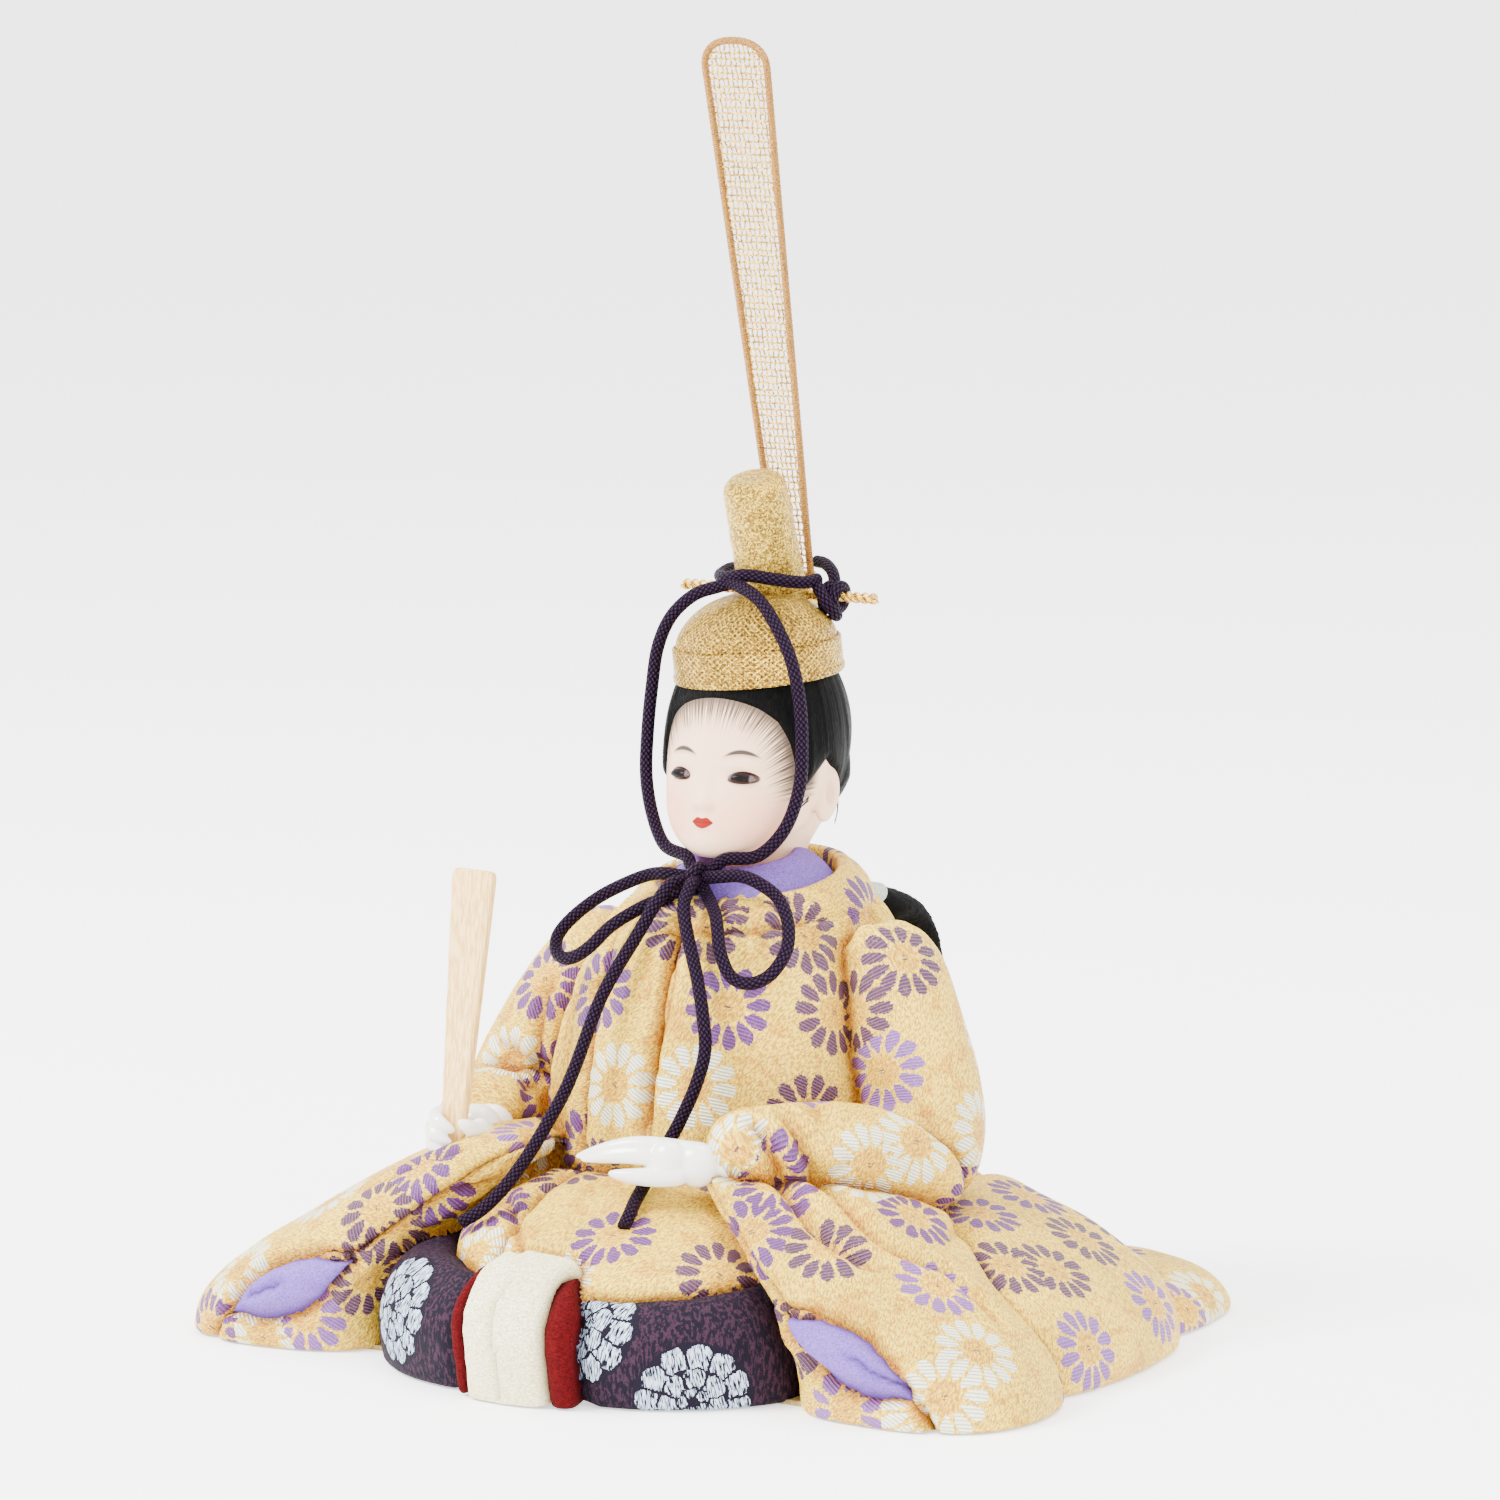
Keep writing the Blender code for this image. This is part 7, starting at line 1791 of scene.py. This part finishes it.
def eye_material(name, x):
    """Dark brown glass with a lighter iris and pale corners."""
    shade = Shader(name)
    where = shade.place()
    px, _, pz = shade.split(where)
    dx = shade.math("ABSOLUTE", shade.math("SUBTRACT", px, x))
    dz = shade.math("SUBTRACT", pz, 116.1)
    r = shade.math("SQRT", shade.math("ADD", shade.math("MULTIPLY", dx, dx), shade.math("MULTIPLY", dz, dz)))
    white = shade.mix(shade.step(r, 1.7, 2.1), (0.009, 0.006, 0.007), (0.11, 0.085, 0.090))
    colour = shade.mix(shade.step(r, 0.85, 0.6), white, (0.006, 0.005, 0.005))
    return shade.finish(colour=colour, roughness=0.15, specular_ior_level=0.05)


# Collars and back
COLLAR_FOOT = 86.0
COLLAR_SHIFT_Y = -3.5
COLLAR_TILT = 9.0
COLLAR_SQUASH = 0.92
INNER_COLLAR = ((20.0, 88.0), (19.2, 91.5), (16.6, 95.0), (13.6, 97.6), (11.6, 98.9), (10.4, 98.7),
                (9.4, 96.5), (9.1, 92.0))
OUTER_COLLAR = ((26.8, 85.8), (27.3, 87.4), (27.0, 89.2), (25.6, 91.6), (23.8, 93.4), (22.4, 94.6),
                (21.0, 95.0),
                (19.9, 94.4), (19.4, 92.0))
BACK_BAND_ROUTE = ((27.0, 83.0), (34.0, 84.5), (42.0, 80.0), (46.0, 71.0), (44.0, 58.0), (40.0, 46.0),
                   (38.0, 37.0))
BACK_BAND_HALF_WIDTH = 19.5
BACK_BAND_HALF_THICKNESS = 5.2
PLATE_CENTRE = (10.0, 22.0, 88.0)
BASE_SHARE = 0.93


def collar(name, profile, material, gathers):
    tilt = Matrix.Rotation(math.radians(COLLAR_TILT), 4, "X")
    squash = Matrix.Diagonal((COLLAR_SQUASH, 1.0, 1.0, 1.0))
    pivot = Matrix.Translation((0.0, 0.0, COLLAR_FOOT * MM))
    matrix = Matrix.Translation(place((0.0, COLLAR_SHIFT_Y, 0.0))) @ pivot @ tilt @ squash @ pivot.inverted()
    line = rounded(profile, 0.55)
    line += [(profile[-1][0] + 1.0, COLLAR_FOOT - 1.0), (profile[0][0] - 1.2, COLLAR_FOOT - 1.0)]

    def gather(t, r, z):
        wave = noise.noise(Vector((math.cos(t) * 3, math.sin(t) * 3, z * 0.12)))
        fine = noise.noise(Vector((math.cos(t) * 14, math.sin(t) * 14, z * 0.4)))
        return wave * gathers + fine * 0.12

    item = turned(name, line, 180, matrix, material, closed=True, shift=gather)
    local = table_places(vertex_places(item.data))
    angle = np.arctan2(local[:, 0], -local[:, 1])
    flat = np.column_stack([angle * 24.0, local[:, 2] * 1.3 + np.hypot(local[:, 0], local[:, 1]) * -0.8,
                            np.zeros(len(angle))])
    data = item.data.attributes.new("cloth", "FLOAT_VECTOR", "POINT")
    data.data.foreach_set("vector", (flat * MM).ravel())
    return item


def make_back():
    points = [place((0.0, y, z)) for y, z in BACK_BAND_ROUTE]
    count = len(points)
    wide = [BACK_BAND_HALF_WIDTH * MM] * count
    thick = [BACK_BAND_HALF_THICKNESS * MM] * count
    form = loft("band_form", tube_rings(points, wide, 8, Vector((1.0, 0.0, 0.0)), thick), 3)
    spots, quads = remeshed(form, 0.6 * MM, 2)
    normal = normals_of(spots, quads)
    bumpy = np.array([abs(noise.noise(Vector(p) * 900)) + 0.6 * noise.noise(Vector(p) * 260) for p in spots])
    spots = spots + normal * (bumpy * 0.38 * MM)[:, None]
    look = crepe("black_cloth", (0.004, 0.004, 0.004), (0.001, 0.001, 0.001), 1.9, 0.0005, 0.75, 0.08)
    band = add_object("puffed_black_band", mesh_from("puffed_black_band", spots, quads), look)
    claim(band, ["back_band"], "robe")


def make_plate():
    """The small silver cloth plate between the collar and the black band."""
    x, y, z = PLATE_CENTRE
    rings = [oval((x, y + 0.3 * k, z - 2.6 + k * 0.9), half, half * 0.62, half * 0.62, 0.55, 16)
             for k, half in enumerate((5.2, 6.1, 6.4, 6.3, 5.9, 4.6))]
    look = crepe("silver_cloth", (0.62, 0.70, 0.58), (0.26, 0.30, 0.24), 2.6, 0.0004, 0.5)
    plate = loft("silver_plate", rings, 2)
    plate.data.materials.append(look)
    claim(plate, ["belt_plate"], "robe")


def make_base():
    """The paper under the doll, drawn in a little from the hems."""
    node = frame["nodes"]["base_cover"]
    mesh = node.data.copy()
    mesh.transform(node.matrix_world)
    points = vertex_places(mesh)
    middle = (points.max(axis=0) + points.min(axis=0)) / 2
    points[:, :2] = middle[:2] + (points[:, :2] - middle[:2]) * BASE_SHARE
    mesh.vertices.foreach_set("co", points.ravel())
    base = add_object("base_paper_sheet", mesh, crepe("base_paper", (0.57, 0.42, 0.14), (0.28, 0.20, 0.086),
                                                      0.9, 0.00008),
                      smooth=False)
    claim(base, ["base_cover"], "robe")


def make_collars():
    inner = collar("inner_collar_band", INNER_COLLAR, bpy.data.materials["lavender_cloth"], 0.12)
    claim(inner, ["inner_collar"], "robe")
    outer = collar("outer_collar_band", OUTER_COLLAR, bpy.data.materials["brocade_cloth"], 0.30)
    add_flowers(outer)
    claim(outer, ["outer_collar"], "robe")


# Hands and sceptre: each finger is a row of x, y, z and radius
LEFT_FINGERS = (
    ((24.0, -57.4, 46.4, 2.4), (17.5, -60.8, 47.0, 2.4), (10.7, -63.2, 48.0, 2.15), (5.2, -64.4, 47.0, 1.7),
     (0.4, -65.0, 45.6, 1.2), (-2.6, -65.6, 44.6, 0.6)),
    ((24.0, -59.0, 44.4, 2.4), (17.5, -62.0, 45.4, 2.4), (10.7, -64.2, 46.1, 2.1), (5.2, -65.2, 45.4, 1.65),
     (1.4, -65.7, 44.6, 1.05), (-1.2, -65.9, 44.1, 0.55)),
    ((24.0, -56.4, 44.6, 2.4), (17.0, -59.4, 45.4, 2.3), (10.0, -62.0, 46.4, 1.9), (4.5, -63.6, 45.8, 1.5),
     (0.6, -64.6, 44.9, 0.9)),
    ((21.5, -61.4, 42.6, 2.5), (16.5, -64.2, 42.0, 2.3), (12.0, -66.0, 41.9, 1.9), (8.6, -67.0, 42.1, 1.4),
     (6.4, -67.4, 42.3, 0.8)),
)
LEFT_PALM = (
    ((31.0, -53.0, 45.0), (3.5, 3.2, 3.8)), ((26.5, -55.5, 44.6), (5.0, 3.8, 4.3)),
    ((21.5, -59.2, 44.3), (5.0, 3.9, 4.6)), ((16.5, -61.8, 45.0), (4.6, 3.6, 4.4)),
)
RIGHT_FINGERS = (
    ((-43.0, -50.0, 47.6, 1.7), (-44.2, -54.5, 47.6, 1.9), (-42.2, -57.4, 47.0, 1.8),
     (-39.6, -57.6, 45.8, 1.4),
     (-38.4, -56.8, 45.0, 0.9)),
    ((-44.0, -50.0, 45.4, 1.8), (-45.0, -54.6, 45.2, 1.9), (-43.0, -57.8, 44.4, 1.85),
     (-40.4, -58.0, 43.3, 1.4),
     (-38.9, -57.2, 42.6, 0.9)),
    ((-44.0, -50.0, 43.0, 1.8), (-45.0, -54.4, 42.6, 1.85), (-43.2, -57.4, 41.8, 1.8),
     (-40.8, -57.8, 41.0, 1.3),
     (-39.4, -57.0, 40.6, 0.9)),
    ((-43.2, -50.0, 40.8, 1.6), (-44.0, -54.0, 40.4, 1.7), (-42.4, -56.6, 39.8, 1.6),
     (-40.6, -56.8, 39.4, 1.1),
     (-39.6, -56.2, 39.3, 0.8)),
    ((-35.4, -47.0, 43.0, 2.4), (-34.6, -51.0, 43.6, 2.5), (-34.6, -54.0, 44.8, 2.1),
     (-35.4, -56.4, 46.2, 1.6),
     (-36.2, -57.2, 47.0, 1.0)),
)
RIGHT_PALM = (
    ((-40.6, -39.0, 43.8), (4.6, 4.2, 4.4)), ((-40.2, -45.0, 43.6), (5.4, 4.6, 5.0)),
    ((-43.2, -50.8, 43.8), (2.8, 4.2, 4.8)), ((-35.2, -51.6, 42.8), (2.6, 3.8, 4.4)),
)
SHAKU_FOOT = (-40.5, -55.0, 33.0)
SHAKU_TOP = (-38.6, -47.8, 97.5)
SHAKU_FOOT_WIDTH = 4.2
SHAKU_TOP_WIDTH = 10.0
SHAKU_THICKNESS = 2.3


def finger(rows):
    points = [place(row[:3]) for row in rows]
    ahead = (points[-1] - points[-2]).normalized()
    points.append(points[-1] + ahead * rows[-1][3] * 0.6 * MM)
    radii = [row[3] * MM for row in rows] + [rows[-1][3] * 0.45 * MM]
    return loft("finger", tube_rings(points, radii, 10, Vector((0.0, 0.31, 0.95))), 2)


def hand(name, fingers, palm, node, rounds):
    parts = [finger(rows) for rows in fingers]
    parts += [blob("palm", centre, sizes) for centre, sizes in palm]
    points, quads = remeshed(joined(name, parts), 0.26 * MM, rounds)
    look = bpy.data.materials.get("glazed_white") or glaze_material()
    item = add_object(name, mesh_from(name, points, quads), look)
    return claim(item, [node], "robe")


def glaze_material():
    shade = Shader("glazed_white")
    return shade.finish(colour=(0.80, 0.78, 0.74), roughness=0.2, specular_ior_level=0.5, coat_weight=0.35,
                        coat_roughness=0.08, subsurface_weight=0.05, subsurface_scale=1.0,
                        subsurface_radius=(0.001, 0.001, 0.0008))


def make_hands():
    hand("open_left_hand", LEFT_FINGERS, LEFT_PALM, "hand_left", 5)
    hand("right_fist", RIGHT_FINGERS, RIGHT_PALM, "hand_right", 4)
    foot, top = place(SHAKU_FOOT), place(SHAKU_TOP)
    ahead = (top - foot).normalized()
    side = Vector((1.0, 0.0, 0.0))
    side = (side - ahead * side.dot(ahead)).normalized()
    face = ahead.cross(side)
    rings = []
    for share, narrow in ((0.0, 0.94), (0.004, 1.0), (0.25, 1.0), (0.5, 1.0), (0.75, 1.0), (0.965, 1.0),
                          (0.985, 0.965), (0.996, 0.89), (1.0, 0.78)):
        half = (SHAKU_FOOT_WIDTH + (SHAKU_TOP_WIDTH - SHAKU_FOOT_WIDTH) * share) / 2 * narrow * MM
        thick = SHAKU_THICKNESS / 2 * (0.8 if share in (0.0, 1.0) else 1.0) * MM
        ring = []
        for a, b in ((-1, -0.7), (-0.9, -1), (-0.45, -1), (0.45, -1), (0.9, -1), (1, -0.7),
                     (1, 0.7), (0.9, 1), (0.45, 1), (-0.45, 1), (-0.9, 1), (-1, 0.7)):
            ring.append(foot.lerp(top, share) + side * half * a + face * thick * b)
        rings.append(ring)
    board = loft("sceptre_board", rings)
    board.data.set_sharp_from_angle(angle=math.radians(40))
    board.data.materials.append(wood_material("pale_wood", (0.96, 0.66, 0.26), (0.70, 0.40, 0.12)))
    claim(board, ["shaku"], "sceptre")


def wood_material(name, light, dark, scale=1.0):
    shade = Shader(name)
    where = shade.place()
    grain = shade.noise(shade.vector("MULTIPLY", where, (2.2 * scale, 2.2 * scale, 0.075 * scale)), 1.0, 3.0,
                        0.6, 0.3)
    pores = shade.noise(shade.vector("MULTIPLY", where, (7.0, 7.0, 0.6)), 1.0, 2.0, 0.7)
    colour = shade.mix(shade.step(grain, 0.38, 0.62), dark, light)
    colour = shade.mix(shade.step(pores, 0.62, 0.75, 0.0, 0.25), colour, dark)
    return shade.finish(colour=colour, roughness=0.6, normal=shade.bump(pores, 0.0001, 0.6),
                        specular_ior_level=0.3)


def finish_hidden_parts():
    """Looks for the pieces that keep their CAD shape."""
    looks = {
        "body_core": wood_material("composition", (0.26, 0.16, 0.052), (0.13, 0.080, 0.032), 3.0),
        "neck_peg": bpy.data.materials["pale_wood"],
        "ei_socket": gold_material("socket_gold", weave=False, fine=True),
    }
    for name, look in looks.items():
        node = frame["nodes"][name]
        node.data.materials.clear()
        node.data.materials.append(look)


make_camera()
make_cords()
make_robe()
make_collars()
make_back()
make_plate()
make_base()
make_crown()
make_head()
make_hands()
finish_hidden_parts()
make_stage()
